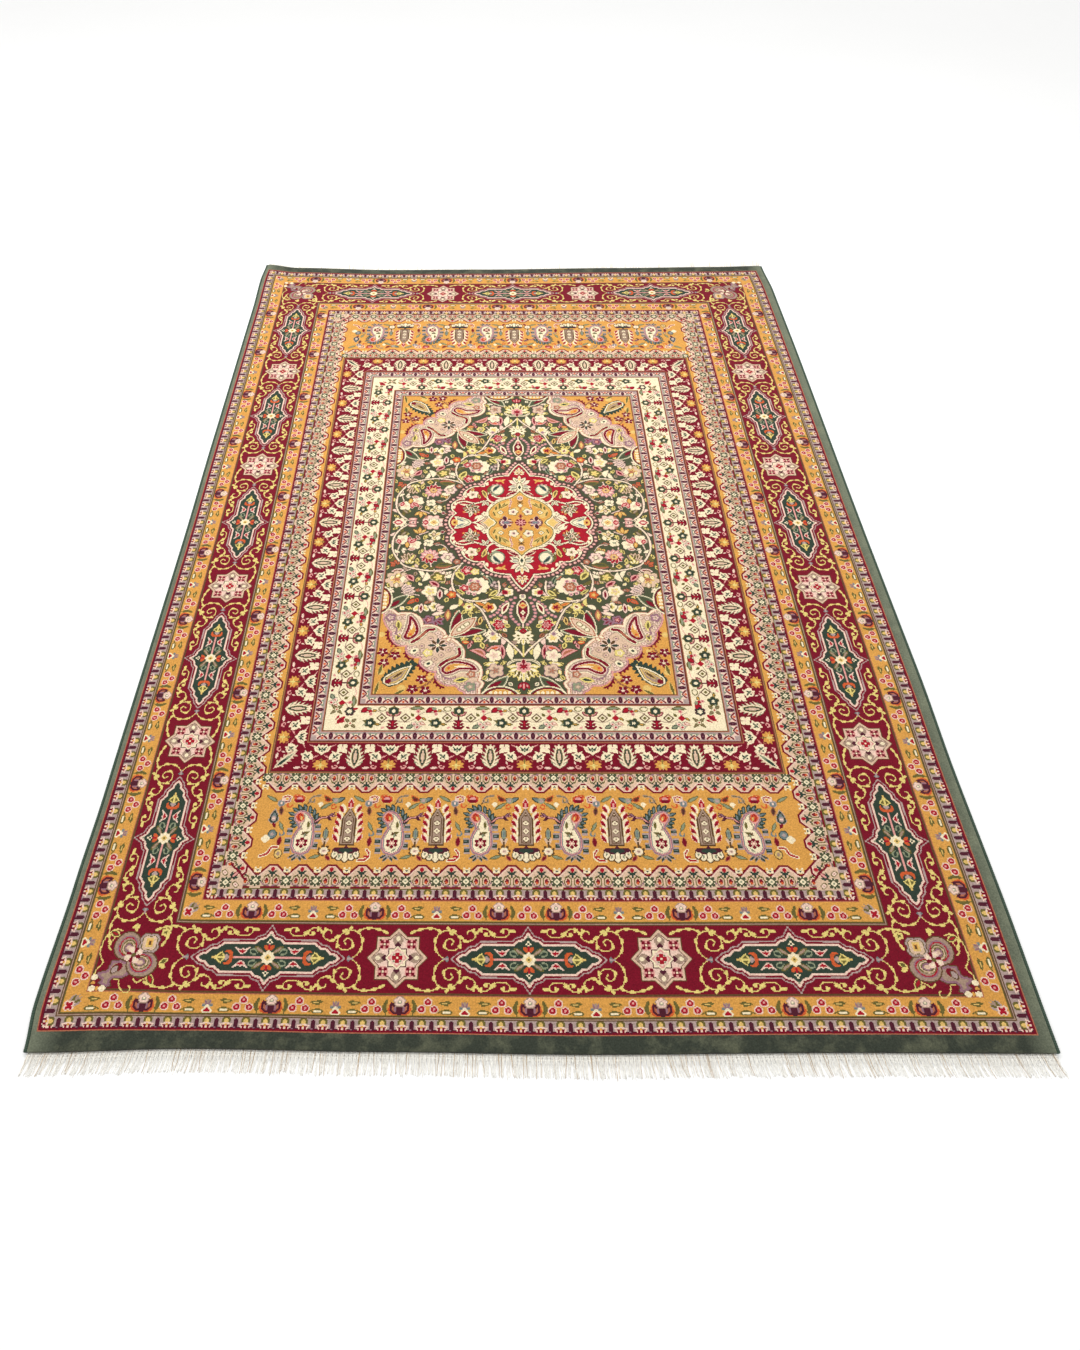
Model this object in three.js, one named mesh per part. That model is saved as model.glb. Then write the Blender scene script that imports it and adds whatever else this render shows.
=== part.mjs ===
// A hand-knotted wool rug lying flat, with overcast side cords, a flat-woven strip at
// each end and a fringe of warp ends beyond it. Lengths are in millimetres, +X runs
// across the rug, +Y along it towards the far end, and +Z is up. The origin is on the
// floor, under the middle of the rug with its fringes.
import * as THREE from 'three';

// Driving dimensions
const RUG_WIDTH = 1830;
const PILE_LENGTH = 2725;
const BODY_THICKNESS = 10;
const CORD_WIDTH = 7;
const CORD_HEIGHT = 8;
const CORD_ROUNDING = 2.2;
const END_WEAVE_WIDTH = 6;
const END_WEAVE_THICKNESS = 3;
const FRINGE_THICKNESS = 2.4;
const FRINGE_HEM = 5;
const GAP = 0.3;
const BUNDLES = 88;
const BUNDLE_ROOT_SHARE = 0.86;
const BUNDLE_TIP_SHARE = 0.66;
const SIDE_STEPS = 52;
const END_STEPS = 44;
const FADE_POWER = 6;

const HALF_WIDTH = RUG_WIDTH / 2;
const HALF_BODY = HALF_WIDTH - CORD_WIDTH - GAP;
const HALF_LENGTH = PILE_LENGTH / 2;

// How far each edge shifts outwards from a straight line, at places along it.
const LEFT_EDGE = [
  { along: -1362, shift: 2 },
  { along: -1280, shift: 9 },
  { along: -1050, shift: 3 },
  { along: -850, shift: -1 },
  { along: -60, shift: -4 },
  { along: 350, shift: -1 },
  { along: 1080, shift: 1 },
  { along: 1270, shift: 5 },
  { along: 1362, shift: 0 },
];
const RIGHT_EDGE = [
  { along: -1362, shift: 0 },
  { along: -1050, shift: 4 },
  { along: -800, shift: 3 },
  { along: -520, shift: 8 },
  { along: -60, shift: 7 },
  { along: 880, shift: 12 },
  { along: 1200, shift: 11 },
  { along: 1362, shift: 2 },
];
const NEAR_EDGE = [
  { along: -908, shift: 0 },
  { along: -630, shift: -7 },
  { along: -270, shift: -2 },
  { along: 70, shift: 2 },
  { along: 560, shift: -2 },
  { along: 908, shift: -1 },
];
const FAR_EDGE = [
  { along: -908, shift: 30 },
  { along: -790, shift: 6 },
  { along: -460, shift: -9 },
  { along: -100, shift: -5 },
  { along: 400, shift: 7 },
  { along: 740, shift: 15 },
  { along: 908, shift: 23 },
];

// Each fringe: how far it reaches past its hem, and how far the tips lean to +X.
const NEAR_FRINGE = {
  length: 36,
  lean: [
    { along: -908, shift: -9 },
    { along: -500, shift: -3 },
    { along: 0, shift: 1 },
    { along: 450, shift: 9 },
    { along: 908, shift: 10 },
  ],
};
const FAR_FRINGE = {
  length: 44,
  lean: [
    { along: -908, shift: -3 },
    { along: 0, shift: 2 },
    { along: 908, shift: 7 },
  ],
};

// Waves that make the bundles uneven: a share of the length, and a turn for each bundle.
const LENGTH_WAVES = [
  { share: 0.05, turn: 0.71 },
  { share: 0.04, turn: 2.3 },
];

// The value of a table at a place, with an even curve between its rows.
function tableAt(rows, along) {
  if (along <= rows[0].along) {
    return rows[0].shift;
  }
  for (let i = 1; i < rows.length; i += 1) {
    const low = rows[i - 1];
    const high = rows[i];
    if (along <= high.along) {
      const t = (along - low.along) / (high.along - low.along);
      return low.shift + (high.shift - low.shift) * t * t * (3 - 2 * t);
    }
  }
  return rows[rows.length - 1].shift;
}

// Where a point of the straight rug lies on the real one: each edge's shift fades
// towards the middle of the rug, with a power of the distance from there.
function lay(across, along) {
  const sideShare = Math.min(Math.abs(across) / HALF_WIDTH, 1) ** FADE_POWER;
  const endShare = Math.min(Math.abs(along) / HALF_LENGTH, 1) ** FADE_POWER;
  const sideShift = across > 0 ? tableAt(RIGHT_EDGE, along) : -tableAt(LEFT_EDGE, along);
  const endShift = along > 0 ? tableAt(FAR_EDGE, across) : -tableAt(NEAR_EDGE, across);
  return new THREE.Vector2(across + sideShare * sideShift, along + endShare * endShift);
}

// Even steps from one value to another, both ends included.
function steps(from, to, count) {
  return Array.from({ length: count + 1 }, (_, i) => from + ((to - from) * i) / count);
}

// The outline of a straight rectangle once it is laid, counter-clockwise.
function laidRectangle(left, right, near, far, acrossSteps, alongSteps) {
  const points = [];
  steps(left, right, acrossSteps).slice(0, -1).forEach((x) => points.push(lay(x, near)));
  steps(near, far, alongSteps).slice(0, -1).forEach((y) => points.push(lay(right, y)));
  steps(right, left, acrossSteps).slice(0, -1).forEach((x) => points.push(lay(x, far)));
  steps(far, near, alongSteps).slice(0, -1).forEach((y) => points.push(lay(left, y)));
  return points;
}

// A flat slab with the given outline, standing on the floor.
function slab(outline, thickness) {
  return new THREE.ExtrudeGeometry(new THREE.Shape(outline), {
    depth: thickness,
    bevelEnabled: false,
  });
}

// A slab with its upper and lower edges rounded, standing on the floor.
function roundedSlab(outline, thickness, rounding) {
  const geometry = new THREE.ExtrudeGeometry(new THREE.Shape(outline), {
    depth: thickness - 2 * rounding,
    bevelEnabled: true,
    bevelThickness: rounding,
    bevelSize: rounding,
    bevelOffset: -rounding,
    bevelSegments: 2,
  });
  return geometry.translate(0, 0, rounding);
}

// How much longer or shorter one bundle of the fringe is than the rest, as a share.
function bundleLength(index) {
  return LENGTH_WAVES.reduce((sum, wave) => sum + wave.share * Math.sin(index * wave.turn), 1);
}

// The comb's outline: a straight hem beside the flat weave, and one tapering tooth for
// each bundle of strands. end is -1 at the near end and +1 at the far end.
function fringeOutline(fringe, end) {
  const hemStart = HALF_LENGTH + END_WEAVE_WIDTH + 2 * GAP;
  const toothStart = hemStart + FRINGE_HEM;
  const pitch = (2 * HALF_BODY) / BUNDLES;
  const teeth = [];
  for (let i = 0; i < BUNDLES; i += 1) {
    const middle = -HALF_BODY + pitch * (i + 0.5);
    const tip = toothStart + fringe.length * bundleLength(i);
    const lean = tableAt(fringe.lean, middle);
    const rootHalf = (pitch * BUNDLE_ROOT_SHARE) / 2;
    const tipHalf = (pitch * BUNDLE_TIP_SHARE) / 2;
    teeth.push([middle - rootHalf, toothStart]);
    teeth.push([middle - tipHalf + lean, tip]);
    teeth.push([middle + tipHalf + lean, tip]);
    teeth.push([middle + rootHalf, toothStart]);
  }
  const hem = steps(HALF_BODY, -HALF_BODY, END_STEPS).map((x) => [x, hemStart]);
  const points = [...teeth, ...hem].map(([x, y]) => lay(x, end * y));
  return end > 0 ? points.reverse() : points;
}

const woolPile = new THREE.MeshStandardMaterial({ color: 0x7a2f38, roughness: 0.95, metalness: 0 });
const greenWool = new THREE.MeshStandardMaterial({ color: 0x46574a, roughness: 0.9, metalness: 0 });
const ivoryCotton = new THREE.MeshStandardMaterial({ color: 0xf0e7d6, roughness: 0.9, metalness: 0 });

const rug = new THREE.Group();

// Adds one named piece to the rug.
function addPiece(name, geometry, material) {
  const mesh = new THREE.Mesh(geometry, material);
  mesh.name = name;
  rug.add(mesh);
}

// The knotted pile on its foundation
const bodyOutline = laidRectangle(-HALF_BODY, HALF_BODY, -HALF_LENGTH, HALF_LENGTH,
  END_STEPS, SIDE_STEPS);
addPiece('rug_body', slab(bodyOutline, BODY_THICKNESS), woolPile);

// The overcast side cords
const cordInner = HALF_BODY + GAP;
const leftCord = laidRectangle(-HALF_WIDTH, -cordInner, -HALF_LENGTH, HALF_LENGTH, 1, SIDE_STEPS);
const rightCord = laidRectangle(cordInner, HALF_WIDTH, -HALF_LENGTH, HALF_LENGTH, 1, SIDE_STEPS);
addPiece('selvedge_left', roundedSlab(leftCord, CORD_HEIGHT, CORD_ROUNDING), greenWool);
addPiece('selvedge_right', roundedSlab(rightCord, CORD_HEIGHT, CORD_ROUNDING), greenWool);

// The flat-woven strips at the two ends
const weaveInner = HALF_LENGTH + GAP;
const weaveOuter = weaveInner + END_WEAVE_WIDTH;
const nearWeave = laidRectangle(-HALF_BODY, HALF_BODY, -weaveOuter, -weaveInner, END_STEPS, 1);
const farWeave = laidRectangle(-HALF_BODY, HALF_BODY, weaveInner, weaveOuter, END_STEPS, 1);
addPiece('end_weave_near', slab(nearWeave, END_WEAVE_THICKNESS), ivoryCotton);
addPiece('end_weave_far', slab(farWeave, END_WEAVE_THICKNESS), ivoryCotton);

// The fringes
addPiece('fringe_near', slab(fringeOutline(NEAR_FRINGE, -1), FRINGE_THICKNESS), ivoryCotton);
addPiece('fringe_far', slab(fringeOutline(FAR_FRINGE, 1), FRINGE_THICKNESS), ivoryCotton);

// The origin is under the middle of the whole rug's box
const middle = new THREE.Box3().setFromObject(rug).getCenter(new THREE.Vector3());
rug.position.set(-middle.x, -middle.y, 0);

export default rug;
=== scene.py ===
"""A hand-knotted wool rug lying flat, with its pile coloured knot by knot."""
from __future__ import annotations

import logging
import math
from dataclasses import dataclass, field
from enum import Enum, IntEnum

import bpy
import numpy as np
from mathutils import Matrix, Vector


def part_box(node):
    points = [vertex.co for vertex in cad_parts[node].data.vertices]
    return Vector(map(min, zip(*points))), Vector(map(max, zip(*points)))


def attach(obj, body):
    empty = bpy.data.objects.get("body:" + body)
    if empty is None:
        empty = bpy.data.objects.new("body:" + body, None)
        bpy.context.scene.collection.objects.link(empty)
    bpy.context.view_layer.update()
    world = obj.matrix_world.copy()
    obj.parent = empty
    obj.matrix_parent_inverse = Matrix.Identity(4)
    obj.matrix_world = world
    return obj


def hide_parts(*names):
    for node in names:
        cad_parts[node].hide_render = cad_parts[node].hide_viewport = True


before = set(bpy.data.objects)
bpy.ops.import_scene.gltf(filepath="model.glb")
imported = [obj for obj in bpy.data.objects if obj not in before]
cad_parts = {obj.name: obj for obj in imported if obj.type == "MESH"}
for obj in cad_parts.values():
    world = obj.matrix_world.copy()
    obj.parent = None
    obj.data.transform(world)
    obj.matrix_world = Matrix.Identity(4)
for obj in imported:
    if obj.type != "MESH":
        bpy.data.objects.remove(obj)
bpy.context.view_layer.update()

KNOTS_ACROSS_FACE = 4
KNOTS_ALONG_FACE = 6
FACES_ACROSS = 228
FACES_ALONG = 229
COLUMNS = KNOTS_ACROSS_FACE * FACES_ACROSS
ROWS = KNOTS_ALONG_FACE * FACES_ALONG


class Wool(IntEnum):
    """The dyed wools of the pile, in the order of their numbers in the knot chart."""

    GREEN = 0
    CRIMSON = 1
    BURGUNDY = 2
    GOLD = 3
    CREAM = 4
    LILAC = 5
    BEIGE = 6
    MAROON = 7
    YELLOW = 8
    PINK = 9
    BOTTLE = 10
    ORANGE = 11
    RED = 12
    OLIVE = 13
    SAGE = 14
    SLATE = 15
    TAUPE = 16
    BROWN = 17
    TERRACOTTA = 18
    MOSS = 19
    MAUVE = 20
    BLUSH = 21
    STRAW = 22
    UMBER = 23


(GREEN, CRIMSON, BURGUNDY, GOLD, CREAM, LILAC, BEIGE, MAROON, YELLOW, PINK, BOTTLE, ORANGE,
 RED, OLIVE, SAGE, SLATE, TAUPE, BROWN, TERRACOTTA, MOSS, MAUVE, BLUSH, STRAW, UMBER) = Wool

BARE = 255

Layer = Wool | tuple[float, Wool]
Point = tuple[float, float]


class Side(IntEnum):
    """The four sides of a border, as quarter turns from the near one."""

    NEAR = 0
    RIGHT = 1
    FAR = 2
    LEFT = 3


class Cartoon:
    """A knot chart, or one motif of it: wool numbers on a grid of knots.

    Its own axes run right and inwards from its middle, in knots. A shape is a distance
    that is negative inside it, and each layer paints the knots whose distance is no more
    than the layer's offset, so nested layers give outlines. A layer that is only a wool
    has no offset and ends at the shape's own edge.
    """

    def __init__(self, half_width: float, half_height: float, ground: int = BARE) -> None:
        """Make an empty chart.

        Args:
            half_width: Half of the chart's width, in knots.
            half_height: Half of the chart's height, in knots.
            ground: The wool that fills it, or BARE.
        """
        columns = int(round(2 * half_width))
        rows = int(round(2 * half_height))
        across = np.arange(columns) + 0.5 - columns / 2
        along = np.arange(rows) + 0.5 - rows / 2
        self.x, self.y = np.meshgrid(across, along)
        self.knots = np.full((rows, columns), ground, dtype=np.uint8)

    def paint(self, distance: np.ndarray, *layers: Layer) -> None:
        """Paint layers by a shape's distance, the widest layer first."""
        for layer in layers:
            offset, wool = (0, layer) if isinstance(layer, Wool) else layer
            self.knots[distance <= offset] = wool

    def oval(self, middle: Point, radii: Point, *layers: Layer, turn: float = 0.0) -> None:
        """Paint an ellipse: the scaled radius less one, times the smaller half axis."""
        u, v = self.turned(middle, turn)
        reach = np.hypot(u / radii[0], v / radii[1])
        self.paint((reach - 1.0) * min(radii), *layers)

    def dot(self, x: float, y: float, radius: float, *layers: Layer) -> None:
        """Paint a round dot."""
        self.oval((x, y), (radius, radius), *layers)

    def block(self, low: Point, high: Point, wool: Wool) -> None:
        """Paint a rectangle between two corners."""
        inside = (self.x > low[0]) & (self.x < high[0]) & (self.y > low[1]) & (self.y < high[1])
        self.knots[inside] = wool

    def frame(self, half_width: float, half_height: float, wool: Wool) -> None:
        """Paint a rectangle around the middle, given as half sizes."""
        self.block((-half_width, -half_height), (half_width, half_height), wool)

    def leaf(self, root: Point, tip: Point, width: float, *layers: Layer, bend: float = 0.0) -> None:
        """Paint an almond leaf: its half width is a parabola of the place along its rib.

        Args:
            root: Where the leaf starts.
            tip: Where it ends.
            width: Its full width at the middle.
            layers: Offsets and wools.
            bend: How far its middle bows to the left of the way from root to tip.
        """
        rib = np.subtract(tip, root)
        length = float(np.hypot(*rib))
        u = ((self.x - root[0]) * rib[0] + (self.y - root[1]) * rib[1]) / length
        v = ((self.y - root[1]) * rib[0] - (self.x - root[0]) * rib[1]) / length
        t = np.clip(u / length, 0.0, 1.0)
        belly = 4.0 * t * (1.0 - t)
        past = np.maximum(np.abs(u - length / 2) - length / 2, 0.0)
        self.paint(np.hypot(np.maximum(np.abs(v - bend * belly) - width / 2 * belly, 0), past)
                   + np.minimum(np.abs(v - bend * belly) - width / 2 * belly, 0), *layers)

    def thread(self, points: list[Point], *layers: Layer) -> None:
        """Paint a line through points, by the distance to its nearest segment."""
        distance = np.full(self.x.shape, np.inf)
        for start, end in zip(points, points[1:]):
            distance = np.minimum(distance, self.to_segment(start, end))
        self.paint(distance, *layers)

    def curl(self, points: list[Point], *layers: Layer) -> None:
        """Paint a smooth line through points, as a thread along their spline."""
        self.thread(smooth_line(points), *layers)

    def patch(self, points: list[Point], *layers: Layer) -> None:
        """Paint a polygon, by the distance to its nearest edge, negative inside."""
        closed = [*points, points[0]]
        distance = np.full(self.x.shape, np.inf)
        inside = np.zeros(self.x.shape, dtype=bool)
        for start, end in zip(closed, closed[1:]):
            distance = np.minimum(distance, self.to_segment(start, end))
            crosses = (start[1] > self.y) != (end[1] > self.y)
            rise = end[1] - start[1] if end[1] != start[1] else 1.0
            at = start[0] + (self.y - start[1]) * (end[0] - start[0]) / rise
            inside ^= crosses & (self.x < at)
        self.paint(np.where(inside, -distance, distance), *layers)

    def rosette(self, middle: Point, radius: float, petals: int, dent: float, *layers: Layer,
                turn: float = 0.0) -> None:
        """Paint a flower: its edge is a circle drawn in by dent between petals."""
        u, v = self.turned(middle, turn)
        wave = np.abs(np.cos(petals * np.arctan2(v, u) / 2))
        self.paint(np.hypot(u, v) - radius + dent * (1.0 - wave), *layers)

    def star(self, middle: Point, half: float, *layers: Layer) -> None:
        """Paint an eight-pointed star, the union of a square and the same square turned."""
        u = np.abs(self.x - middle[0])
        v = np.abs(self.y - middle[1])
        self.paint(np.minimum(np.maximum(u, v), (u + v) / math.sqrt(2)) - half, *layers)

    def turned(self, middle: Point, turn: float) -> tuple[np.ndarray, np.ndarray]:
        """Coordinates about a middle, on axes turned counter-clockwise by degrees."""
        angle = math.radians(turn)
        u, v = self.x - middle[0], self.y - middle[1]
        return (u * math.cos(angle) + v * math.sin(angle), v * math.cos(angle) - u * math.sin(angle))

    def to_segment(self, start: Point, end: Point) -> np.ndarray:
        """The distance from each knot to a straight segment."""
        run = np.subtract(end, start)
        length = max(float(run @ run), 1e-9)
        t = ((self.x - start[0]) * run[0] + (self.y - start[1]) * run[1]) / length
        t = np.clip(t, 0.0, 1.0)
        return np.hypot(self.x - start[0] - t * run[0], self.y - start[1] - t * run[1])

    def mirror_across(self) -> None:
        """Copy the right half onto the left, mirrored."""
        half = self.knots.shape[1] // 2
        self.knots[:, :half] = self.knots[:, ::-1][:, :half]

    def mirror_along(self) -> None:
        """Copy the upper half onto the lower one, mirrored."""
        half = self.knots.shape[0] // 2
        self.knots[:half] = self.knots[::-1][:half]

    def stamp(self, motif: Cartoon, x: float, y: float, quarters: int = 0, flip: bool = False) -> None:
        """Lay a motif's knots onto this chart.

        Args:
            motif: The motif, whose bare knots leave the ground as it is.
            x: Where its middle goes.
            y: Where its middle goes.
            quarters: Quarter turns counter-clockwise.
            flip: Whether the motif is first mirrored left to right.
        """
        knots = motif.knots[:, ::-1] if flip else motif.knots
        for _ in range(quarters % 4):
            knots = knots.T[:, ::-1]
        rows, columns = knots.shape
        top, left = self.knots.shape
        row = int(round(y + top / 2 - rows / 2))
        column = int(round(x + left / 2 - columns / 2))
        low_row, low_column = max(row, 0), max(column, 0)
        high_row, high_column = min(row + rows, top), min(column + columns, left)
        if low_row >= high_row or low_column >= high_column:
            return
        piece = knots[low_row - row:high_row - row, low_column - column:high_column - column]
        there = self.knots[low_row:high_row, low_column:high_column]
        there[piece != BARE] = piece[piece != BARE]

    def stamp_on(self, side: Side, motif: Cartoon, along: float, out: float, flip: bool = False) -> None:
        """Lay a motif on one side of a border, with its inward axis to the rug's middle.

        Args:
            side: Which side.
            motif: The motif.
            along: Its place along the side, from the side's middle.
            out: Its distance from the rug's middle.
            flip: Whether it is mirrored along the side.
        """
        x, y = along, -out
        for _ in range(side):
            x, y = -y, x
        self.stamp(motif, x, y, int(side), flip)


def smooth_line(points: list[Point], steps: int = 6) -> list[Point]:
    """A curve through points: on each span, the cubic whose slopes follow the points around it.

    Args:
        points: The points that it passes.
        steps: How many short segments each span gets.

    Returns:
        The points of the segments.
    """
    knots = np.array([points[0], *points, points[-1]], dtype=float)
    t = np.linspace(0.0, 1.0, steps, endpoint=False)[:, None]
    spans = []
    for before, start, end, after in zip(knots, knots[1:], knots[2:], knots[3:]):
        spans.append(0.5 * (2 * start + (end - before) * t
                            + (2 * before - 5 * start + 4 * end - after) * t**2
                            + (3 * start - before - 3 * end + after) * t**3))
    line = np.concatenate([*spans, knots[-1:]])
    return [(float(x), float(y)) for x, y in line]


@dataclass(frozen=True)
class Measures:
    """Half sizes of the design's bands, in knots from its middle."""

    across: dict[str, int] = field(default_factory=lambda: {
        "green": 456, "lilac_outer": 449, "gold_outer": 435, "red": 413, "gold_inner": 345,
        "lilac_inner": 324, "scallop": 311, "burgundy": 282, "lilac_third": 244,
        "cream": 230, "lilac_fourth": 193, "field": 179,
    })
    along: dict[str, int] = field(default_factory=lambda: {
        "green": 687, "lilac_outer": 671, "gold_outer": 658, "red": 636, "gold_inner": 568,
        "lilac_inner": 544, "scallop": 532, "paisley": 505, "scallop_end": 420,
        "burgundy": 398, "lilac_third": 358, "cream": 343, "lilac_fourth": 307, "field": 292,
    })


MEASURES = Measures()


def band_lines(chart: Cartoon, name: str, wools: tuple[Wool, ...], ground: Wool) -> None:
    """Paint the thin lines at a band's outer edge, one knot each, and then its ground."""
    across, along = MEASURES.across[name], MEASURES.along[name]
    for inset, wool in enumerate((*wools, ground)):
        chart.frame(across - inset, along - inset, wool)


class LilacGuard:
    """A narrow guard of yellow buds and dark leaves on lilac wool."""

    pitch: float = 18.0

    def bud(self) -> Cartoon:
        """A yellow bud with olive sides, standing on a red and cream cup."""
        motif = Cartoon(6, 5.5)
        motif.oval((0, 2.4), (4.2, 3.4), OLIVE)
        motif.oval((0, 1.8), (2.2, 2.4), STRAW)
        motif.patch([(-5.8, -0.8), (0, 0.8), (5.8, -0.8), (3.6, -4.8), (-3.6, -4.8)], BLUSH)
        motif.patch([(-4.6, -1.4), (-1.2, -1.8), (0, -0.6), (1.2, -1.8), (4.6, -1.4), (2.4, -4.2),
                     (-2.4, -4.2)], CRIMSON)
        motif.dot(0, -3.2, 1.2, BLUSH)
        motif.dot(0, -1.6, 0.9, GOLD)
        return motif

    def dark_leaf(self) -> Cartoon:
        """A dark upright leaf on a mauve shade."""
        motif = Cartoon(3, 5)
        motif.oval((0, 0.2), (2.3, 5.0), MAROON)
        motif.dot(-1.2, -3.6, 0.8, MAUVE)
        return motif

    def draw(self, chart: Cartoon, name: str, inner: str) -> None:
        """Draw the guard on all four sides.

        Args:
            chart: The rug's chart.
            name: The guard's own name in the measures.
            inner: The next band inwards.
        """
        band_lines(chart, name, (TERRACOTTA, BURGUNDY, BURGUNDY, MAROON), LILAC)
        bud, leaf = self.bud(), self.dark_leaf()
        for side in Side:
            sizes = (MEASURES.along, MEASURES.across) if side % 2 == 0 else (MEASURES.across, MEASURES.along)
            out = (sizes[0][name] - 2 + sizes[0][inner]) / 2
            reach = sizes[1][name] - 9
            count = int(round(2 * reach / self.pitch))
            pitch = 2 * reach / count
            for index in range(count + 1):
                chart.stamp_on(side, bud, -reach + pitch * index, out)
            for index in range(count):
                chart.stamp_on(side, leaf, -reach + pitch * (index + 0.5), out)


class GoldGuard:
    """A gold guard of palmettes, fans and threes of red rosettes."""

    unit: float = 119.0
    three: float = 26.0
    leaves: float = 42.0
    fan: float = 59.5

    def palmette(self) -> Cartoon:
        """A dark vase of petals under a cream crown, between two olive leaves."""
        motif = Cartoon(16, 9.5)
        for sign in (-1, 1):
            motif.leaf((sign * 12.5, -8.0), (sign * 11.7, 7.0), 5.2, OLIVE, bend=-sign * 1.2)
            motif.leaf((sign * 10.6, -5.5), (sign * 10.2, 5.5), 1.4, GOLD, bend=-sign * 0.9)
            motif.leaf((0, -8.6), (sign * 8.6, 4.0), 8.2, ORANGE, bend=-sign * 2.6)
            motif.leaf((0, -8.0), (sign * 7.6, 4.4), 7.2, MAROON, (-2.2, TERRACOTTA), bend=-sign * 2.0)
            motif.oval((sign * 3.9, -2.6), (1.3, 2.6), MAUVE)
        motif.patch([(-2.4, 2), (2.4, 2), (1.6, -8.4), (-1.6, -8.4)], MAROON)
        motif.rosette((0, 4.6), 6.0, 5, 1.2, TAUPE, (-1.2, BLUSH), (-3.4, LILAC), turn=90)
        motif.dot(0, 4.4, 1.6, SAGE, (-0.8, CREAM))
        motif.block((-7, 0.5), (-4.6, 4.0), MAROON)
        motif.block((4.6, 0.5), (7, 4.0), MAROON)
        return motif

    def three_rosettes(self) -> Cartoon:
        """Three red rosettes with cream rims and pink hearts."""
        motif = Cartoon(10, 8)
        for x, y in ((0, 3.6), (-5.8, -3.2), (5.8, -3.4)):
            motif.dot(x, y, 4.1, BLUSH, (-1.0, RED), (-2.9, PINK))
        return motif

    def leaf_pair(self) -> Cartoon:
        """A two-lobed olive leaf over a curled sprig with a cream vein."""
        motif = Cartoon(8, 8.5)
        motif.leaf((-6, 3.4), (0.5, 3.0), 3.4, OLIVE)
        motif.leaf((-1, 4.4), (6, 3.6), 3.4, OLIVE)
        motif.leaf((-1.5, 2.0), (3.5, 1.4), 2.6, OLIVE)
        motif.thread([(-2, 3.2), (1.5, 2.9)], (0.6, STRAW))
        motif.curl([(-6.5, -6.0), (-2.5, -4.0), (2.5, -3.6), (5.6, -4.4), (5.6, -6.8), (1.0, -6.8),
                    (-3.0, -6.2)], (0.75, OLIVE))
        motif.thread([(-1.5, -5.4), (4.2, -5.4)], (0.7, CREAM))
        return motif

    def fan_flower(self) -> Cartoon:
        """A red heart edged with cream under a fan of mauve petals."""
        motif = Cartoon(8, 9)
        for angle in (30, 62, 90, 118, 150):
            tip = (6.6 * math.cos(math.radians(angle)), -3.5 + 9.8 * math.sin(math.radians(angle)))
            motif.leaf((0, -3.5), tip, 3.0, TAUPE)
        for sign in (-1, 1):
            motif.oval((sign * 3.7, -0.8), (1.5, 1.2), SLATE)
            motif.leaf((0, -2.2), (sign * 2.6, 4.0), 1.5, MAUVE)
        motif.patch([(0, 0.6), (5.0, -5.6), (4.0, -7.6), (-4.0, -7.6), (-5.0, -5.6)], CREAM)
        motif.patch([(0, -2.2), (3.4, -5.6), (2.6, -6.9), (-2.6, -6.9), (-3.4, -5.6)], RED)
        return motif

    def corner_flower(self) -> Cartoon:
        """A crimson flower on the corner's diagonal, with taupe petals behind it."""
        motif = Cartoon(9, 9)
        motif.leaf((-4, -4), (7.5, 5.5), 5.5, TAUPE)
        motif.leaf((-4, -4), (1.5, 8.0), 4.5, LILAC)
        motif.leaf((0, 0), (7.6, 1.4), 2.4, OLIVE)
        motif.leaf((0, 1), (2.4, 7.4), 2.4, OLIVE)
        motif.rosette((-2.4, -2.0), 5.4, 4, 1.8, BLUSH, (-1.3, RED), turn=45)
        return motif

    def draw(self, chart: Cartoon, name: str, inner: str, ends: tuple[float, ...],
             sides: tuple[float, ...]) -> None:
        """Draw the guard on all four sides.

        Args:
            chart: The rug's chart.
            name: The guard's own name in the measures.
            inner: The next band inwards.
            ends: Places of the palmettes along the two ends, as distances from the middle.
            sides: The same along the two sides.
        """
        band_lines(chart, name, (BROWN, TAUPE, BROWN, OLIVE), GOLD)
        palmette, three, pair = self.palmette(), self.three_rosettes(), self.leaf_pair()
        fan, corner = self.fan_flower(), self.corner_flower()
        for side in Side:
            if side % 2 == 0:
                depth, length, places = MEASURES.along, MEASURES.across, ends
            else:
                depth, length, places = MEASURES.across, MEASURES.along, sides
            out = (depth[name] - 3 + depth[inner]) / 2
            edge = (length[name] - 3 + length[inner]) / 2
            marks = sorted({sign * place for place in places for sign in (-1, 1)})
            for mark in marks:
                chart.stamp_on(side, palmette, mark, out)
            for low, high in zip([-edge, *marks], [*marks, edge]):
                self.fill_gap(chart, side, out, low, high, (low in marks, high in marks), (three, pair, fan))
            for end in (-edge, edge):
                chart.stamp_on(side, corner, end, out, flip=end > 0)

    def fill_gap(self, chart: Cartoon, side: Side, out: float, low: float, high: float,
                 ends_on_palmette: tuple[bool, bool],
                 motifs: tuple[Cartoon, Cartoon, Cartoon]) -> None:
        """Fill the run between two palmettes, or between one and a corner."""
        three, pair, fan = motifs
        gap = high - low
        if gap < self.unit * 0.7 and all(ends_on_palmette):
            chart.stamp_on(side, three, (low + high) / 2, out)
            return
        whole = gap > self.unit * 0.8
        stretch = min(gap / self.unit, 1.0) if whole else min(2 * gap / self.unit, 1.1)
        for from_mark, start, sign in ((ends_on_palmette[0], low, 1), (ends_on_palmette[1], high, -1)):
            if from_mark or whole:
                if gap > self.three * 1.6:
                    chart.stamp_on(side, three, start + sign * self.three * stretch, out)
                if gap > self.leaves * 1.25:
                    chart.stamp_on(side, pair, start + sign * self.leaves * stretch, out, flip=sign < 0)
        if whole:
            chart.stamp_on(side, fan, (low + high) / 2, out)


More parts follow.
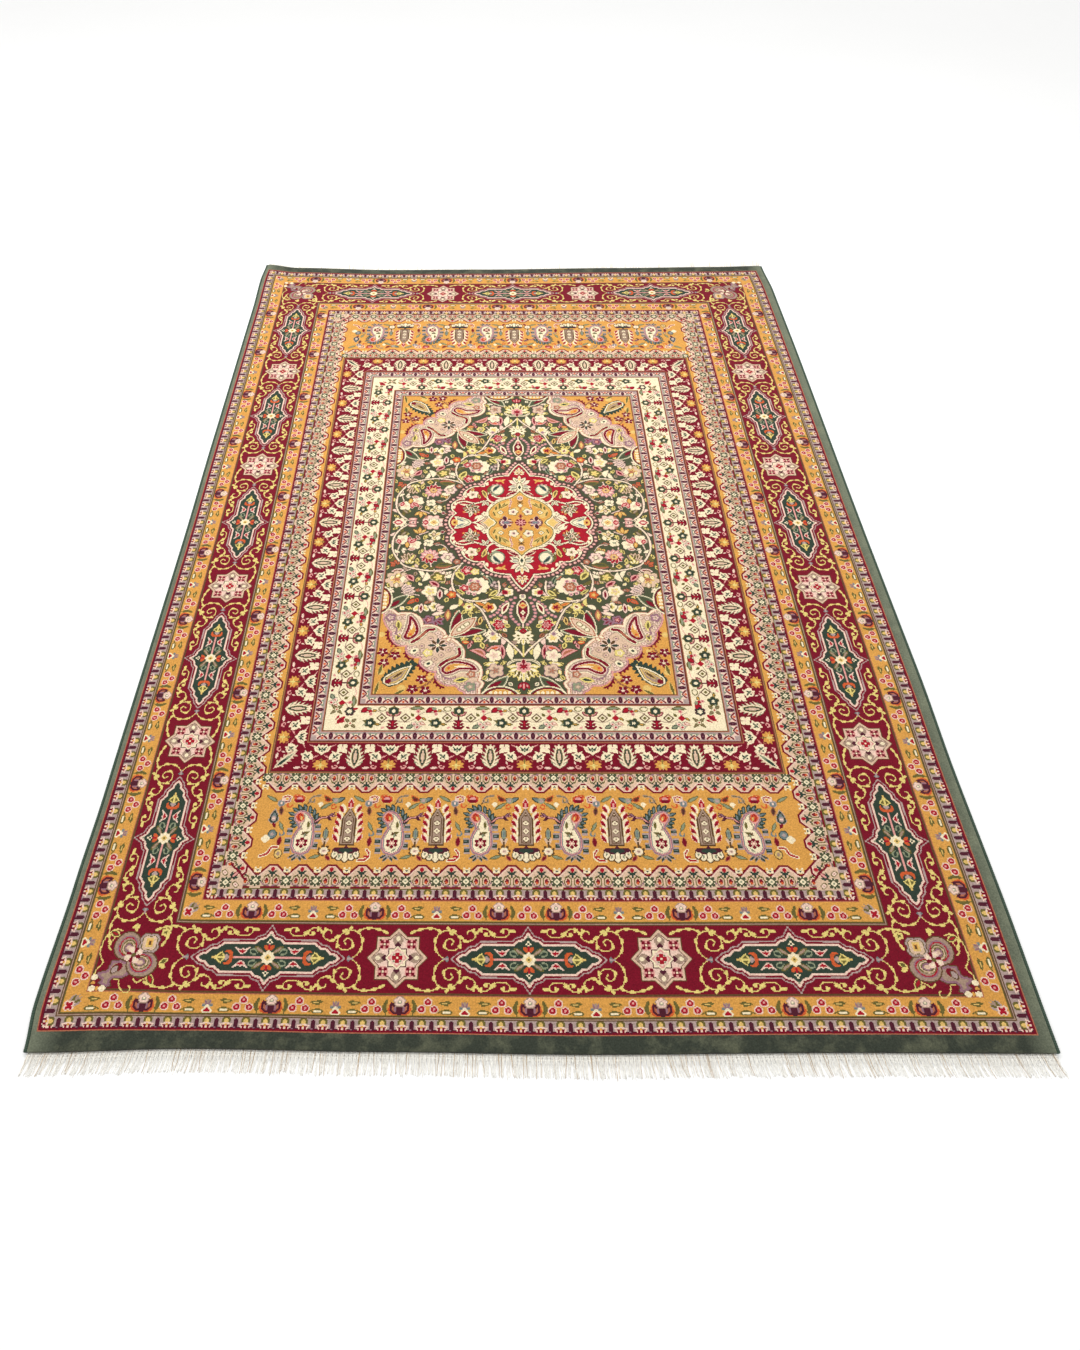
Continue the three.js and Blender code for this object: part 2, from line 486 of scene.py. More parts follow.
class RedBorder:
    """The main border: cartouches and stars on crimson, tied by yellow scrolls."""

    half_unit_ends: float = 124.5
    half_unit_sides: float = 119.5

    def cartouche(self) -> Cartoon:
        """A long stepped cartouche with a spire on each side and flowers inside."""
        motif = Cartoon(84, 32)
        quarter = [(72.5, 0), (66, 5.8), (60.5, 7), (57, 11), (50.6, 12.2), (45.5, 16.4), (15, 16.6),
                   (12.3, 19.8), (5.7, 21.8), (0, 30.5)]
        outline = [*quarter, *[(-x, y) for x, y in quarter[-2::-1]], *[(-x, -y) for x, y in quarter[1:]],
                   *[(x, -y) for x, y in quarter[-2:0:-1]]]
        motif.patch(outline, (1.2, LILAC), CRIMSON, (-1.8, BLUSH), (-3.9, BOTTLE))
        motif.thread([(7, 0), (34, 0)], (0.7, PINK))
        motif.leaf((3, 3), (14.5, 11.5), 4.4, OLIVE, (-1.1, TAUPE))
        motif.curl([(10.5, 4.4), (14, 8), (17.5, 6.8), (16.6, 3.6), (12.6, 3.0)], (0.7, SAGE))
        motif.patch([(18.6, 9.6), (23.6, 7.2), (25.3, 9.0), (27, 7.2), (32.2, 9.6), (28.2, 5.0),
                     (25.3, 3.0), (22.2, 5.0)], (0.4, BLUSH), (-0.7, RED))
        motif.oval((38.4, 0), (5.0, 7.2), ORANGE)
        motif.oval((40.6, 0), (4.0, 5.0), BOTTLE)
        motif.oval((39.9, 0), (2.6, 2.9), LILAC)
        motif.patch([(41, 0), (44.5, 6.2), (49.6, 2.2), (53.5, 0)], YELLOW, (-1.3, OLIVE))
        motif.leaf((49, 0), (54.5, 0), 2.6, STRAW)
        motif.leaf((0.6, 7), (4.6, 12.4), 4.0, ORANGE)
        motif.block((0, 7.6), (1.3, 12.6), RED)
        motif.patch([(0, 12.4), (2.6, 14.4), (0, 18.4), (-2.6, 14.4)], CREAM, (-1.1, BOTTLE))
        motif.dot(0, 21.6, 1.2, SAGE)
        motif.rosette((0, 0), 6.8, 8, 1.0, CREAM)
        motif.rosette((0, 0), 3.0, 8, 0.8, STRAW, (-1.7, OLIVE))
        motif.oval((77.6, 0), (1.6, 2.8), SLATE)
        motif.oval((78.6, 0), (3.4, 1.0), LILAC)
        motif.mirror_along()
        motif.mirror_across()
        return motif

    def star_flower(self) -> Cartoon:
        """An eight-pointed star with a small star and a cross flower in its heart."""
        motif = Cartoon(31, 31)
        motif.star((0, 0), 21.2, BROWN, (-0.9, BEIGE), (-2.9, BROWN), (-3.7, BLUSH))
        motif.patch([(8, 0), (17, 5.4), (25.5, 0)], (0.2, TAUPE))
        motif.patch([(9, 0), (12, 3.0), (15, 0)], MAROON)
        motif.oval((18.8, 0), (2.5, 1.9), CREAM)
        motif.patch([(0, 8), (5.4, 17), (0, 25.5), (-1, 17)], (0.2, TAUPE))
        motif.patch([(0, 9), (3.0, 12), (0, 15)], MAROON)
        motif.oval((0, 18.8), (1.9, 2.5), CREAM)
        for x, y in ((13.0, 13.0),):
            motif.dot(x, y, 5.4, PINK)
            for dx, dy in ((-2.2, -2.2), (2.2, -2.2), (-2.2, 2.2), (2.2, 2.2)):
                motif.oval((x + dx, y + dy), (2.0, 1.5), BURGUNDY, turn=45 * (1 if dx * dy > 0 else -1))
            motif.dot(x, y, 1.0, CREAM)
        motif.star((0, 0), 8.6, (0.4, MAROON), (-0.4, CREAM), (-2.2, PINK), (-3.0, BLUSH))
        motif.block((0, 0), (1.9, 5.4), RED)
        motif.block((0, 0), (5.4, 1.9), RED)
        motif.dot(3.4, 3.4, 1.1, SAGE)
        motif.block((-1, -1), (1, 1), CREAM)
        motif.mirror_along()
        motif.mirror_across()
        return motif

    def scroll(self) -> Cartoon:
        """One quadrant of yellow scrolls, from a cartouche's middle towards a star."""
        motif = Cartoon(126, 34)
        line = (0.58, YELLOW)
        motif.curl([(81, 0.5), (86, 5), (89.2, 13), (87, 23), (82.5, 26.5), (77, 27.4), (69, 24), (65, 16.5),
                    (68.5, 9.5), (75, 8.2), (79.6, 11.5), (79.4, 17), (75, 19.6), (71.8, 17), (73.4, 13.6)],
                   line)
        motif.curl([(84.5, 25), (91, 29.6), (100.5, 29.2), (109, 26.6)], line)
        motif.curl([(67, 22.5), (62.5, 18.6), (57.5, 17.6), (52.4, 19.4), (50.6, 24), (53.4, 27.6),
                    (57.4, 27.4), (58.2, 24.4)], line)
        motif.curl([(50.8, 24.5), (46.6, 28.6), (40.6, 29.4), (36, 26), (37.6, 22.4), (41.3, 22.8),
                    (41.6, 25.2)], line)
        motif.curl([(36, 26), (31.4, 22.2), (25.5, 21.2), (19.8, 23), (18.2, 27.4), (21.6, 29.8),
                    (25.2, 28.6), (24.6, 25.8)], line)
        for x, y, long, turn in ((88.5, 9, 2.6, 70), (89.6, 18, 2.4, 95), (72, 27.2, 2.6, 10),
                                 (80.5, 12, 2.4, 60), (64.6, 20.8, 2.8, 40), (95, 29.8, 2.8, 5),
                                 (104, 28.6, 3.0, -15), (110.5, 26.2, 3.4, -25), (49.5, 25.5, 2.6, -50),
                                 (60, 17.2, 2.6, 10), (35, 25.4, 2.6, 30), (15.4, 27.4, 3.4, 5),
                                 (85.5, 27.2, 2.6, 30), (77, 29.3, 2.2, 60)):
            motif.oval((x, y), (long + 0.3, 1.5), YELLOW, turn=turn)
        for x, y in ((65.4, 12.4), (73.8, 25.0), (52.6, 27.6), (41.0, 24.0), (24.8, 27.2), (33.2, 23.6),
                     (45.6, 28.6)):
            motif.rosette((x, y), 2.4, 3, 0.8, YELLOW)
        motif.mirror_along()
        return motif

    def corner(self) -> Cartoon:
        """The corner flower: two swirling lobes, a bud inwards and a cloud leaf outwards."""
        motif = Cartoon(36, 36)
        line = (0.58, YELLOW)
        motif.curl([(-29, 22), (-32, 14), (-33, 4), (-30, -3), (-27, -8), (-31, -14), (-32, -19)], line)
        motif.curl([(-22, 4), (-26, 8), (-24, 13), (-22, 19), (-27, 23), (-22, 25), (-16, 23)], line)
        motif.curl([(-13, -23), (-8, -24), (-6, -30), (1, -36), (5, -32), (2, -29)], line)
        motif.curl([(5, -22), (9, -26), (14, -23), (20, -20)], line)
        motif.leaf((18, -17), (24, -28), 6.6, (0.3, YELLOW), (-0.8, BROWN), (-1.9, RED))
        motif.leaf((-18, 18), (-28, 23), 6.0, (0.3, YELLOW), (-0.8, BROWN), (-1.9, RED))
        motif.leaf((26, -8), (34, -2), 5.0, (0.3, YELLOW), (-0.9, OLIVE))
        motif.leaf((26, -8), (33, -11), 3.4, (0.3, YELLOW))
        motif.leaf((-8, 26), (-1, 30), 3.6, (0.3, YELLOW))
        motif.leaf((-3, 23), (-4, 31), 3.6, (0.3, YELLOW))
        motif.rosette((26, 23), 4.6, 5, 1.4, YELLOW, (-2.6, OLIVE))
        motif.patch([(-19, -6), (-21, -15), (-29, -17), (-30, -20), (-24, -24), (-27, -27), (-18, -31),
                     (-14, -30), (-16, -25), (-13, -22), (-5, -22), (0, -19), (-2, -8), (-10, -5)],
                    (0.7, BROWN), (-0.3, MAUVE), (-2.4, TAUPE))
        motif.oval((-12.2, -12.4), (5.0, 4.0), CRIMSON, turn=30)
        motif.oval((-14.4, -14.4), (2.4, 3.6), (0.8, BROWN), LILAC, turn=-35)
        for x, y, across, along, open_to in ((-8.1, 9.0, 13.0, 14.2, (0.6, -0.8)),
                                             (10.0, -8.4, 15.0, 13.2, (-0.8, 0.6))):
            motif.oval((x, y), (across, along), BROWN, (-1.1, TAUPE))
            near = (x + 1.2 * open_to[0], y + 1.2 * open_to[1])
            motif.oval(near, (across - 3.6, along - 3.6), MAUVE, (-1.2, RED), (-2.3, TAUPE))
            near = (x + 2.6 * open_to[0], y + 2.6 * open_to[1])
            motif.oval(near, (across - 6.6, along - 6.6), OLIVE, (-0.9, BEIGE), (-2.0, OLIVE),
                       (-2.9, MAUVE), (-4.4, BEIGE))
        motif.rosette((12.5, 12.0), 11.6, 4, 2.2, BROWN, (-1.0, LILAC), (-2.8, OLIVE), (-3.6, BEIGE), turn=45)
        motif.block((9.4, 8.0), (16.4, 16.6), STRAW)
        motif.block((11.4, 9.8), (14.6, 14.6), GOLD)
        motif.oval((13, 12.2), (1.4, 2.0), BROWN)
        for turn in (28, 118, 208, 298):
            angle = math.radians(turn)
            motif.oval((5.6 * math.cos(angle), 5.6 * math.sin(angle)), (3.4, 3.0), BLUSH, (-1.6, CREAM),
                       turn=turn)
            angle += math.radians(45)
            motif.oval((5.0 * math.cos(angle), 5.0 * math.sin(angle)), (2.6, 1.9), CRIMSON, turn=turn + 45)
        motif.dot(0, 0, 2.0, OLIVE)
        for x, y in ((-31, -21.4), (-31, -32), (-21.6, -32)):
            motif.oval((x, y), (3.2, 2.8), CREAM)
        for x, y in ((-31, -26.6), (-26.4, -32)):
            motif.dot(x, y, 1.8, GOLD)
        return motif

    def draw(self, chart: Cartoon) -> None:
        """Draw the border on all four sides."""
        band_lines(chart, "red", (TERRACOTTA, BROWN, BROWN), CRIMSON)
        cartouche, star, scroll = self.cartouche(), self.star_flower(), self.scroll()
        for side in Side:
            if side % 2 == 0:
                depth, half_unit, count = MEASURES.along, self.half_unit_ends, 2
            else:
                depth, half_unit, count = MEASURES.across, self.half_unit_sides, 4
            out = (depth["red"] - 3 + depth["gold_inner"]) / 2
            for index in range(-count, count + 1, 2):
                for flip in (False, True):
                    chart.stamp_on(side, scroll, index * half_unit, out, flip)
            for index in range(-count, count + 1):
                is_star = index % 2 != count % 2
                chart.stamp_on(side, star if is_star else cartouche, index * half_unit, out)
        corner = self.corner()
        x = (MEASURES.across["red"] - 3 + MEASURES.across["gold_inner"]) / 2
        y = (MEASURES.along["red"] - 3 + MEASURES.along["gold_inner"]) / 2
        chart.stamp(corner, -x, -y)
        chart.stamp(corner, x, -y, flip=True)
        chart.stamp(corner, x, y, quarters=2)
        chart.stamp(corner, -x, y, quarters=2, flip=True)


def runs(side: Side, name: str, inner: str) -> tuple[float, float, float]:
    """How a band lies on one side: the places of its outer and inner edges, and half its run.

    Args:
        side: Which side.
        name: The band's own name in the measures.
        inner: The next band inwards.

    Returns:
        The outer edge, the inner edge and half of the length, in knots.
    """
    across, along = MEASURES.across, MEASURES.along
    depth, length = (along, across) if side % 2 == 0 else (across, along)
    return depth[name], depth[inner], (length[name] + length[inner]) / 2


class ScallopBand:
    """A scalloped beige band with a wine edge, buds in its lobes and dotted flowers between."""

    lobe: tuple[Point, ...] = ((16.6, 14.6), (13.4, 15.6), (11.0, 17.6), (9.6, 20.2), (7.7, 20.9),
                               (6.2, 22.8), (4.4, 25.0))
    half_depth: float = 15.0

    def unit(self) -> Cartoon:
        """One lobe, with its outer edge at the bottom of the motif."""
        motif = Cartoon(17, self.half_depth)
        lift = self.half_depth
        line = [(x, y - lift) for x, y in self.lobe] + [(-x, y - lift) for x, y in self.lobe[::-1]]
        motif.patch([(17.5, -20), *line, (-17.5, -20)], BEIGE)
        motif.thread([(x * 0.93, y - 1.4) for x, y in line], (0.7, BLUSH))
        motif.thread(line, (1.1, BURGUNDY))
        motif.thread([(-10, 1.0 - lift), (10, 1.0 - lift)], (0.7, BURGUNDY))
        for sign in (-1, 1):
            motif.oval((sign * 4.8, 8.0 - lift), (4.0, 6.2), OLIVE, (-0.9, BEIGE), (-2.1, BURGUNDY))
            motif.dot(sign * 4.6, 6.6 - lift, 1.4, ORANGE)
            motif.curl([(sign * 5.4, 12.4 - lift), (sign * 3.8, 14.6 - lift), (0, 16.0 - lift)],
                       (0.6, BOTTLE))
            motif.leaf((0, 16 - lift), (sign * 5.4, 19.4 - lift), 2.6, BOTTLE)
            motif.curl([(sign * 1.5, 2.8 - lift), (sign * 8, 4.2 - lift), (sign * 11.6, 9.4 - lift)],
                       (0.6, MAUVE))
        motif.thread([(0, 12 - lift), (0, 18 - lift)], (0.6, BOTTLE))
        motif.oval((0, 20.4 - lift), (1.7, 2.6), RED)
        return motif

    def dotted_flower(self) -> Cartoon:
        """Eight dark dots round a pale middle, the ones on its diagonals larger."""
        motif = Cartoon(7, 7)
        motif.dot(0, 0, 5.0, CREAM)
        for step in range(8):
            angle = math.tau * step / 8
            motif.dot(4.4 * math.cos(angle), 4.4 * math.sin(angle), 2.0 if step % 2 else 1.4, MOSS)
        motif.dot(0, 0, 2.4, CREAM, (-1.6, SAGE))
        return motif

    def crown(self) -> Cartoon:
        """A cream crown with a dark dot, which stands in a valley."""
        motif = Cartoon(4.5, 4)
        motif.block((-4, -3), (4, 3.2), CREAM)
        motif.block((-1.1, 0.6), (1.1, 4), GOLD)
        motif.block((-3.2, -0.4), (-1.4, 1.2), STRAW)
        motif.block((1.4, -0.4), (3.2, 1.2), STRAW)
        motif.dot(0, -0.8, 1.1, BOTTLE)
        return motif

    def lay_row(self, chart: Cartoon, side: Side, outer: float, half_run: float, count: int,
                inwards: bool = True) -> None:
        """Lay a row of lobes along one side.

        Args:
            chart: The rug's chart.
            side: Which side.
            outer: The place of the row's straight edge.
            half_run: Half of the row's length.
            count: How many lobes it has.
            inwards: Whether the lobes point to the rug's middle.
        """
        unit, flower, crown = self.unit(), self.dotted_flower(), self.crown()
        turned = side if inwards else Side((side + 2) % 4)
        sign = 1 if inwards else -1
        pitch = 2 * half_run / count
        for index in range(count):
            self.stamp_row(chart, turned, unit, -half_run + pitch * (index + 0.5), sign * outer,
                           self.half_depth)
        for index in range(count + 1):
            place = -half_run + pitch * index
            self.stamp_row(chart, turned, flower, place, sign * outer, 7.4)
            self.stamp_row(chart, turned, crown, place, sign * outer, 19.4)

    def stamp_row(self, chart: Cartoon, side: Side, motif: Cartoon, along: float, outer: float,
                  depth: float) -> None:
        """Lay one motif at a depth from the row's straight edge."""
        chart.stamp_on(side, motif, along, outer - depth)

    def draw(self, chart: Cartoon) -> None:
        """Draw the outer row all round, and the rows between the paisleys and the middle."""
        band_lines(chart, "scallop", (OLIVE, TERRACOTTA), GOLD)
        across, along = MEASURES.across, MEASURES.along
        for side in Side:
            ends = side % 2 == 0
            outer = (along if ends else across)["scallop"] - 1.5
            half_run = (across if ends else along)["scallop"] - 7
            self.lay_row(chart, side, outer, half_run, 20 if ends else 36)
        for sign in (-1, 1):
            for other in (-1, 1):
                place = (sign * (across["scallop"] - 14), other * (along["scallop"] - 14))
                turns = {(-1, -1): 0, (1, -1): 1, (1, 1): 2, (-1, 1): 3}[(sign, other)]
                chart.stamp(self.corner_flower(), *place, quarters=turns)

    def corner_flower(self) -> Cartoon:
        """A dotted flower and a wine flower on the corner's diagonal."""
        motif = Cartoon(14, 14)
        motif.patch([(-14, -14), (10.6, -14), (10.6, -2.4), (5, 5), (-2.4, 10.6), (-14, 10.6)], BEIGE)
        motif.thread([(11.4, -3.4), (9.6, -1.6), (5, 5), (-1.6, 9.6), (-3.4, 11.4)], (1.1, BURGUNDY))
        motif.leaf((-2, -2), (5, 5), 5.0, BURGUNDY, (-1.3, PINK))
        motif.leaf((-2, -3), (5, -1), 3.0, BOTTLE)
        motif.leaf((-3, -2), (-1, 5), 3.0, BOTTLE)
        motif.oval((-9.4, 3.4), (2.8, 3.8), OLIVE, (-0.9, BLUSH), (-2.0, BURGUNDY), turn=50)
        motif.oval((3.4, -9.4), (2.8, 3.8), OLIVE, (-0.9, BLUSH), (-2.0, BURGUNDY), turn=-140)
        motif.stamp(self.dotted_flower(), -7, -7)
        return motif

    def draw_inner_rows(self, chart: Cartoon) -> None:
        """Draw the straight rows past the paisley panels, with their lobes to the paisleys."""
        for side in (Side.NEAR, Side.FAR):
            self.lay_row(chart, side, MEASURES.along["burgundy"] - 2.0, MEASURES.across["burgundy"] - 1, 18,
                         inwards=False)


class BudGuard:
    """A narrow guard of red buds between dark bars, on lilac wool."""

    pitch: float = 18.7

    def bud(self) -> Cartoon:
        """A red festoon under a cream cup with small green sides."""
        motif = Cartoon(8, 4.5)
        motif.patch([(-7.4, -4.6), (7.4, -4.6), (6.6, 2.4), (-6.6, 2.4)], BLUSH)
        motif.oval((0, 1.6), (4.0, 2.2), SLATE, (-1.0, CREAM))
        motif.curl([(-5.6, -4.2), (-2.6, -1.2), (0, 0.4), (2.6, -1.2), (5.6, -4.2)], (0.8, BURGUNDY))
        motif.dot(0, -3.0, 1.5, ORANGE)
        motif.oval((-3.4, 2.6), (1.8, 0.9), SAGE)
        motif.oval((3.4, 2.6), (1.8, 0.9), SAGE)
        return motif

    def bar(self) -> Cartoon:
        """A dark bar, thicker in its middle."""
        motif = Cartoon(2.5, 4.5)
        motif.oval((0, 0), (2.2, 5.6), MAROON)
        motif.dot(0, 0, 0.8, MAUVE)
        return motif

    def draw(self, chart: Cartoon, name: str, inner: str) -> None:
        """Draw the guard on all four sides.

        Args:
            chart: The rug's chart.
            name: The guard's own name in the measures.
            inner: The next band inwards.
        """
        band_lines(chart, name, (TERRACOTTA, BROWN, BURGUNDY), LILAC)
        bud, bar = self.bud(), self.bar()
        for side in Side:
            outer, inside, reach = runs(side, name, inner)
            out = (outer - 3 + inside) / 2
            count = int(round(2 * reach / self.pitch))
            pitch = 2 * reach / count
            for index in range(count):
                chart.stamp_on(side, bud, -reach + pitch * (index + 0.5), out)
            for index in range(1, count):
                chart.stamp_on(side, bar, -reach + pitch * index, out)


class BurgundyBand:
    """A burgundy band of feathered leaves between gold stars with cream flowers."""

    half_unit_ends: float = 37.6
    half_unit_sides: float = 38.9

    def feathered_leaf(self) -> Cartoon:
        """A tall leaf with spikes on both sides and an almond eye."""
        motif = Cartoon(12, 17)
        for step, (low, reach) in enumerate(((-13.0, 8.6), (-9.0, 10.4), (-4.4, 10.2), (0.2, 8.6), (4.6, 6.4),
                                             (8.6, 4.2))):
            for sign in (-1, 1):
                motif.leaf((0, low - 2), (sign * (reach + 0.6), low + 7.0), 2.8,
                           (0, BEIGE if step % 2 else SAGE))
                motif.leaf((0, low - 1.4), (sign * reach, low + 6.0), 1.5, CREAM)
        motif.leaf((0, -16), (0, 16.6), 11.4, CREAM, (-1.1, BEIGE), (-1.7, OLIVE),
                   (-2.6, CREAM), (-3.4, BEIGE))
        motif.leaf((0, -12), (0, 12), 6.4, BOTTLE, (-1.3, BEIGE))
        motif.leaf((0, 9), (0, 17), 2.0, CREAM)
        return motif

    def gold_star(self) -> Cartoon:
        """A pointed gold flower with a pale heart."""
        motif = Cartoon(9.5, 8.5)
        for angle in (-60, -24, 10, 48, 90, 132, 170, 204, 240):
            tip = (9.0 * math.cos(math.radians(angle)), 8.0 * math.sin(math.radians(angle)))
            motif.leaf((0, 0), tip, 3.6, GOLD)
        motif.dot(0, 0, 3.2, GOLD)
        motif.leaf((0, -6.5), (0, 3.5), 3.4, STRAW, (-1.0, YELLOW))
        motif.leaf((-4, -1), (4, -1), 2.2, YELLOW)
        motif.leaf((0, 2), (0, 8), 2.2, OLIVE)
        return motif

    def tulip(self) -> Cartoon:
        """A cream cup that opens inwards, with dark green veins."""
        motif = Cartoon(11, 8)
        motif.patch([(0, -7.6), (4.2, -3.6), (7.2, -2.8), (10.2, 4.8), (6.0, 4.2), (4.4, 7.0), (1.4, 4.6),
                     (0, 7.4), (-1.4, 4.6), (-4.4, 7.0), (-6.0, 4.2), (-10.2, 4.8), (-7.2, -2.8),
                     (-4.2, -3.6)], CREAM)
        motif.leaf((0, -4), (0, 3.6), 3.2, BOTTLE, (-0.8, SAGE))
        for sign in (-1, 1):
            motif.leaf((sign * 1.8, -2.6), (sign * 4.6, 4.0), 2.0, BOTTLE)
            motif.leaf((sign * 4.0, -1.6), (sign * 8.0, 3.2), 1.5, BEIGE)
        return motif

    def serrated_leaf(self) -> Cartoon:
        """A cream leaf with a cut edge and green veins, which leans outwards to the right."""
        motif = Cartoon(9, 9)
        motif.patch([(-6.4, 1.6), (-4.0, 4.0), (-4.8, 7.6), (-0.6, 5.4), (2.4, 8.2), (3.6, 4.4), (7.4, 3.4),
                     (4.8, 0.0), (5.6, -4.0), (1.6, -5.6), (-3.4, -7.2), (-3.0, -4.0), (-7.2, -3.6)], CREAM)
        motif.leaf((-3.6, -3.0), (4.2, 3.6), 2.6, BOTTLE, (-0.8, SAGE))
        motif.leaf((-1.6, -0.6), (-3.2, 4.0), 1.7, BOTTLE)
        motif.leaf((0.6, -0.6), (3.4, -3.2), 1.7, BOTTLE)
        motif.oval((-0.6, -3.8), (2.4, 0.9), BEIGE, turn=-18)
        return motif

    def blossom(self) -> Cartoon:
        """A white four-lobed blossom."""
        motif = Cartoon(6.5, 6.5)
        for x, y in ((-2.4, 2.8), (2.6, 2.8), (-2.6, -1.8), (2.2, -2.6)):
            motif.dot(x, y, 3.1, CREAM)
        motif.leaf((2, -2), (6.0, -6.2), 2.8, CREAM)
        motif.leaf((0, 2.4), (0, 6.4), 1.6, BURGUNDY)
        motif.dot(0, 0.6, 1.3, BLUSH)
        return motif

    def half_cluster(self, in_corner: bool = False) -> Cartoon:
        """What stands to the right of a star: leaf, blossom, pink curl and sprigs."""
        motif = Cartoon(34, 17)
        motif.stamp(self.serrated_leaf(), 16.2, 0.2)
        if not in_corner:
            motif.stamp(self.blossom(), 22.6, 10.8)
        motif.curl([(14.0, -12.2), (15.0, -15.0), (18.4, -14.6), (18.6, -11.4), (16.4, -11.6)], (0.75, PINK))
        motif.leaf((19.6, -10.0), (20.6, -5.6), 1.7, BLUSH)
        motif.leaf((20.4, -14.2), (30.0, -14.8), 2.5, BLUSH)
        motif.leaf((3.0, 1.6), (9.4, -1.8), 1.9, PINK)
        motif.leaf((5.4, -3.6), (9.6, -6.8), 1.7, TERRACOTTA)
        motif.leaf((9.0, 12.6), (15.6, 15.8), 1.4, PINK)
        return motif

    def corner_leaf(self) -> Cartoon:
        """A narrow feathered leaf on the corner's diagonal."""
        motif = Cartoon(15, 15)
        for step in range(5):
            for sign in (-1, 1):
                root = (-7 + 3.4 * step, -7 + 3.4 * step)
                tip = (root[0] + 2.2 + sign * 4.6, root[1] + 2.2 - sign * 4.6)
                motif.leaf(root, tip, 2.4, BEIGE)
        motif.leaf((-12, -12), (11.5, 11.5), 8.0, BEIGE, (-0.9, CREAM), (-2.0, SAGE))
        motif.leaf((-9, -9), (2, 2), 3.6, BOTTLE)
        return motif

    def draw(self, chart: Cartoon) -> None:
        """Draw the band on all four sides, with a star on the ends' axis and a leaf on the sides'."""
        across, along = MEASURES.across["burgundy"], MEASURES.along["burgundy"]
        for inset, wool in enumerate((OLIVE, TERRACOTTA, BROWN, BURGUNDY)):
            chart.frame(across - inset, along - inset, wool)
        leaf, star, tulip, half = self.feathered_leaf(), self.gold_star(), self.tulip(), self.half_cluster()
        last = self.half_cluster(in_corner=True)
        for side in Side:
            outer, inside, _ = runs(side, "burgundy", "lilac_third")
            out = (outer - 3 + inside) / 2
            ends = side % 2 == 0
            count = 6 if ends else 9
            pitch = self.half_unit_ends if ends else self.half_unit_sides
            for index in range(-count, count + 1):
                is_star = index % 2 == (0 if ends else 1)
                place = index * pitch
                if is_star:
                    chart.stamp_on(side, star, place, out + 9.8)
                    chart.stamp_on(side, tulip, place, out - 9.2)
                    chart.stamp_on(side, half if index < count - 1 else last, place, out)
                    chart.stamp_on(side, half if index > 1 - count else last, place, out, flip=True)
            for index in range(-count, count + 1):
                if index % 2 != (0 if ends else 1):
                    chart.stamp_on(side, leaf, index * pitch, out)
        x = (across - 3 + MEASURES.across["lilac_third"]) / 2
        y = (along - 3 + MEASURES.along["lilac_third"]) / 2
        corner = self.corner_leaf()
        for quarters, (sign, other) in enumerate(((-1, -1), (1, -1), (1, 1), (-1, 1))):
            chart.stamp(corner, sign * (x + 4), other * (y + 4), quarters)


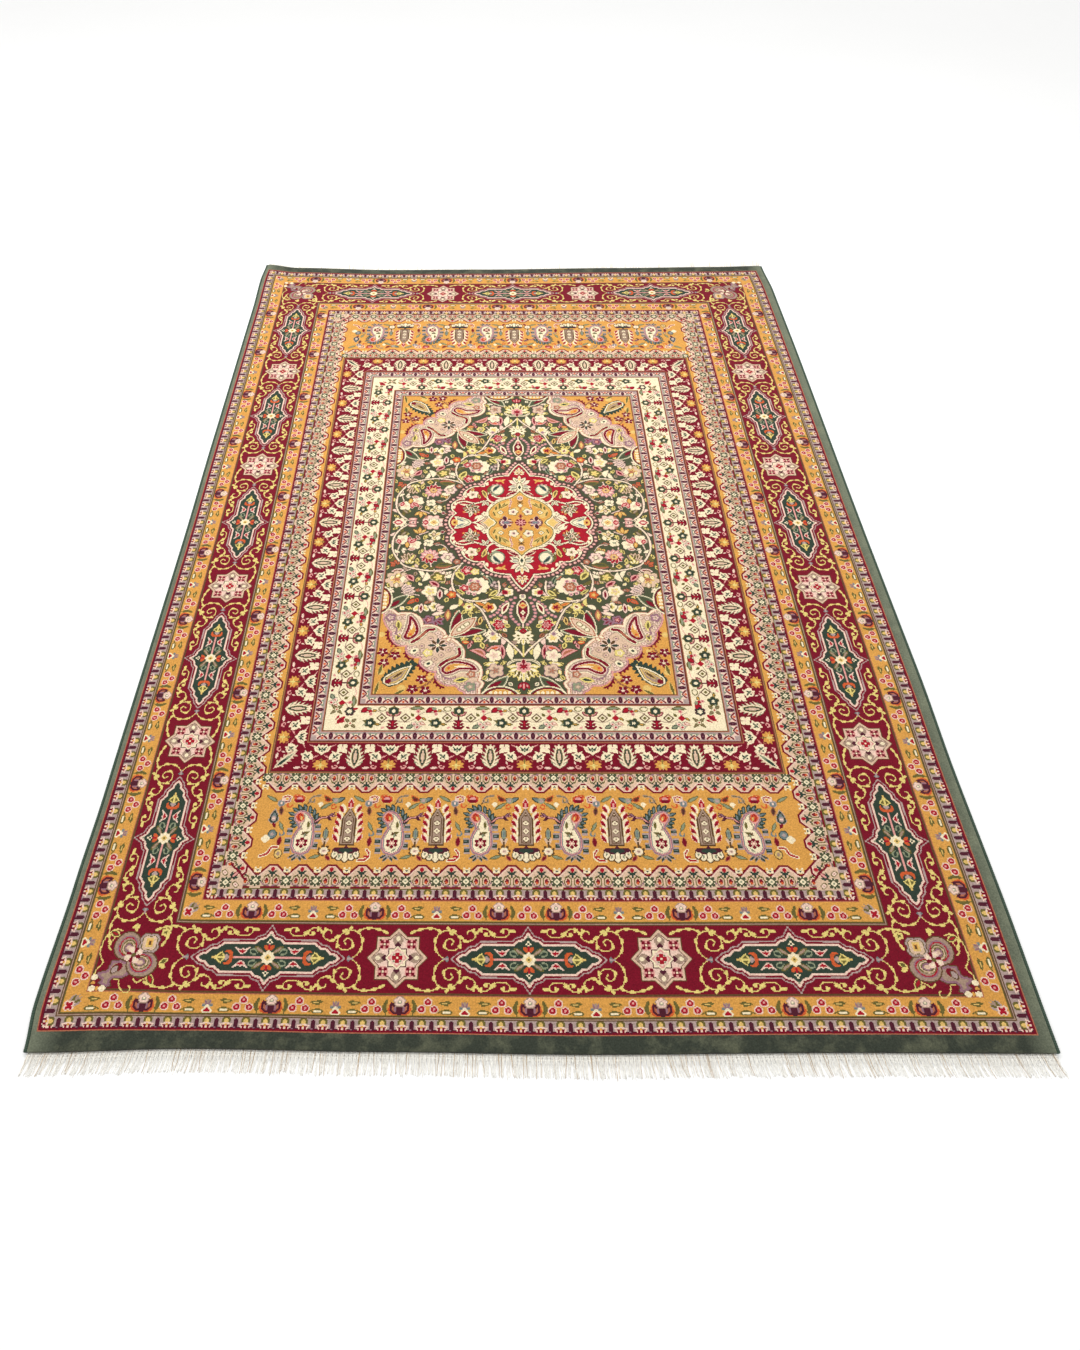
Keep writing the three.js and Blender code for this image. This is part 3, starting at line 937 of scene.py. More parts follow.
class CreamBand:
    """A cream band of fir leaves, lozenges and small flowers."""

    unit_ends: float = 75.0
    unit_sides: float = 68.6

    def fir_leaf(self) -> Cartoon:
        """A wine leaf in three tiers under a dark rosette with a white heart."""
        motif = Cartoon(10, 17)
        for low, wide in ((-14.2, 7.6), (-10.0, 6.6), (-5.8, 4.8)):
            for sign in (-1, 1):
                motif.leaf((0, low - 1.6), (sign * wide, low + 3.0), 3.4, BURGUNDY)
        motif.leaf((0, -16.6), (0, 0), 4.6, BURGUNDY, (-1.5, RED))
        motif.thread([(0, -3), (0, 3)], (0.6, MAROON))
        for sign in (-1, 1):
            motif.leaf((0, 1.6), (sign * 9.2, 8.8), 5.4, BURGUNDY, (-1.4, PINK))
        motif.rosette((0, 9.8), 7.0, 6, 1.7, OLIVE, (-1.1, BOTTLE), (-4.2, CREAM), turn=30)
        motif.leaf((0, 13), (0, 17), 2.2, OLIVE)
        return motif

    def lozenge(self) -> Cartoon:
        """An olive lozenge with a dot and two sprigs."""
        motif = Cartoon(8, 8)
        motif.patch([(0, 6.6), (6.8, 0), (0, -6.6), (-6.8, 0)], BROWN, (-1.7, CREAM))
        motif.dot(0, 0, 1.7, OLIVE)
        motif.thread([(0, 5), (1.2, 7)], (0.5, TAUPE))
        motif.thread([(0, -5), (-1.2, -7)], (0.5, TAUPE))
        return motif

    def dark_flower(self) -> Cartoon:
        """A dark green flower with a white heart, on its side, with an olive bud."""
        motif = Cartoon(12, 7)
        motif.leaf((2, -1.6), (11.6, -2.2), 3.6, OLIVE, (-1.2, GOLD))
        motif.rosette((-2.0, 0), 7.0, 5, 1.6, OLIVE, (-1.1, BOTTLE), (-4.4, CREAM))
        motif.leaf((-6, 1), (-10.6, 3.6), 2.4, OLIVE)
        motif.leaf((-6, -1), (-10.4, -3.4), 2.2, SAGE)
        return motif

    def unit(self) -> Cartoon:
        """One repeat of the band, with the fir leaf in its middle."""
        motif = Cartoon(38, 17)
        motif.curl([(-30, -6), (-22, -10), (-12.5, -6), (0, -3), (13, -6), (24, -2), (29, 4), (36, 8)],
                   (0.5, TAUPE))
        motif.curl([(0, 5), (8, 13), (17, 15), (26, 11), (29, 3)], (0.5, PINK))
        motif.curl([(-12, 5), (-20, 10), (-30, 7), (-36, 9)], (0.5, TAUPE))
        motif.stamp(self.lozenge(), -12.6, 0)
        motif.stamp(self.lozenge(), 13.6, 0)
        motif.stamp(self.fir_leaf(), 0, 0)
        motif.stamp(self.dark_flower(), -24.5, -7.4)
        motif.leaf((17.6, 12.2), (36, 12.4), 6.2, OLIVE, (-1.6, SAGE), bend=1.6)
        motif.leaf((-18.4, 12.2), (-7.6, 12.9), 7.8, OLIVE, (-1.4, CREAM))
        motif.leaf((-37.6, 7.0), (-29.4, 15.0), 7.3, CRIMSON, (-1.7, RED))
        motif.leaf((-30.2, 12.6), (-24.6, 7.2), 4.9, RED)
        motif.leaf((-24.4, 8.0), (-19.6, 12.0), 5.1, OLIVE, (-1.3, GOLD))
        motif.patch([(28.9, 4.4), (33.0, 0), (28.9, -4.4), (24.6, 0)], RED)
        motif.rosette((28.4, 9.2), 2.8, 4, 0.6, PINK, (-1.6, RED))
        motif.leaf((23.4, 1.6), (20.4, 6.8), 3.2, OLIVE)
        motif.leaf((33, 1.2), (37.8, -3.8), 3.5, OLIVE, (-1.0, GOLD))
        for x, y in ((24.6, -8.6), (32.0, -8.2), (28.2, -12.6)):
            motif.rosette((x, y), 4.0, 5, 0.9, SAGE, (-0.8, BLUSH), (-2.6, RED))
        motif.leaf((15.4, -14.4), (24.4, -10.0), 5.9, BOTTLE, (-1.4, SAGE))
        motif.leaf((31.0, -6.0), (37.6, -9.6), 4.6, TERRACOTTA, (-1.0, BLUSH))
        motif.leaf((-31.6, 12.6), (-25.0, 13.4), 3.5, SAGE)
        motif.dot(-26.0, 5.6, 2.2, PINK, (-1.2, BURGUNDY))
        motif.leaf((-8.6, -12.4), (-13.4, -14.6), 2.7, PINK)
        motif.leaf((8.6, -12.4), (13.6, -14.4), 2.7, BURGUNDY)
        return motif

    def corner(self) -> Cartoon:
        """The corner's diagonal leaf between two crossed leaf stars."""
        motif = Cartoon(20, 20)
        for x, y in ((-6.0, 12.0), (11.5, -7.5)):
            for dx, dy in ((-6.6, -6.6), (6.6, -6.6), (-6.6, 6.6), (6.6, 6.6)):
                motif.leaf((x, y), (x + dx, y + dy), 4.4, OLIVE, (-1.6, TAUPE))
            motif.dot(x, y, 2.4, CREAM, (-1.1, RED))
        motif.leaf((-4.5, -8.5), (5.0, 2.5), 6.0, RED, (-1.9, BURGUNDY))
        motif.leaf((-1, -6), (6, -5), 2.4, RED)
        motif.leaf((-5.5, -3), (-2, 4), 2.4, RED)
        motif.rosette((9.4, 9.0), 6.4, 6, 1.3, MAROON, (-1.4, BOTTLE), (-3.2, CREAM))
        motif.leaf((12.5, 12.0), (19, 13.0), 2.8, RED)
        return motif

    def draw(self, chart: Cartoon) -> None:
        """Draw the band on all four sides."""
        band_lines(chart, "cream", (TERRACOTTA, BROWN), CREAM)
        unit, corner = self.unit(), self.corner()
        across, along = MEASURES.across, MEASURES.along
        for side in Side:
            outer, inside, _ = runs(side, "cream", "lilac_fourth")
            ends = side % 2 == 0
            out = (outer - 2 + inside) / 2
            reach, pitch = (2, self.unit_ends) if ends else (4, self.unit_sides)
            for index in range(-reach, reach + 1):
                chart.stamp_on(side, unit, index * pitch, out)
        x = (across["cream"] - 2 + across["lilac_fourth"]) / 2
        y = (along["cream"] - 2 + along["lilac_fourth"]) / 2
        for quarters, (sign, other) in enumerate(((-1, -1), (1, -1), (1, 1), (-1, 1))):
            chart.stamp(corner, sign * x, other * y, quarters)


class PaisleyPanel:
    """The gold panels of the two ends: trees and paisleys that stand on the outer edge.

    The panel is the same on both sides of its middle tree.
    """

    tree_pitch: float = 93.0
    middle_depth: float = 466.0

    def tree(self) -> Cartoon:
        """A taupe spire with three rings, on a dark palmette, between red and cream leaves."""
        motif = Cartoon(17, 40)
        for x, y, lean in ((8.6, 25.6, 1.8), (10.6, 17.2, 2.2), (11.4, 8.6, 2.4), (11.8, 0.0, 2.4),
                           (11.8, -8.4, 2.4)):
            motif.leaf((x - 3.2, y - 6.0), (x + lean - 1.4, y + 5.4), 5.2, (0.5, STRAW), CREAM)
            motif.leaf((x - 1.8, y - 5.6), (x + lean + 1.2, y + 3.6), 4.2, (0.3, BLUSH), (-0.2, RED))
            motif.leaf((x - 1.2, y - 4.2), (x + lean, y + 0.6), 1.7, BURGUNDY)
        motif.patch([(0, 27), (3.2, 20.5), (6.9, 14.4), (7.2, -17), (-7.2, -17), (-6.9, 14.4), (-3.2, 20.5)],
                    (0.6, BROWN), (-0.6, TAUPE), (-2.2, BROWN), (-3.1, TAUPE))
        motif.patch([(0, 22.4), (1.8, 18.6), (0, 14.8), (-1.8, 18.6)], BROWN, (-0.9, BEIGE))
        for y in (8.2, -1.0, -10.2):
            motif.dot(0, y, 3.5, BROWN, (-0.8, CREAM), (-2.4, TAUPE))
        motif.patch([(0, 37.0), (2.5, 32), (2.6, 27.4), (0, 25.6), (-2.6, 27.4), (-2.5, 32)],
                    (0.9, BLUSH), RED)
        motif.thread([(0, 26), (0, 32)], (0.6, PINK))
        for x, y, wide in ((0, -31.5, 3.4), (6.0, -29.8, 3.3), (11.0, -27.4, 3.0)):
            motif.oval((x, y), (wide, 4.6), (0.8, BROWN), (-0.2, CREAM), (-2.0, SAGE),
                       turn=0 if x == 0 else 18)
        motif.patch([(0, -16.2), (1.5, -19.6), (5.8, -20.6), (12.0, -20.4), (14.2, -23.2), (9.8, -24.8),
                     (5, -26.8), (0, -27.2)], (0.3, MAROON))
        motif.oval((2, -23.2), (5.6, 2.5), BOTTLE)
        motif.patch([(-1, -24.5), (1.7, -26.0), (1.0, -33), (-1, -34)], CREAM)
        motif.mirror_across()
        return motif

    def paisley(self) -> Cartoon:
        """A cream paisley with its orange head curled to the right, under a dark feather crest."""
        motif = Cartoon(47, 42)
        for root, tip in (((-11, 5), (-15.5, 16.5)), ((-10.5, 9), (-13.2, 20.5)), ((-9, 14), (-8.6, 26)),
                          ((-5, 18), (-3.2, 29)), ((-0.5, 21), (3.0, 31.0)), ((3.5, 22), (9.6, 29.6)),
                          ((7, 21), (15.2, 25.6)), ((10, 17), (19.2, 20.2)), ((10.5, 13), (18.6, 13.0)),
                          ((9, 9), (16.4, 8.2)), ((6, 6), (14.4, 3.4))):
            motif.leaf(root, tip, 4.4, (0.2, BOTTLE), (-1.2, SLATE))
        for x, y in ((-15.4, 3.6), (-15.6, -6.8), (-14.2, -17.6), (14.2, -1.4), (14.8, -12.6), (13.6, -22.6)):
            motif.block((x - 3.0, y - 4.6), (x + 3.0, y + 3.4), LILAC)
            motif.block((x - 3.0, y - 2.0), (x + 3.0, y + 1.8), BOTTLE)
            motif.block((x - 1.2, y - 0.8), (x + 2.0, y + 0.8), SLATE)
        motif.curl([(-11, 9), (-16.6, 13.6), (-23, 15.0), (-30.5, 16.8)], (1.5, MAROON), (0.6, PINK))
        motif.leaf((-24, 15.4), (-31.4, 20.6), 3.4, MAROON, (-1.0, MAUVE))
        motif.leaf((-22, 14.4), (-29.2, 11.2), 2.6, MAROON)
        body = [(5.8, 22.2), (11.1, 17.4), (10.3, 11.6), (6.3, 6.8), (4.9, 1.9), (8.2, -3.8), (10.8, -11.6),
                (10.2, -20.2), (6.7, -26.0), (-1.0, -28.4), (-7.7, -25.0), (-11.3, -17.3), (-11.7, -6.8),
                (-10.3, 3.0), (-7.7, 12.6), (-2.9, 19.2), (1.9, 21.6)]
        motif.patch(body, (1.3, LILAC), (0.6, MAUVE), (-0.6, PINK), (-1.5, SLATE), (-2.3, CREAM))
        motif.oval((5.4, 14.6), (5.2, 6.4), PINK, (-1.1, ORANGE), turn=-14)
        motif.curl([(4.2, 10.6), (6.8, 12.8), (7.4, 16.6), (5.4, 18.4), (3.8, 16.4)], (0.7, RED))
        motif.leaf((3.6, 11.0), (4.6, 16.6), 1.8, STRAW)
        motif.curl([(1.2, 17.4), (0.6, 11), (2.4, 5.6), (2.0, 0.6)], (0.7, TAUPE))
        motif.leaf((-4.6, 1.0), (-4.2, 10.0), 3.2, OLIVE)
        motif.leaf((-6.8, -2.4), (2.0, -5.4), 3.6, OLIVE)
        motif.leaf((1.8, -2.6), (-4.6, -6.6), 3.4, BROWN)
        motif.leaf((-2.4, -4.0), (-1.4, -9.0), 2.2, SAGE)
        for step in range(6):
            angle = math.tau * (step + 0.5) / 6
            motif.dot(4.6 * math.cos(angle), -14.9 + 4.2 * math.sin(angle), 2.0, BURGUNDY)
        motif.dot(0, -14.9, 2.4, PINK, (-1.0, CREAM))
        motif.leaf((-4.8, -20.4), (0.4, -24.8), 2.0, SAGE)
        for root, tip in (((2, -28), (5.2, -33.2)), ((1, -29), (-1.6, -35.6)), ((3, -29), (8.4, -36.0)),
                          ((4, -28), (12.6, -32.4)), ((-1, -29), (-7.6, -33.6))):
            motif.leaf(root, tip, 3.6, LILAC, (-0.6, BOTTLE))
        return motif

    def inner_row(self, motif: Cartoon) -> None:
        """Draw the row of flowers over a paisley's crest."""
        motif.leaf((-40.4, 38.8), (-29.4, 32.6), 6.2, BOTTLE, (-1.3, SLATE))
        motif.leaf((-34.4, 32.4), (-25.2, 37.4), 5.4, UMBER, (-1.0, SAGE))
        motif.dot(-30.2, 34.8, 3.6, SAGE, (-1.4, LILAC))
        motif.patch([(-25.4, 34.6), (-24.0, 37.8), (-17.6, 41.2), (-18.4, 34.6), (-22.0, 33.0)],
                    (0.5, ORANGE), (-0.4, BROWN), (-1.6, BURGUNDY))
        motif.leaf((-27.4, 32.6), (-13.6, 23.6), 4.6, OLIVE, (-0.9, SAGE))
        motif.rosette((-14.4, 30.2), 3.0, 4, 0.6, CREAM)
        motif.curl([(-30.2, 29.6), (-27.2, 29.4), (-26.6, 26.0), (-29.6, 25.0), (-31.0, 27.0)],
                   (0.85, ORANGE))
        motif.curl([(-13.0, 40.6), (-7.4, 40.0), (-3.4, 37.4), (-2.8, 33.4), (-6.4, 33.0), (-6.8, 36.0)],
                   (1.2, TAUPE), (0.4, OLIVE))
        motif.curl([(-2.4, 33.4), (-0.8, 31.2), (0.4, 29.2)], (0.6, BROWN))
        motif.oval((9.0, 36.4), (6.2, 4.8), (0.7, STRAW), RED, (-2.2, PINK))
        motif.leaf((4.8, 34.4), (13.4, 34.0), 4.0, BURGUNDY)
        motif.curl([(8.0, 39.8), (12.6, 41.6), (15.6, 39.2), (13.0, 37.2)], (0.9, ORANGE))
        motif.leaf((3.4, 35), (6.2, 40.6), 2.6, ORANGE)
        motif.curl([(18.6, 38.2), (22.4, 39.8), (26.2, 38.4)], (1.8, CREAM), (0.8, RED))
        motif.curl([(19.4, 37.0), (19.8, 34.0), (23.6, 33.0)], (1.7, BLUSH), (0.7, BURGUNDY))
        motif.dot(28.0, 31.2, 4.4, LILAC, (-1.3, SLATE), (-3.0, BLUSH))
        motif.dot(26.2, 35.8, 2.2, BLUSH)
        motif.leaf((27.4, 28.4), (26.2, 16.4), 5.4, TERRACOTTA, (-0.8, BROWN), (-2.0, MAROON))
        motif.leaf((31.6, 33.0), (45.4, 40.6), 4.8, OLIVE, (-1.0, SAGE))
        motif.curl([(15.6, 29.0), (18.4, 26.4), (21.4, 28.4), (20.6, 31.0)], (0.9, ORANGE))

    def sprigs(self, motif: Cartoon, at_end: bool) -> None:
        """Draw the upright sprigs on both sides of a paisley.

        Args:
            motif: The paisley's motif.
            at_end: Whether it is the outermost one, which has a taller stack beside it.
        """
        motif.leaf((-24.0, -12.4), (-24.0, 3.4), 6.6, UMBER, (-0.9, SAGE), (-2.0, SLATE))
        motif.thread([(-27.0, -9.6), (-24.0, -16.8), (-21.0, -9.6)], (1.2, BEIGE))
        motif.thread([(-24.0, -14), (-24.0, -18)], (0.8, BROWN))
        for step in range(7):
            angle = math.tau * step / 7 + 0.4
            motif.dot(-24.4 + 5.4 * math.cos(angle), -23.8 + 5.0 * math.sin(angle), 1.7, BROWN)
        motif.dot(-24.4, -23.8, 4.3, CREAM, (-2.0, BLUSH), (-3.1, TAUPE))
        motif.leaf((-22.0, -28.6), (-9.4, -32.6), 4.6, OLIVE, (-0.9, SAGE))
        motif.leaf((-26.0, -28.4), (-31.6, -34.8), 4.6, TERRACOTTA, (-0.8, BURGUNDY))
        motif.leaf((21.4, -2.0), (27.2, 10.6), 4.6, OLIVE, (-0.9, SAGE))
        motif.curl([(20.6, -1.6), (20.4, -5.4), (23.4, -6.6), (24.6, -4.0)], (0.9, SLATE))
        motif.leaf((23.2, -7.0), (23.8, -19.6), 5.6, TERRACOTTA, (-0.7, BURGUNDY))
        if not at_end:
            motif.curl([(25.6, -22.6), (22.6, -26.4), (23.2, -30.8), (27.6, -34.0), (33.0, -34.4)],
                       (1.9, CREAM), (0.9, RED))
            motif.leaf((23.6, -29.6), (28.6, -30.4), 3.0, RED)
            return
        motif.patch([(33.4, 24.0), (37.4, 17.4), (38.2, 10.4), (33.4, 6.4), (28.6, 10.4), (29.4, 17.4)],
                    (0.6, LILAC), (-0.2, BOTTLE), (-1.9, SLATE))
        motif.dot(33.4, 13.0, 2.9, LILAC, (-1.4, BLUSH))
        motif.leaf((33.4, 8.0), (30.0, 2.4), 3.8, BURGUNDY)
        motif.oval((32.2, -5.4), (5.0, 5.6), BOTTLE, (-1.0, SLATE), (-3.2, LILAC))
        motif.rosette((38.4, -10.6), 4.4, 4, 0.9, CREAM)
        motif.curl([(25.0, -19.8), (30.4, -20.6), (32.4, -24.6), (35.4, -28.0), (41.0, -30.2)],
                   (2.0, CREAM), (1.0, RED))
        motif.oval((22.8, -27.4), (4.4, 5.4), BROWN, (-0.9, STRAW), (-2.6, TAUPE))

    def interval(self, at_end: bool) -> Cartoon:
        """Everything between one tree and the next one out, on the right half."""
        motif = self.paisley()
        self.inner_row(motif)
        self.sprigs(motif, at_end)
        return motif

    def draw(self, chart: Cartoon) -> None:
        """Draw both panels."""
        tree = self.tree()
        intervals = (self.interval(False), self.interval(False), self.interval(True))
        for side in (Side.NEAR, Side.FAR):
            for index, motif in enumerate(intervals):
                place = (index + 0.5) * self.tree_pitch
                chart.stamp_on(side, motif, place, self.middle_depth)
                chart.stamp_on(side, motif, -place, self.middle_depth, flip=True)
            for index in range(-2, 3):
                chart.stamp_on(side, tree, index * self.tree_pitch, self.middle_depth)


# Where the cloud band meets the field and the corner, from the side edge to the end edge.
CLOUD_FIELD_EDGE = (
    [(180, 152), (171, 154), (165, 158.4), (160.2, 161.6), (155, 166.4)],
    [(155, 166.4), (148, 165.4), (139.7, 165.6), (132.5, 168.7), (126.3, 174.8), (124.3, 181),
     (123.8, 186.7)],
    [(123.8, 186.7), (118, 185.4), (109, 186.2), (101.7, 190.3), (96.6, 195.4), (94.5, 200.6),
     (91.5, 203.7)],
    [(91.5, 203.7), (85.3, 207.6), (80.2, 212), (75, 218.6), (71.5, 227), (72, 235.6), (73, 239)],
    [(73, 239), (65, 239.4), (57.6, 242.8), (51.4, 250), (50, 260), (52, 270)],
    [(52, 270), (48, 274), (49.4, 279), (52, 284), (50, 300)],
)
CLOUD_CORNER_EDGE = (
    [(182, 158), (173, 164.5), (171.5, 176), (168.4, 184), (164.3, 191), (160.7, 196.5)],
    [(160.7, 196.5), (160, 204.7), (157, 211), (152, 216), (146, 218), (141, 218)],
    [(141, 218), (140.6, 224.3), (137.6, 230.5), (131.5, 235), (126, 236.2), (122.2, 235.6)],
    [(122.2, 235.6), (123, 243.8), (120.2, 249), (114, 255), (108, 257.4), (103.3, 256.7)],
    [(103.3, 256.7), (103.8, 262.4), (101.7, 268.6), (95.6, 274.7), (88.4, 277.8), (80.2, 277.6)],
    [(80.2, 277.6), (77, 281), (74, 285), (69, 288), (66, 300)],
)
# The lobes of the medallion from the side axis to its tip, and the edge of its gold heart.
MEDALLION_LOBES = (
    [(91.3, -13.8), (95.4, -6.5), (96.4, 0), (95.4, 6.5), (91.5, 14), (87.2, 19)],
    [(87.2, 19), (92.3, 25), (93.6, 31), (93, 37), (88.2, 43.9), (82, 47.2), (76.9, 47.8)],
    [(76.9, 47.8), (77.6, 56), (73.8, 66.3), (64.6, 73.5), (56, 75.2), (49.2, 74.6)],
    [(49.2, 74.6), (47.2, 84.9), (40, 92.3), (29.7, 96), (22, 97.2), (15.4, 97.2)],
    [(15.4, 97.2), (11.3, 106.5), (6.2, 115.6), (0, 124)],
)
GOLD_EDGE = [(32.4, 0), (35.5, 5.5), (40.2, 9.6), (42.8, 16), (42.2, 24), (36.8, 33.6), (27, 43), (18, 47.6),
             (10.6, 51.6), (5, 57), (0, 64)]


def joined(spans: tuple[list[Point], ...]) -> list[Point]:
    """One line of several smooth spans that meet at sharp corners."""
    return [point for span in spans for point in smooth_line(span, 4)]


class Quarter(Cartoon):
    """A quarter of the field with its places measured from the rug's middle.

    It holds the stock flowers and leaves that the field's parts lay out.
    """

    stretch: float = 1.012
    fullness: float = 1.2

    def __init__(self, width: int, height: int, ground: int) -> None:
        """Make the quarter.

        Args:
            width: How far it reaches from the long axis, in knots.
            height: How far it reaches from the short axis, in knots.
            ground: Its ground wool.
        """
        super().__init__(width / 2, height / 2, ground)
        self.x = (self.x + width / 2) / self.stretch
        self.y = self.y + height / 2

    def lay_in_four(self, chart: Cartoon) -> None:
        """Lay the quarter on the chart's four quarters, mirrored."""
        rows, columns = self.knots.shape
        top, left = chart.knots.shape[0] // 2, chart.knots.shape[1] // 2
        half = np.concatenate([self.knots[:, ::-1], self.knots], axis=1)
        whole = np.concatenate([half[::-1], half])
        there = chart.knots[top - rows:top + rows, left - columns:left + columns]
        there[whole != BARE] = whole[whole != BARE]

    def vine(self, points: list[Point], thick: float = 1.05, wool: Wool = CREAM) -> None:
        """Paint a pale stem with a dark rim."""
        self.curl(points, (thick + 0.9, UMBER), (thick, BLUSH), (thick - 0.5, wool))

    def sprout(self, line: list[Point], pitch: float, reach: float, wools: tuple[Wool, ...]) -> None:
        """Paint small leaves that leave a stem by turns to its two sides, at even steps."""
        path = np.array(smooth_line(line))
        length = np.concatenate([[0.0], np.cumsum(np.hypot(*np.diff(path, axis=0).T))])
        for number, stop in enumerate(np.arange(pitch / 2, length[-1] - reach, pitch)):
            x, y = (np.interp([stop, stop + 0.9 * reach], length, path[:, axis]) for axis in (0, 1))
            out = (1 if number % 2 else -1) * (0.75 + 0.35 * (number % 3))
            tip = (float(x[1] + out * (y[1] - y[0])), float(y[1] - out * (x[1] - x[0])))
            wool = wools[number % len(wools)]
            self.leaf((float(x[0]), float(y[0])), tip, 0.5 * reach, (0.7, UMBER), (0, wool),
                      bend=0.16 * reach * out)

    def bloom(self, at: Point, radius: float, petals: int, petal: Wool, ring: Wool, heart: Wool,
              rim: Wool = UMBER, turn: float = 0.0) -> None:
        """Paint a round flower seen from the front: rim, petals, ring and heart."""
        wide = radius * self.fullness
        self.rosette(at, wide, petals, wide * 0.3, (0.9, rim), (0, petal), (-0.42 * wide, ring),
                     (-0.64 * wide, heart), turn=turn)

    def bud(self, root: Point, tip: Point, width: float, petal: Wool, core: Wool,
            rim: Wool = UMBER, bend: float = 0.0) -> None:
        """Paint a leaf or bud in three layers: rim, petal and core."""
        wide = width * self.fullness
        self.leaf(root, tip, wide, (0.8, rim), (0, petal), (-0.27 * wide, core), bend=bend)

    def fan(self, root: Point, tip: Point, width: float, petal: Wool, core: Wool,
            rim: Wool = UMBER, count: int = 5, spread: float = 130.0) -> None:
        """Paint a flower seen from the side: leaves that open from its root.

        Args:
            root: Where the flower stands.
            tip: Where its middle petal ends.
            width: The width of each petal.
            petal: The petals' wool.
            core: The wool of their hearts.
            rim: The wool around them.
            count: How many petals.
            spread: The angle between the outermost ones.
        """
        rib = np.subtract(tip, root)
        turns = sorted(np.linspace(-spread / 2, spread / 2, count), key=lambda turn: -abs(turn))
        for turn in turns:
            angle = math.radians(float(turn))
            reach = 0.72 + 0.28 * math.cos(angle)
            end = (root[0] + reach * (rib[0] * math.cos(angle) - rib[1] * math.sin(angle)),
                   root[1] + reach * (rib[0] * math.sin(angle) + rib[1] * math.cos(angle)))
            self.bud(root, end, width, petal, core, rim)

    def beads(self, line: list[Point], pitch: float, push: float, radius: float, *layers: Layer) -> None:
        """Paint dots beside a line, at even steps of its length."""
        path = np.array(line)
        steps = np.hypot(*np.diff(path, axis=0).T)
        length = np.concatenate([[0.0], np.cumsum(steps)])
        stops = np.arange(pitch / 2, length[-1], pitch)
        x, y = np.interp(stops, length, path[:, 0]), np.interp(stops, length, path[:, 1])
        dx = np.interp(stops + 0.8, length, path[:, 0]) - np.interp(stops - 0.8, length, path[:, 0])
        dy = np.interp(stops + 0.8, length, path[:, 1]) - np.interp(stops - 0.8, length, path[:, 1])
        run = np.maximum(np.hypot(dx, dy), 1e-6)
        for px, py in zip(x + push * dy / run, y - push * dx / run):
            self.dot(float(px), float(py), radius, *layers)


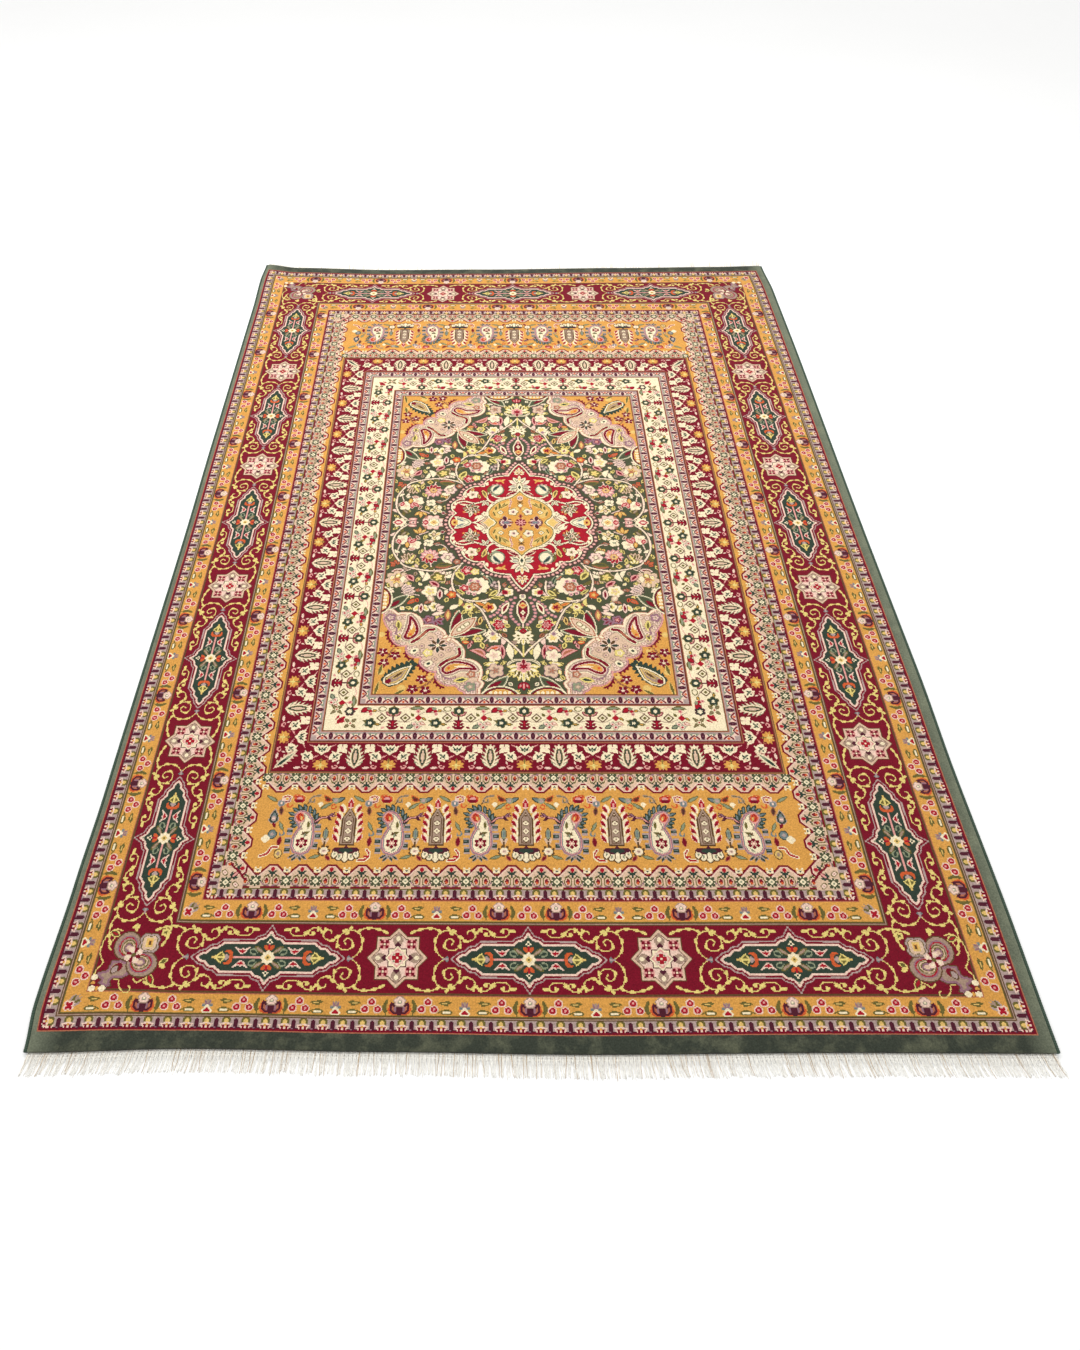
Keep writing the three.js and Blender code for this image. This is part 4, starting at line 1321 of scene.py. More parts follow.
class Medallion:
    """The lobed crimson medallion with its gold heart."""

    def draw(self, quarter: Quarter) -> None:
        """Draw it on a quarter of the field."""
        edge = joined(MEDALLION_LOBES)
        whole = [*edge, (-6.2, 115.6), (-11.3, 106.5), (-40, 90), (-40, -40), (80, -40)]
        quarter.patch(whole, (9.4, UMBER), (1.3, CREAM), (-0.6, MAROON), (-1.3, RED))
        quarter.beads(edge, 5.2, 5.2, 2.1, PINK, (-1.2, BLUSH))
        for x, y in ((91, 31), (88.6, 38.5), (74.6, 54.5), (76.2, 60), (45.4, 80.5), (39.5, 89)):
            quarter.oval((x, y), (2.2, 3.6), CREAM, turn=20)
        self.ring_of_flowers(quarter)
        self.tip(quarter)
        self.gold_heart(quarter)

    def ring_of_flowers(self, quarter: Quarter) -> None:
        """The flowers and stems on the crimson ground."""
        for line in ([(64, 0), (57, 3.5), (51, 9), (46, 17), (44.5, 25), (40, 36), (30, 46), (19, 51.5),
                      (9, 58)], [(86, 40.5), (77, 43.2), (68, 40.6), (61, 38.8)],
                     [(67, 27), (68, 35.5), (60, 39.4), (51, 43), (44, 45)],
                     [(30, 41.5), (38, 41.2), (43.6, 46), (45.6, 54), (43.4, 61), (40, 64.6)],
                     [(0, 62), (7, 57.6), (15, 52.6), (24, 50.2), (32, 51.4), (38, 56)]):
            quarter.curl(line, (1.9, MAROON), (1.2, CREAM))
        quarter.leaf((63, 6.2), (49.5, 13.6), 4.4, (0.5, MAROON), CREAM, bend=-2.2)
        quarter.leaf((60, 0.8), (47.4, 14.2), 3.0, CREAM, bend=-2.4)
        quarter.leaf((84, 38.6), (64, 37.4), 4.0, (0.5, MAROON), CREAM, (-1.1, BEIGE), bend=2.6)
        quarter.patch([(65.6, 0), (70, 5.4), (76.6, 9.2), (84, 11.6), (90.4, 12.4), (87.6, 6.4), (93.2, 0),
                       (88, -8), (70, -6)], (0.8, MAROON), CREAM, (-1.6, SAGE), (-3.2, CREAM))
        quarter.leaf((75, 1.4), (86.4, 7.6), 3.0, SLATE)
        quarter.oval((89.2, 0), (4.6, 6.4), STRAW, (-1.4, GOLD), (-3.0, CRIMSON))
        for turn in range(8):
            angle = math.radians(45 * turn + 12)
            tip = (67 + 12.4 * math.cos(angle), 27 + 11.8 * math.sin(angle))
            wools = (CREAM, OLIVE) if turn % 2 else (SAGE, TERRACOTTA)
            quarter.leaf((67, 27), tip, 6.6, (0.7, MAROON), (0, wools[0]), (-1.5, wools[1]))
        for x, y in ((77, 21.4), (57.6, 20.6), (61.6, 17.2)):
            quarter.dot(x, y, 2.0, ORANGE, (-1, STRAW))
        quarter.bloom((67, 27), 4.2, 6, BEIGE, BOTTLE, CREAM)
        quarter.leaf((66.4, 23.6), (69.4, 10.8), 4.6, (0.5, MAROON), CREAM, (-1.4, SAGE))
        quarter.bloom((48.4, 17.4), 4.0, 5, CREAM, CREAM, SAGE, MAROON)
        quarter.fan((46.4, 43.2), (52.4, 34), 3.2, CREAM, SAGE, MAROON, 3, 100)
        quarter.bloom((65.4, 57.6), 7.4, 5, CREAM, BLUSH, OLIVE, MAROON)
        quarter.bud((65.0, 70.8), (66.6, 64.6), 4.4, STRAW, TERRACOTTA, MAROON)
        quarter.bud((47.4, 50.6), (52.6, 67.6), 5.6, STRAW, OLIVE, MAROON, 1.2)
        quarter.bud((55.2, 49.0), (57.8, 57.6), 3.0, STRAW, BROWN, MAROON)
        quarter.oval((31.6, 68), (9.4, 11.4), (0.8, MAROON), SAGE, (-1.6, CREAM), turn=-14)
        quarter.leaf((24.6, 60.6), (42.2, 62.2), 4.2, SAGE, bend=-4.4)
        quarter.leaf((38.0, 62.8), (26.0, 78.0), 5.6, SLATE, (-1.1, BOTTLE), bend=-1.6)
        quarter.leaf((41.6, 58.2), (40.6, 76.4), 3.6, OLIVE, bend=-2.4)
        for x, y in ((26.4, 77.6), (31.4, 79.6), (37.4, 78.0)):
            quarter.dot(x, y, 1.5, PINK)
        quarter.leaf((36, 88.2), (19.4, 90.2), 4.0, STRAW, (-1.1, GOLD), bend=2.2)
        quarter.leaf((27.2, 90), (21.6, 80.8), 3.4, GOLD)
        quarter.leaf((31.4, 89.4), (29.6, 83.2), 2.6, STRAW)

    def tip(self, quarter: Quarter) -> None:
        """The palmette on the long axis and the flower in the medallion's point."""
        quarter.patch([(17, 53), (13.6, 96), (6.6, 108), (0, 116), (-10, 110), (-10, 56), (0, 62)], RED)
        quarter.leaf((18, 56.4), (2.4, 64.6), 4.4, (0.8, CREAM), CRIMSON)
        for root, tip, width, core in (((1, 72), (15.6, 66.4), 6.6, SAGE),
                                       ((1, 75), (16.4, 73.4), 6.4, SLATE),
                                       ((1, 78), (14.4, 87.6), 7.4, BLUSH),
                                       ((1, 80), (8.6, 94.6), 6.0, SAGE)):
            quarter.leaf(root, tip, width, (0.8, MAROON), CREAM, (-2.0, core))
        quarter.oval((0, 73), (3.6, 9.6), (0.9, OLIVE), CREAM, (-1.9, BOTTLE))
        quarter.leaf((0, 82), (0, 98.6), 5.0, (0.6, MAROON), CREAM, (-1.5, STRAW))
        for x, y in ((3.2, 64.6), (6.6, 66.6)):
            quarter.dot(x, y, 1.3, CREAM)
        for root, tip in (((0, 103), (7.2, 101.6)), ((0, 105), (7.6, 106.8)), ((0, 107), (5.0, 112.2)),
                          ((0, 105), (0, 117))):
            quarter.leaf(root, tip, 4.2, (0.6, MAROON), CREAM, (-1.3, STRAW))
        quarter.dot(0, 104.6, 2.6, TERRACOTTA, (-1.2, CREAM))

    def gold_heart(self, quarter: Quarter) -> None:
        """The gold ground in the middle, with its rosettes and flames."""
        quarter.patch([(30, 0), (38, 9), (43.6, 15.4), (46, 9.6), (49.6, 4.2), (54, 0), (49, -6), (43, -15),
                       (36, -8)], (1.5, CREAM), (0.3, OLIVE), (-0.8, BEIGE), (-2.4, STRAW))
        edge = smooth_line(GOLD_EDGE, 4)
        mirrored = [(-x, y) for x, y in edge[::-1][1:]]
        quarter.patch([*edge, *mirrored, (-32.4, -20), (45, -20), (36, -7)], (2.6, CREAM), (0.9, OLIVE),
                      (-0.5, STRAW), (-1.5, GOLD))
        for x, y, radius in ((30, 14, 5.0), (33, 24, 4.6), (24, 34, 5.0), (16, 40, 4.4), (6, 27, 4.0)):
            quarter.dot(x, y, radius, STRAW)
        quarter.oval((19.6, 0), (8.6, 5.6), BLUSH, (-1.6, MAUVE), (-3.2, SLATE))
        quarter.leaf((20.4, 2.8), (22.4, 13.2), 6.0, (0.6, BLUSH), MAROON)
        quarter.leaf((15.6, 0), (9.6, 0), 4.6, MAROON, (-1.4, TERRACOTTA))
        for x, y in ((26.6, 5.6), (14.8, 6.4), (28.4, 2.0)):
            quarter.dot(x, y, 1.8, MAROON, (-1, MAUVE))
        quarter.star((0, 0), 6.0, (1.0, GOLD), (0.2, CRIMSON))
        for turn in range(8):
            angle = math.radians(45 * turn + 22.5)
            quarter.thread([(0, 0), (6.6 * math.cos(angle), 6.6 * math.sin(angle))], (0.7, PINK))
        quarter.dot(0, 0, 2.4, PINK, (-1.3, CRIMSON))
        quarter.leaf((0, 7), (0, 17.2), 5.4, (0.5, STRAW), TERRACOTTA, (-1.6, CRIMSON))
        quarter.bloom((10.0, 21.4), 5.8, 5, CREAM, BLUSH, MAROON, OLIVE, 30)
        quarter.bloom((27.0, 20.2), 3.0, 4, CREAM, STRAW, GOLD, OLIVE)
        for root, tip, width in (((29.6, 26), (28.4, 40), 3.4), ((26.6, 29), (20.6, 40.4), 3.2),
                                 ((34.0, 24), (33.4, 34.4), 2.8), ((24.4, 32), (16.4, 38.6), 2.4),
                                 ((34.6, 12), (38.0, 22.4), 2.4)):
            quarter.leaf(root, tip, width, (0.7, STRAW), OLIVE, bend=0.8)
        quarter.curl([(15.0, 28), (14.2, 35), (12.6, 42), (13.4, 47)], (1.3, BLUSH), (0.6, TERRACOTTA))
        quarter.patch([(0, 38.4), (3.4, 34.2), (0, 30), (-3.4, 34.2)], (0.8, OLIVE), CREAM)
        quarter.thread([(0, 30), (0, 27.4)], (1.2, TERRACOTTA))
        quarter.thread([(0, 39.4), (3.4, 44.2)], (0.8, BROWN))
        quarter.thread([(3.2, 38.8), (0, 42.6)], (0.7, BROWN))
        quarter.oval((0, 49.8), (4.4, 5.0), BLUSH, (-1.6, MAUVE), (-3.2, CREAM))


class Field:
    """The moss-green field with its vines, cloud bands and gold corners."""

    def draw(self, chart: Cartoon) -> None:
        """Draw the field inside the innermost border."""
        band_lines(chart, "field", (TERRACOTTA, BROWN), MOSS)
        quarter = Quarter(MEASURES.across["field"] - 2, MEASURES.along["field"] - 2, MOSS)
        self.small_leaves(quarter)
        self.vines(quarter)
        self.side_flowers(quarter)
        self.inner_flowers(quarter)
        self.end_flowers(quarter)
        self.axis_flowers(quarter)
        self.corner(quarter)
        self.cloud_band(quarter)
        self.leaf_trio(quarter)
        self.half_lenses(quarter)
        Medallion().draw(quarter)
        quarter.lay_in_four(chart)

    def vines(self, quarter: Quarter) -> None:
        """The pale stems: two scrolls beside the medallion, and the one that runs to the end."""
        quarter.curl([(83, 96), (72, 92), (60, 93.6), (48, 98.6), (40.6, 107), (38.4, 116)],
                     (2.6, SAGE), (1.2, BOTTLE))
        quarter.beads(smooth_line([(83, 96), (72, 92), (60, 93.6), (48, 98.6), (40.6, 107)]), 7.5, 0.0, 1.6,
                      CREAM)
        for line in ([(160.5, 44), (162.8, 54), (162.6, 66)], [(37.9, 193), (39.5, 202), (47, 211)],
                     [(119, 76), (117.6, 84), (112, 91)], [(84, 117), (76, 120.4)],
                     [(95.6, 126), (103, 121), (90, 128)], [(141, 88), (150, 92), (154, 97)],
                     [(127.6, 49), (126.4, 58)], [(86, 140), (88, 133)]):
            quarter.vine(line, 0.7)
        spiral = [(70.8, 143), (55.4, 145), (43.1, 141.9), (32.8, 134.7), (29.2, 123), (30.3, 110.6)]
        side = [(134.9, -1.6), (147.2, 2.5), (158.5, 9.7), (166.7, 22), (170.3, 35.4), (169.7, 51.9),
                (163.6, 67.4), (153.3, 81.8), (139, 87.9), (121.5, 91.6), (105.1, 91), (90.8, 86.9),
                (82.6, 82.8), (74.4, 75.6)]
        long = [(79.5, 81.8), (85.6, 92.1), (89.2, 103.4), (89.2, 117.8), (84.6, 130.2), (76.4, 140.5),
                (66, 147), (55, 155), (48.5, 166), (43.1, 179), (37.9, 192.4), (27.7, 201), (17, 211.5),
                (7.2, 223), (0, 233.6)]
        pale = (YELLOW, CREAM, OLIVE, BLUSH, TAUPE)
        for line in (side, long, spiral):
            quarter.sprout(line, 11.0, 11.0, pale)
            quarter.vine(line, 1.15)

    def small_leaves(self, quarter: Quarter) -> None:
        """The small leaves and sprigs that fill the ground between the flowers."""
        olive, cream, rust = (YELLOW, OLIVE), (CREAM, BLUSH), (TERRACOTTA, TAUPE)
        for x, y, turn, reach, wools in ((170, 12, 60, 8, olive), (153, 24, 200, 9, olive),
                                         (129, 31, 100, 9, olive), (112, 41, 20, 9, rust),
                                         (134, 57, 70, 9, olive), (156, 56, 110, 9, cream),
                                         (135, 73, 290, 9, olive), (110, 60, 240, 8, rust),
                                         (101, 30, 300, 9, olive), (98, 14, 260, 8, rust),
                                         (104, 6, 80, 8, olive), (129, 10, 110, 7, rust),
                                         (172, 66, 80, 9, olive), (173, 86, 250, 8, olive),
                                         (148, 115, 40, 9, olive), (135, 108, 80, 8, olive),
                                         (171, 117, 100, 9, olive), (166, 128, 150, 9, cream),
                                         (119, 118, 70, 7, olive), (99, 108, 280, 9, olive),
                                         (93, 96, 240, 8, cream), (130, 127, 200, 8, rust),
                                         (143, 136, 20, 9, olive), (152, 140, 100, 8, rust),
                                         (96, 113, 60, 8, rust), (111, 146, 300, 8, olive),
                                         (78, 131, 20, 8, olive), (47, 105, 140, 8, rust),
                                         (45, 128, 70, 9, olive), (24, 118, 110, 8, rust),
                                         (16, 119, 60, 7, olive), (26, 143, 160, 8, olive),
                                         (55, 163, 200, 8, olive), (74, 163, 60, 9, olive),
                                         (76, 148, 330, 9, rust), (120, 146, 40, 8, rust),
                                         (143, 155, 10, 8, olive), (102, 172, 200, 9, olive),
                                         (84, 166, 80, 8, rust), (80, 178, 300, 8, olive),
                                         (66, 168, 120, 9, olive), (60, 184, 80, 9, rust),
                                         (44, 186, 100, 8, olive), (35, 176, 60, 9, olive),
                                         (20, 172, 300, 7, rust), (30, 193, 120, 8, olive),
                                         (46, 198, 40, 9, cream), (62, 200, 160, 8, olive),
                                         (24, 209, 60, 8, olive), (46, 220, 100, 8, rust),
                                         (56, 226, 20, 7, olive), (70, 208, 200, 8, olive),
                                         (26, 245, 70, 8, olive), (44, 244, 20, 8, olive),
                                         (18, 262, 70, 9, olive), (24, 268, 110, 8, rust),
                                         (40, 270, 200, 8, cream), (10, 286, 20, 8, olive),
                                         (8, 190, 60, 8, olive), (12, 221, 80, 8, olive)):
            angle = math.radians(turn)
            run = (reach * math.cos(angle), reach * math.sin(angle))
            root, tip = (x - run[0] / 2, y - run[1] / 2), (x + run[0] / 2, y + run[1] / 2)
            quarter.curl([(root[0] - run[1] * 0.5, root[1] + run[0] * 0.5), root, (x, y)], (0.7, wools[0]))
            quarter.bud(root, tip, 0.42 * reach, wools[0], wools[1], UMBER, 0.1 * reach)
            side = (root[0] + 0.5 * run[0] - 0.6 * run[1], root[1] + 0.5 * run[1] + 0.6 * run[0])
            quarter.leaf(root, side, 0.3 * reach, (0.6, UMBER), (0, wools[0]))

    def side_flowers(self, quarter: Quarter) -> None:
        """The flowers between the medallion and the rug's long side."""
        quarter.bloom((164, 0.5), 7.6, 6, CREAM, BLUSH, SAGE)
        quarter.bud((171, 0), (160, 0.4), 7.4, RED, BLUSH, PINK)
        quarter.bloom((145.6, 0), 4.4, 5, PINK, BLUSH, MAROON)
        quarter.bud((139.6, 6.8), (152.4, 6.2), 4.6, PINK, BLUSH)
        quarter.bloom((118.6, 0), 12.0, 8, BLUSH, BEIGE, OLIVE, PINK, 22.5)
        quarter.bloom((117.6, 0), 7.0, 8, CREAM, STRAW, TERRACOTTA, SAGE)
        quarter.bud((124.6, 0), (132.8, 0), 8.0, RED, PINK, BLUSH)
        quarter.fan((135.8, 22.4), (135.8, 9.4), 3.8, GOLD, STRAW, UMBER, 3, 90)
        quarter.bud((152.4, 17.6), (161.4, 26.4), 5.6, OLIVE, TAUPE)
        quarter.bloom((157.6, 33.6), 7.8, 5, CREAM, CREAM, BEIGE, UMBER, 20)
        quarter.bloom((142.0, 43.6), 8.2, 5, CREAM, CREAM, BEIGE, UMBER, -10)
        for root, tip in (((148.6, 41), (148.4, 28.6)), ((148.6, 41), (139.0, 32.4)),
                          ((160.6, 42.0), (163.6, 32.8))):
            quarter.bud(root, tip, 5.2, RED, PINK, BLUSH)
        quarter.bud((150.6, 49.0), (151.4, 38.2), 4.6, GOLD, STRAW, BROWN)
        quarter.bud((139.2, 51.4), (150.2, 52.6), 4.6, BLUSH, TERRACOTTA)
        quarter.bud((135.0, 34.6), (139.6, 25.6), 4.0, BEIGE, MAROON)
        quarter.curl([(124.6, 18.6), (130, 21.6), (136, 24.2)], (1.5, UMBER), (0.8, BLUSH))
        quarter.fan((117.4, 27.2), (106.6, 20.2), 5.4, CREAM, STRAW, OLIVE, 5, 210)
        quarter.bud((109.6, 25.6), (111.6, 35.4), 4.8, CREAM, CREAM, OLIVE)
        quarter.dot(105.2, 18.8, 2.2, (0.8, BLUSH), CRIMSON)
        quarter.dot(116.4, 23.6, 2.4, (0.8, OLIVE), BEIGE)
        quarter.bloom((123.0, 40.2), 6.2, 4, CREAM, CREAM, SAGE, UMBER, 40)
        quarter.bud((127.6, 46.6), (126.4, 37.6), 3.4, CREAM, CREAM)
        quarter.fan((147.0, 74.4), (148.6, 58.6), 4.6, BEIGE, OLIVE, BROWN, 5, 84)
        quarter.bud((146.0, 74), (140.0, 61.6), 3.0, YELLOW, YELLOW)
        quarter.fan((146.0, 78.6), (146.0, 70.2), 3.6, YELLOW, CREAM, OLIVE, 3, 110)
        for turn in range(11):
            angle = math.radians(360 / 11 * turn + 8)
            low = math.sin(angle) > 0.55
            tip = (120.4 + 12.8 * math.cos(angle), 65.4 + 13.4 * math.sin(angle))
            wools = (RED, CRIMSON) if low else (PINK, BLUSH)
            quarter.leaf((120.4, 65.4), tip, 7.0, (0.6, BLUSH if low else MAUVE), (0, wools[0]),
                         (-1.9, wools[1]))
        quarter.bloom((120.4, 66.4), 4.4, 6, STRAW, PINK, OLIVE, TERRACOTTA)
        quarter.fan((103.0, 58.4), (101.4, 48.0), 4.6, STRAW, TERRACOTTA, OLIVE, 3, 110)
        quarter.oval((102.6, 58.4), (6.0, 3.4), (0.8, OLIVE), CREAM)
        quarter.vine([(112.6, 44.6), (106.8, 43.6), (100.6, 47.4), (96, 55.6)], 0.6)
        quarter.bloom((96.8, 67.6), 7.6, 6, BLUSH, TAUPE, CREAM, MAUVE)
        quarter.bud((90.0, 79.4), (104.4, 70.4), 4.6, CREAM, CREAM)
        quarter.bloom((84.2, 75.4), 4.2, 5, TERRACOTTA, TAUPE, BEIGE)
        quarter.bud((90.6, 82.4), (112.6, 85.6), 8.4, TERRACOTTA, OLIVE, UMBER, -1.0)
        quarter.bud((90.6, 81.2), (111.6, 82.8), 5.0, OLIVE, MOSS, OLIVE, -1.6)
        quarter.fan((163.6, 81.0), (168.6, 73.4), 3.6, ORANGE, TERRACOTTA, UMBER, 4, 150)
        quarter.bud((134.0, 86.6), (139.4, 79.6), 3.4, BEIGE, BLUSH)
        quarter.bloom((125.6, 84.0), 3.4, 4, STRAW, OLIVE, OLIVE, OLIVE)

    def inner_flowers(self, quarter: Quarter) -> None:
        """The flowers around the second scroll, from the side to the long axis."""
        quarter.bud((151.6, 90.8), (168.4, 93.2), 6.2, BLUSH, CRIMSON, UMBER, -0.6)
        quarter.bloom((160.4, 106.6), 12.6, 7, BEIGE, STRAW, TERRACOTTA, OLIVE, 15)
        quarter.bud((156.0, 97.8), (162.4, 103.4), 5.2, YELLOW, CREAM)
        quarter.bud((152.8, 100.6), (152.6, 112.6), 5.2, CREAM, CREAM, TAUPE)
        quarter.bud((164.8, 100.6), (168.6, 106.8), 4.6, CREAM, YELLOW, TAUPE)
        quarter.bud((160.6, 112.6), (159.8, 122.6), 5.2, BEIGE, CREAM, OLIVE)
        quarter.bud((149.0, 98.6), (138.4, 110.6), 7.2, PINK, CRIMSON, UMBER, 0.8)
        quarter.bud((122.6, 94.4), (127.6, 110.8), 6.4, CREAM, CREAM, UMBER, 3.2)
        quarter.bloom((107.6, 103.6), 8.6, 5, OLIVE, YELLOW, STRAW, BEIGE)
        quarter.bud((98.6, 93.8), (104.0, 97.8), 3.8, BLUSH, CREAM)
        quarter.bud((136.6, 93.4), (137.6, 101.6), 4.2, TAUPE, OLIVE)
        quarter.bud((119.0, 110.4), (105.2, 121.4), 7.0, PINK, CRIMSON, UMBER, 0.8)
        quarter.bud((132.6, 113.6), (127.2, 118.0), 3.4, CREAM, YELLOW)
        quarter.fan((152.6, 130.4), (136.6, 121.4), 5.4, BLUSH, LILAC, UMBER, 5, 84)
        quarter.vine([(152.6, 130.4), (140, 132.6), (129.6, 135.4)], 0.6)
        quarter.bloom((116.8, 128.4), 8.8, 5, CREAM, YELLOW, BEIGE, TAUPE, 10)
        quarter.bud((104.6, 124.4), (104.6, 142.4), 6.0, BLUSH, CRIMSON, UMBER, 0.6)
        quarter.bud((118.0, 135.6), (112.6, 145.4), 6.2, BEIGE, CREAM, TAUPE)
        quarter.bloom((89.4, 134.0), 5.4, 5, ORANGE, GOLD, STRAW)
        quarter.bud((94.6, 138.4), (96.4, 147.0), 4.8, YELLOW, OLIVE)
        quarter.bud((98.0, 134.0), (95.4, 125.0), 4.0, CREAM, CREAM)
        quarter.bloom((70.8, 91.4), 6.4, 5, RED, PINK, BLUSH, PINK)
        quarter.bud((66.6, 83.6), (71.6, 90.0), 4.0, PINK, CRIMSON)
        quarter.bloom((60.4, 93.4), 5.2, 5, YELLOW, CREAM, STRAW)
        quarter.bud((86.0, 93.6), (75.2, 108.6), 8.4, YELLOW, OLIVE, UMBER, 1.4)
        quarter.rosette((56.0, 118.2), 14.6, 9, 2.6, (1.0, BOTTLE), CREAM, turn=10)
        quarter.oval((61.4, 119.6), (10.6, 11.6), BLUSH, (-2.4, SAGE), (-4.0, BLUSH))
        quarter.bloom((60.4, 120.0), 6.4, 6, TERRACOTTA, BEIGE, TERRACOTTA, BROWN)
        for root, tip in (((68, 112), (64, 106.6)), ((60.6, 131), (61.6, 135.6)),
                          ((66.6, 129.4), (70.4, 132.4)), ((58.2, 108), (55.4, 112.6))):
            quarter.bud(root, tip, 4.2, PINK, MAUVE, BLUSH)
        quarter.bloom((73.4, 122.4), 4.6, 5, RED, PINK, BLUSH, PINK)
        for x, y in ((35.6, 112.6), (38.6, 117.4), (33.4, 118.8)):
            quarter.dot(x, y, 2.5, (0.7, UMBER), LILAC, (-1.5, BLUSH))
        quarter.bloom((18.6, 129.6), 6.6, 5, CREAM, YELLOW, SAGE)
        quarter.bud((25.2, 126.4), (19.2, 133.2), 5.8, RED, CRIMSON, PINK)
        quarter.bud((42.6, 136.0), (31.4, 125.4), 5.8, YELLOW, OLIVE, UMBER, -0.8)
        quarter.bud((41.0, 139.4), (22.6, 137.8), 3.6, YELLOW, OLIVE, OLIVE)
        quarter.bud((72.6, 133.0), (84.0, 124.6), 4.4, YELLOW, OLIVE)

    def end_flowers(self, quarter: Quarter) -> None:
        """The flowers beside the vine that runs to the end of the field."""
        for root, tip, width, petal, core in (
                ((144.4, 149.6), (132.4, 140.4), 5.2, ORANGE, TERRACOTTA),
                ((131.6, 147.0), (133.6, 139.6), 4.4, ORANGE, CRIMSON),
                ((128.0, 150.4), (135.6, 162.4), 6.8, CREAM, YELLOW),
                ((125.2, 150.4), (117.4, 162.4), 6.8, CREAM, YELLOW),
                ((126.6, 148.0), (126.9, 165.6), 5.0, BLUSH, CRIMSON),
                ((91.6, 158.4), (80.0, 150.8), 5.6, CREAM, CREAM),
                ((113.2, 168.0), (97.0, 163.4), 4.8, BLUSH, CREAM),
                ((92.8, 158.4), (92.8, 178.4), 6.6, TERRACOTTA, STRAW),
                ((53.6, 184.4), (51.6, 170.6), 4.8, STRAW, BROWN),
                ((59.0, 147.4), (46.4, 152.4), 4.0, GOLD, ORANGE),
                ((50.4, 211.6), (48.2, 222.6), 4.8, YELLOW, OLIVE),
                ((74.6, 212.0), (64.6, 212.4), 4.6, ORANGE, STRAW),
                ((64.0, 209.4), (60.6, 214.6), 3.6, CRIMSON, PINK),
                ((66.6, 222.0), (63.6, 213.4), 4.0, PINK, CRIMSON),
                ((44.6, 226.0), (27.0, 217.6), 6.8, PINK, ORANGE),
                ((26.0, 214.6), (24.6, 238.0), 6.0, PINK, CRIMSON),
                ((18.0, 213.6), (14.0, 239.4), 7.2, CREAM, CREAM),
                ((57.6, 251.0), (48.0, 271.0), 0.6, OLIVE, OLIVE),
                ((36.0, 242.6), (39.4, 238.8), 3.6, TERRACOTTA, CRIMSON),
                ((29.6, 243.0), (46.6, 247.6), 5.6, YELLOW, CREAM),
                ((43.0, 262.8), (48.6, 269.4), 4.4, YELLOW, OLIVE),
                ((18.0, 273.0), (12.6, 278.0), 4.2, CREAM, SAGE),
                ((153.0, 154.4), (147.4, 159.6), 5.0, CREAM, YELLOW)):
            quarter.bud(root, tip, width, petal, core)
        quarter.bud((64.0, 224.6), (44.6, 237.4), 7.2, PINK, TERRACOTTA, CRIMSON, 4.6)
        quarter.bloom((110.0, 154.4), 6.6, 5, CREAM, YELLOW, OLIVE)
        quarter.fan((107.0, 157.4), (98.0, 154.0), 4.6, BLUSH, BLUSH, UMBER, 3, 110)
        quarter.bloom((116.2, 176.2), 6.6, 5, MAUVE, CRIMSON, PINK)
        quarter.fan((107.6, 176.4), (98.6, 183.4), 4.0, MAUVE, CRIMSON, MAUVE, 3, 96)
        quarter.bloom((67.0, 154.8), 6.4, 6, YELLOW, CREAM, CRIMSON)
        quarter.bloom((41.8, 155.0), 6.6, 5, GOLD, RED, CRIMSON, BROWN)
        quarter.curl([(36.0, 150.6), (34.0, 157.6), (38.6, 162.4)], (1.4, CREAM))
        quarter.bloom((28.2, 184.0), 7.6, 6, RED, PINK, CRIMSON, BLUSH)
        quarter.bud((25.4, 176.6), (18.4, 182.4), 4.8, CREAM, YELLOW)
        quarter.bud((23.4, 184.6), (15.4, 186.8), 5.4, YELLOW, OLIVE)
        quarter.bud((24.6, 190.0), (20.2, 194.6), 4.2, CREAM, STRAW)
        quarter.bloom((35.8, 204.8), 7.0, 6, CREAM, STRAW, YELLOW)
        quarter.bud((37.0, 202.0), (37.0, 195.0), 5.2, LILAC, MAUVE, BLUSH)
        quarter.bud((26.0, 197.6), (19.6, 204.4), 4.6, TERRACOTTA, BROWN)
        quarter.bloom((54.8, 206.4), 5.6, 6, YELLOW, OLIVE, BEIGE)
        quarter.bloom((35.2, 232.6), 8.2, 5, CREAM, BLUSH, BEIGE)
        quarter.bloom((33.4, 255.6), 8.8, 5, BEIGE, TAUPE, TERRACOTTA, MAUVE)
        quarter.bud((41.6, 253.6), (43.6, 262.0), 3.6, YELLOW, CREAM)

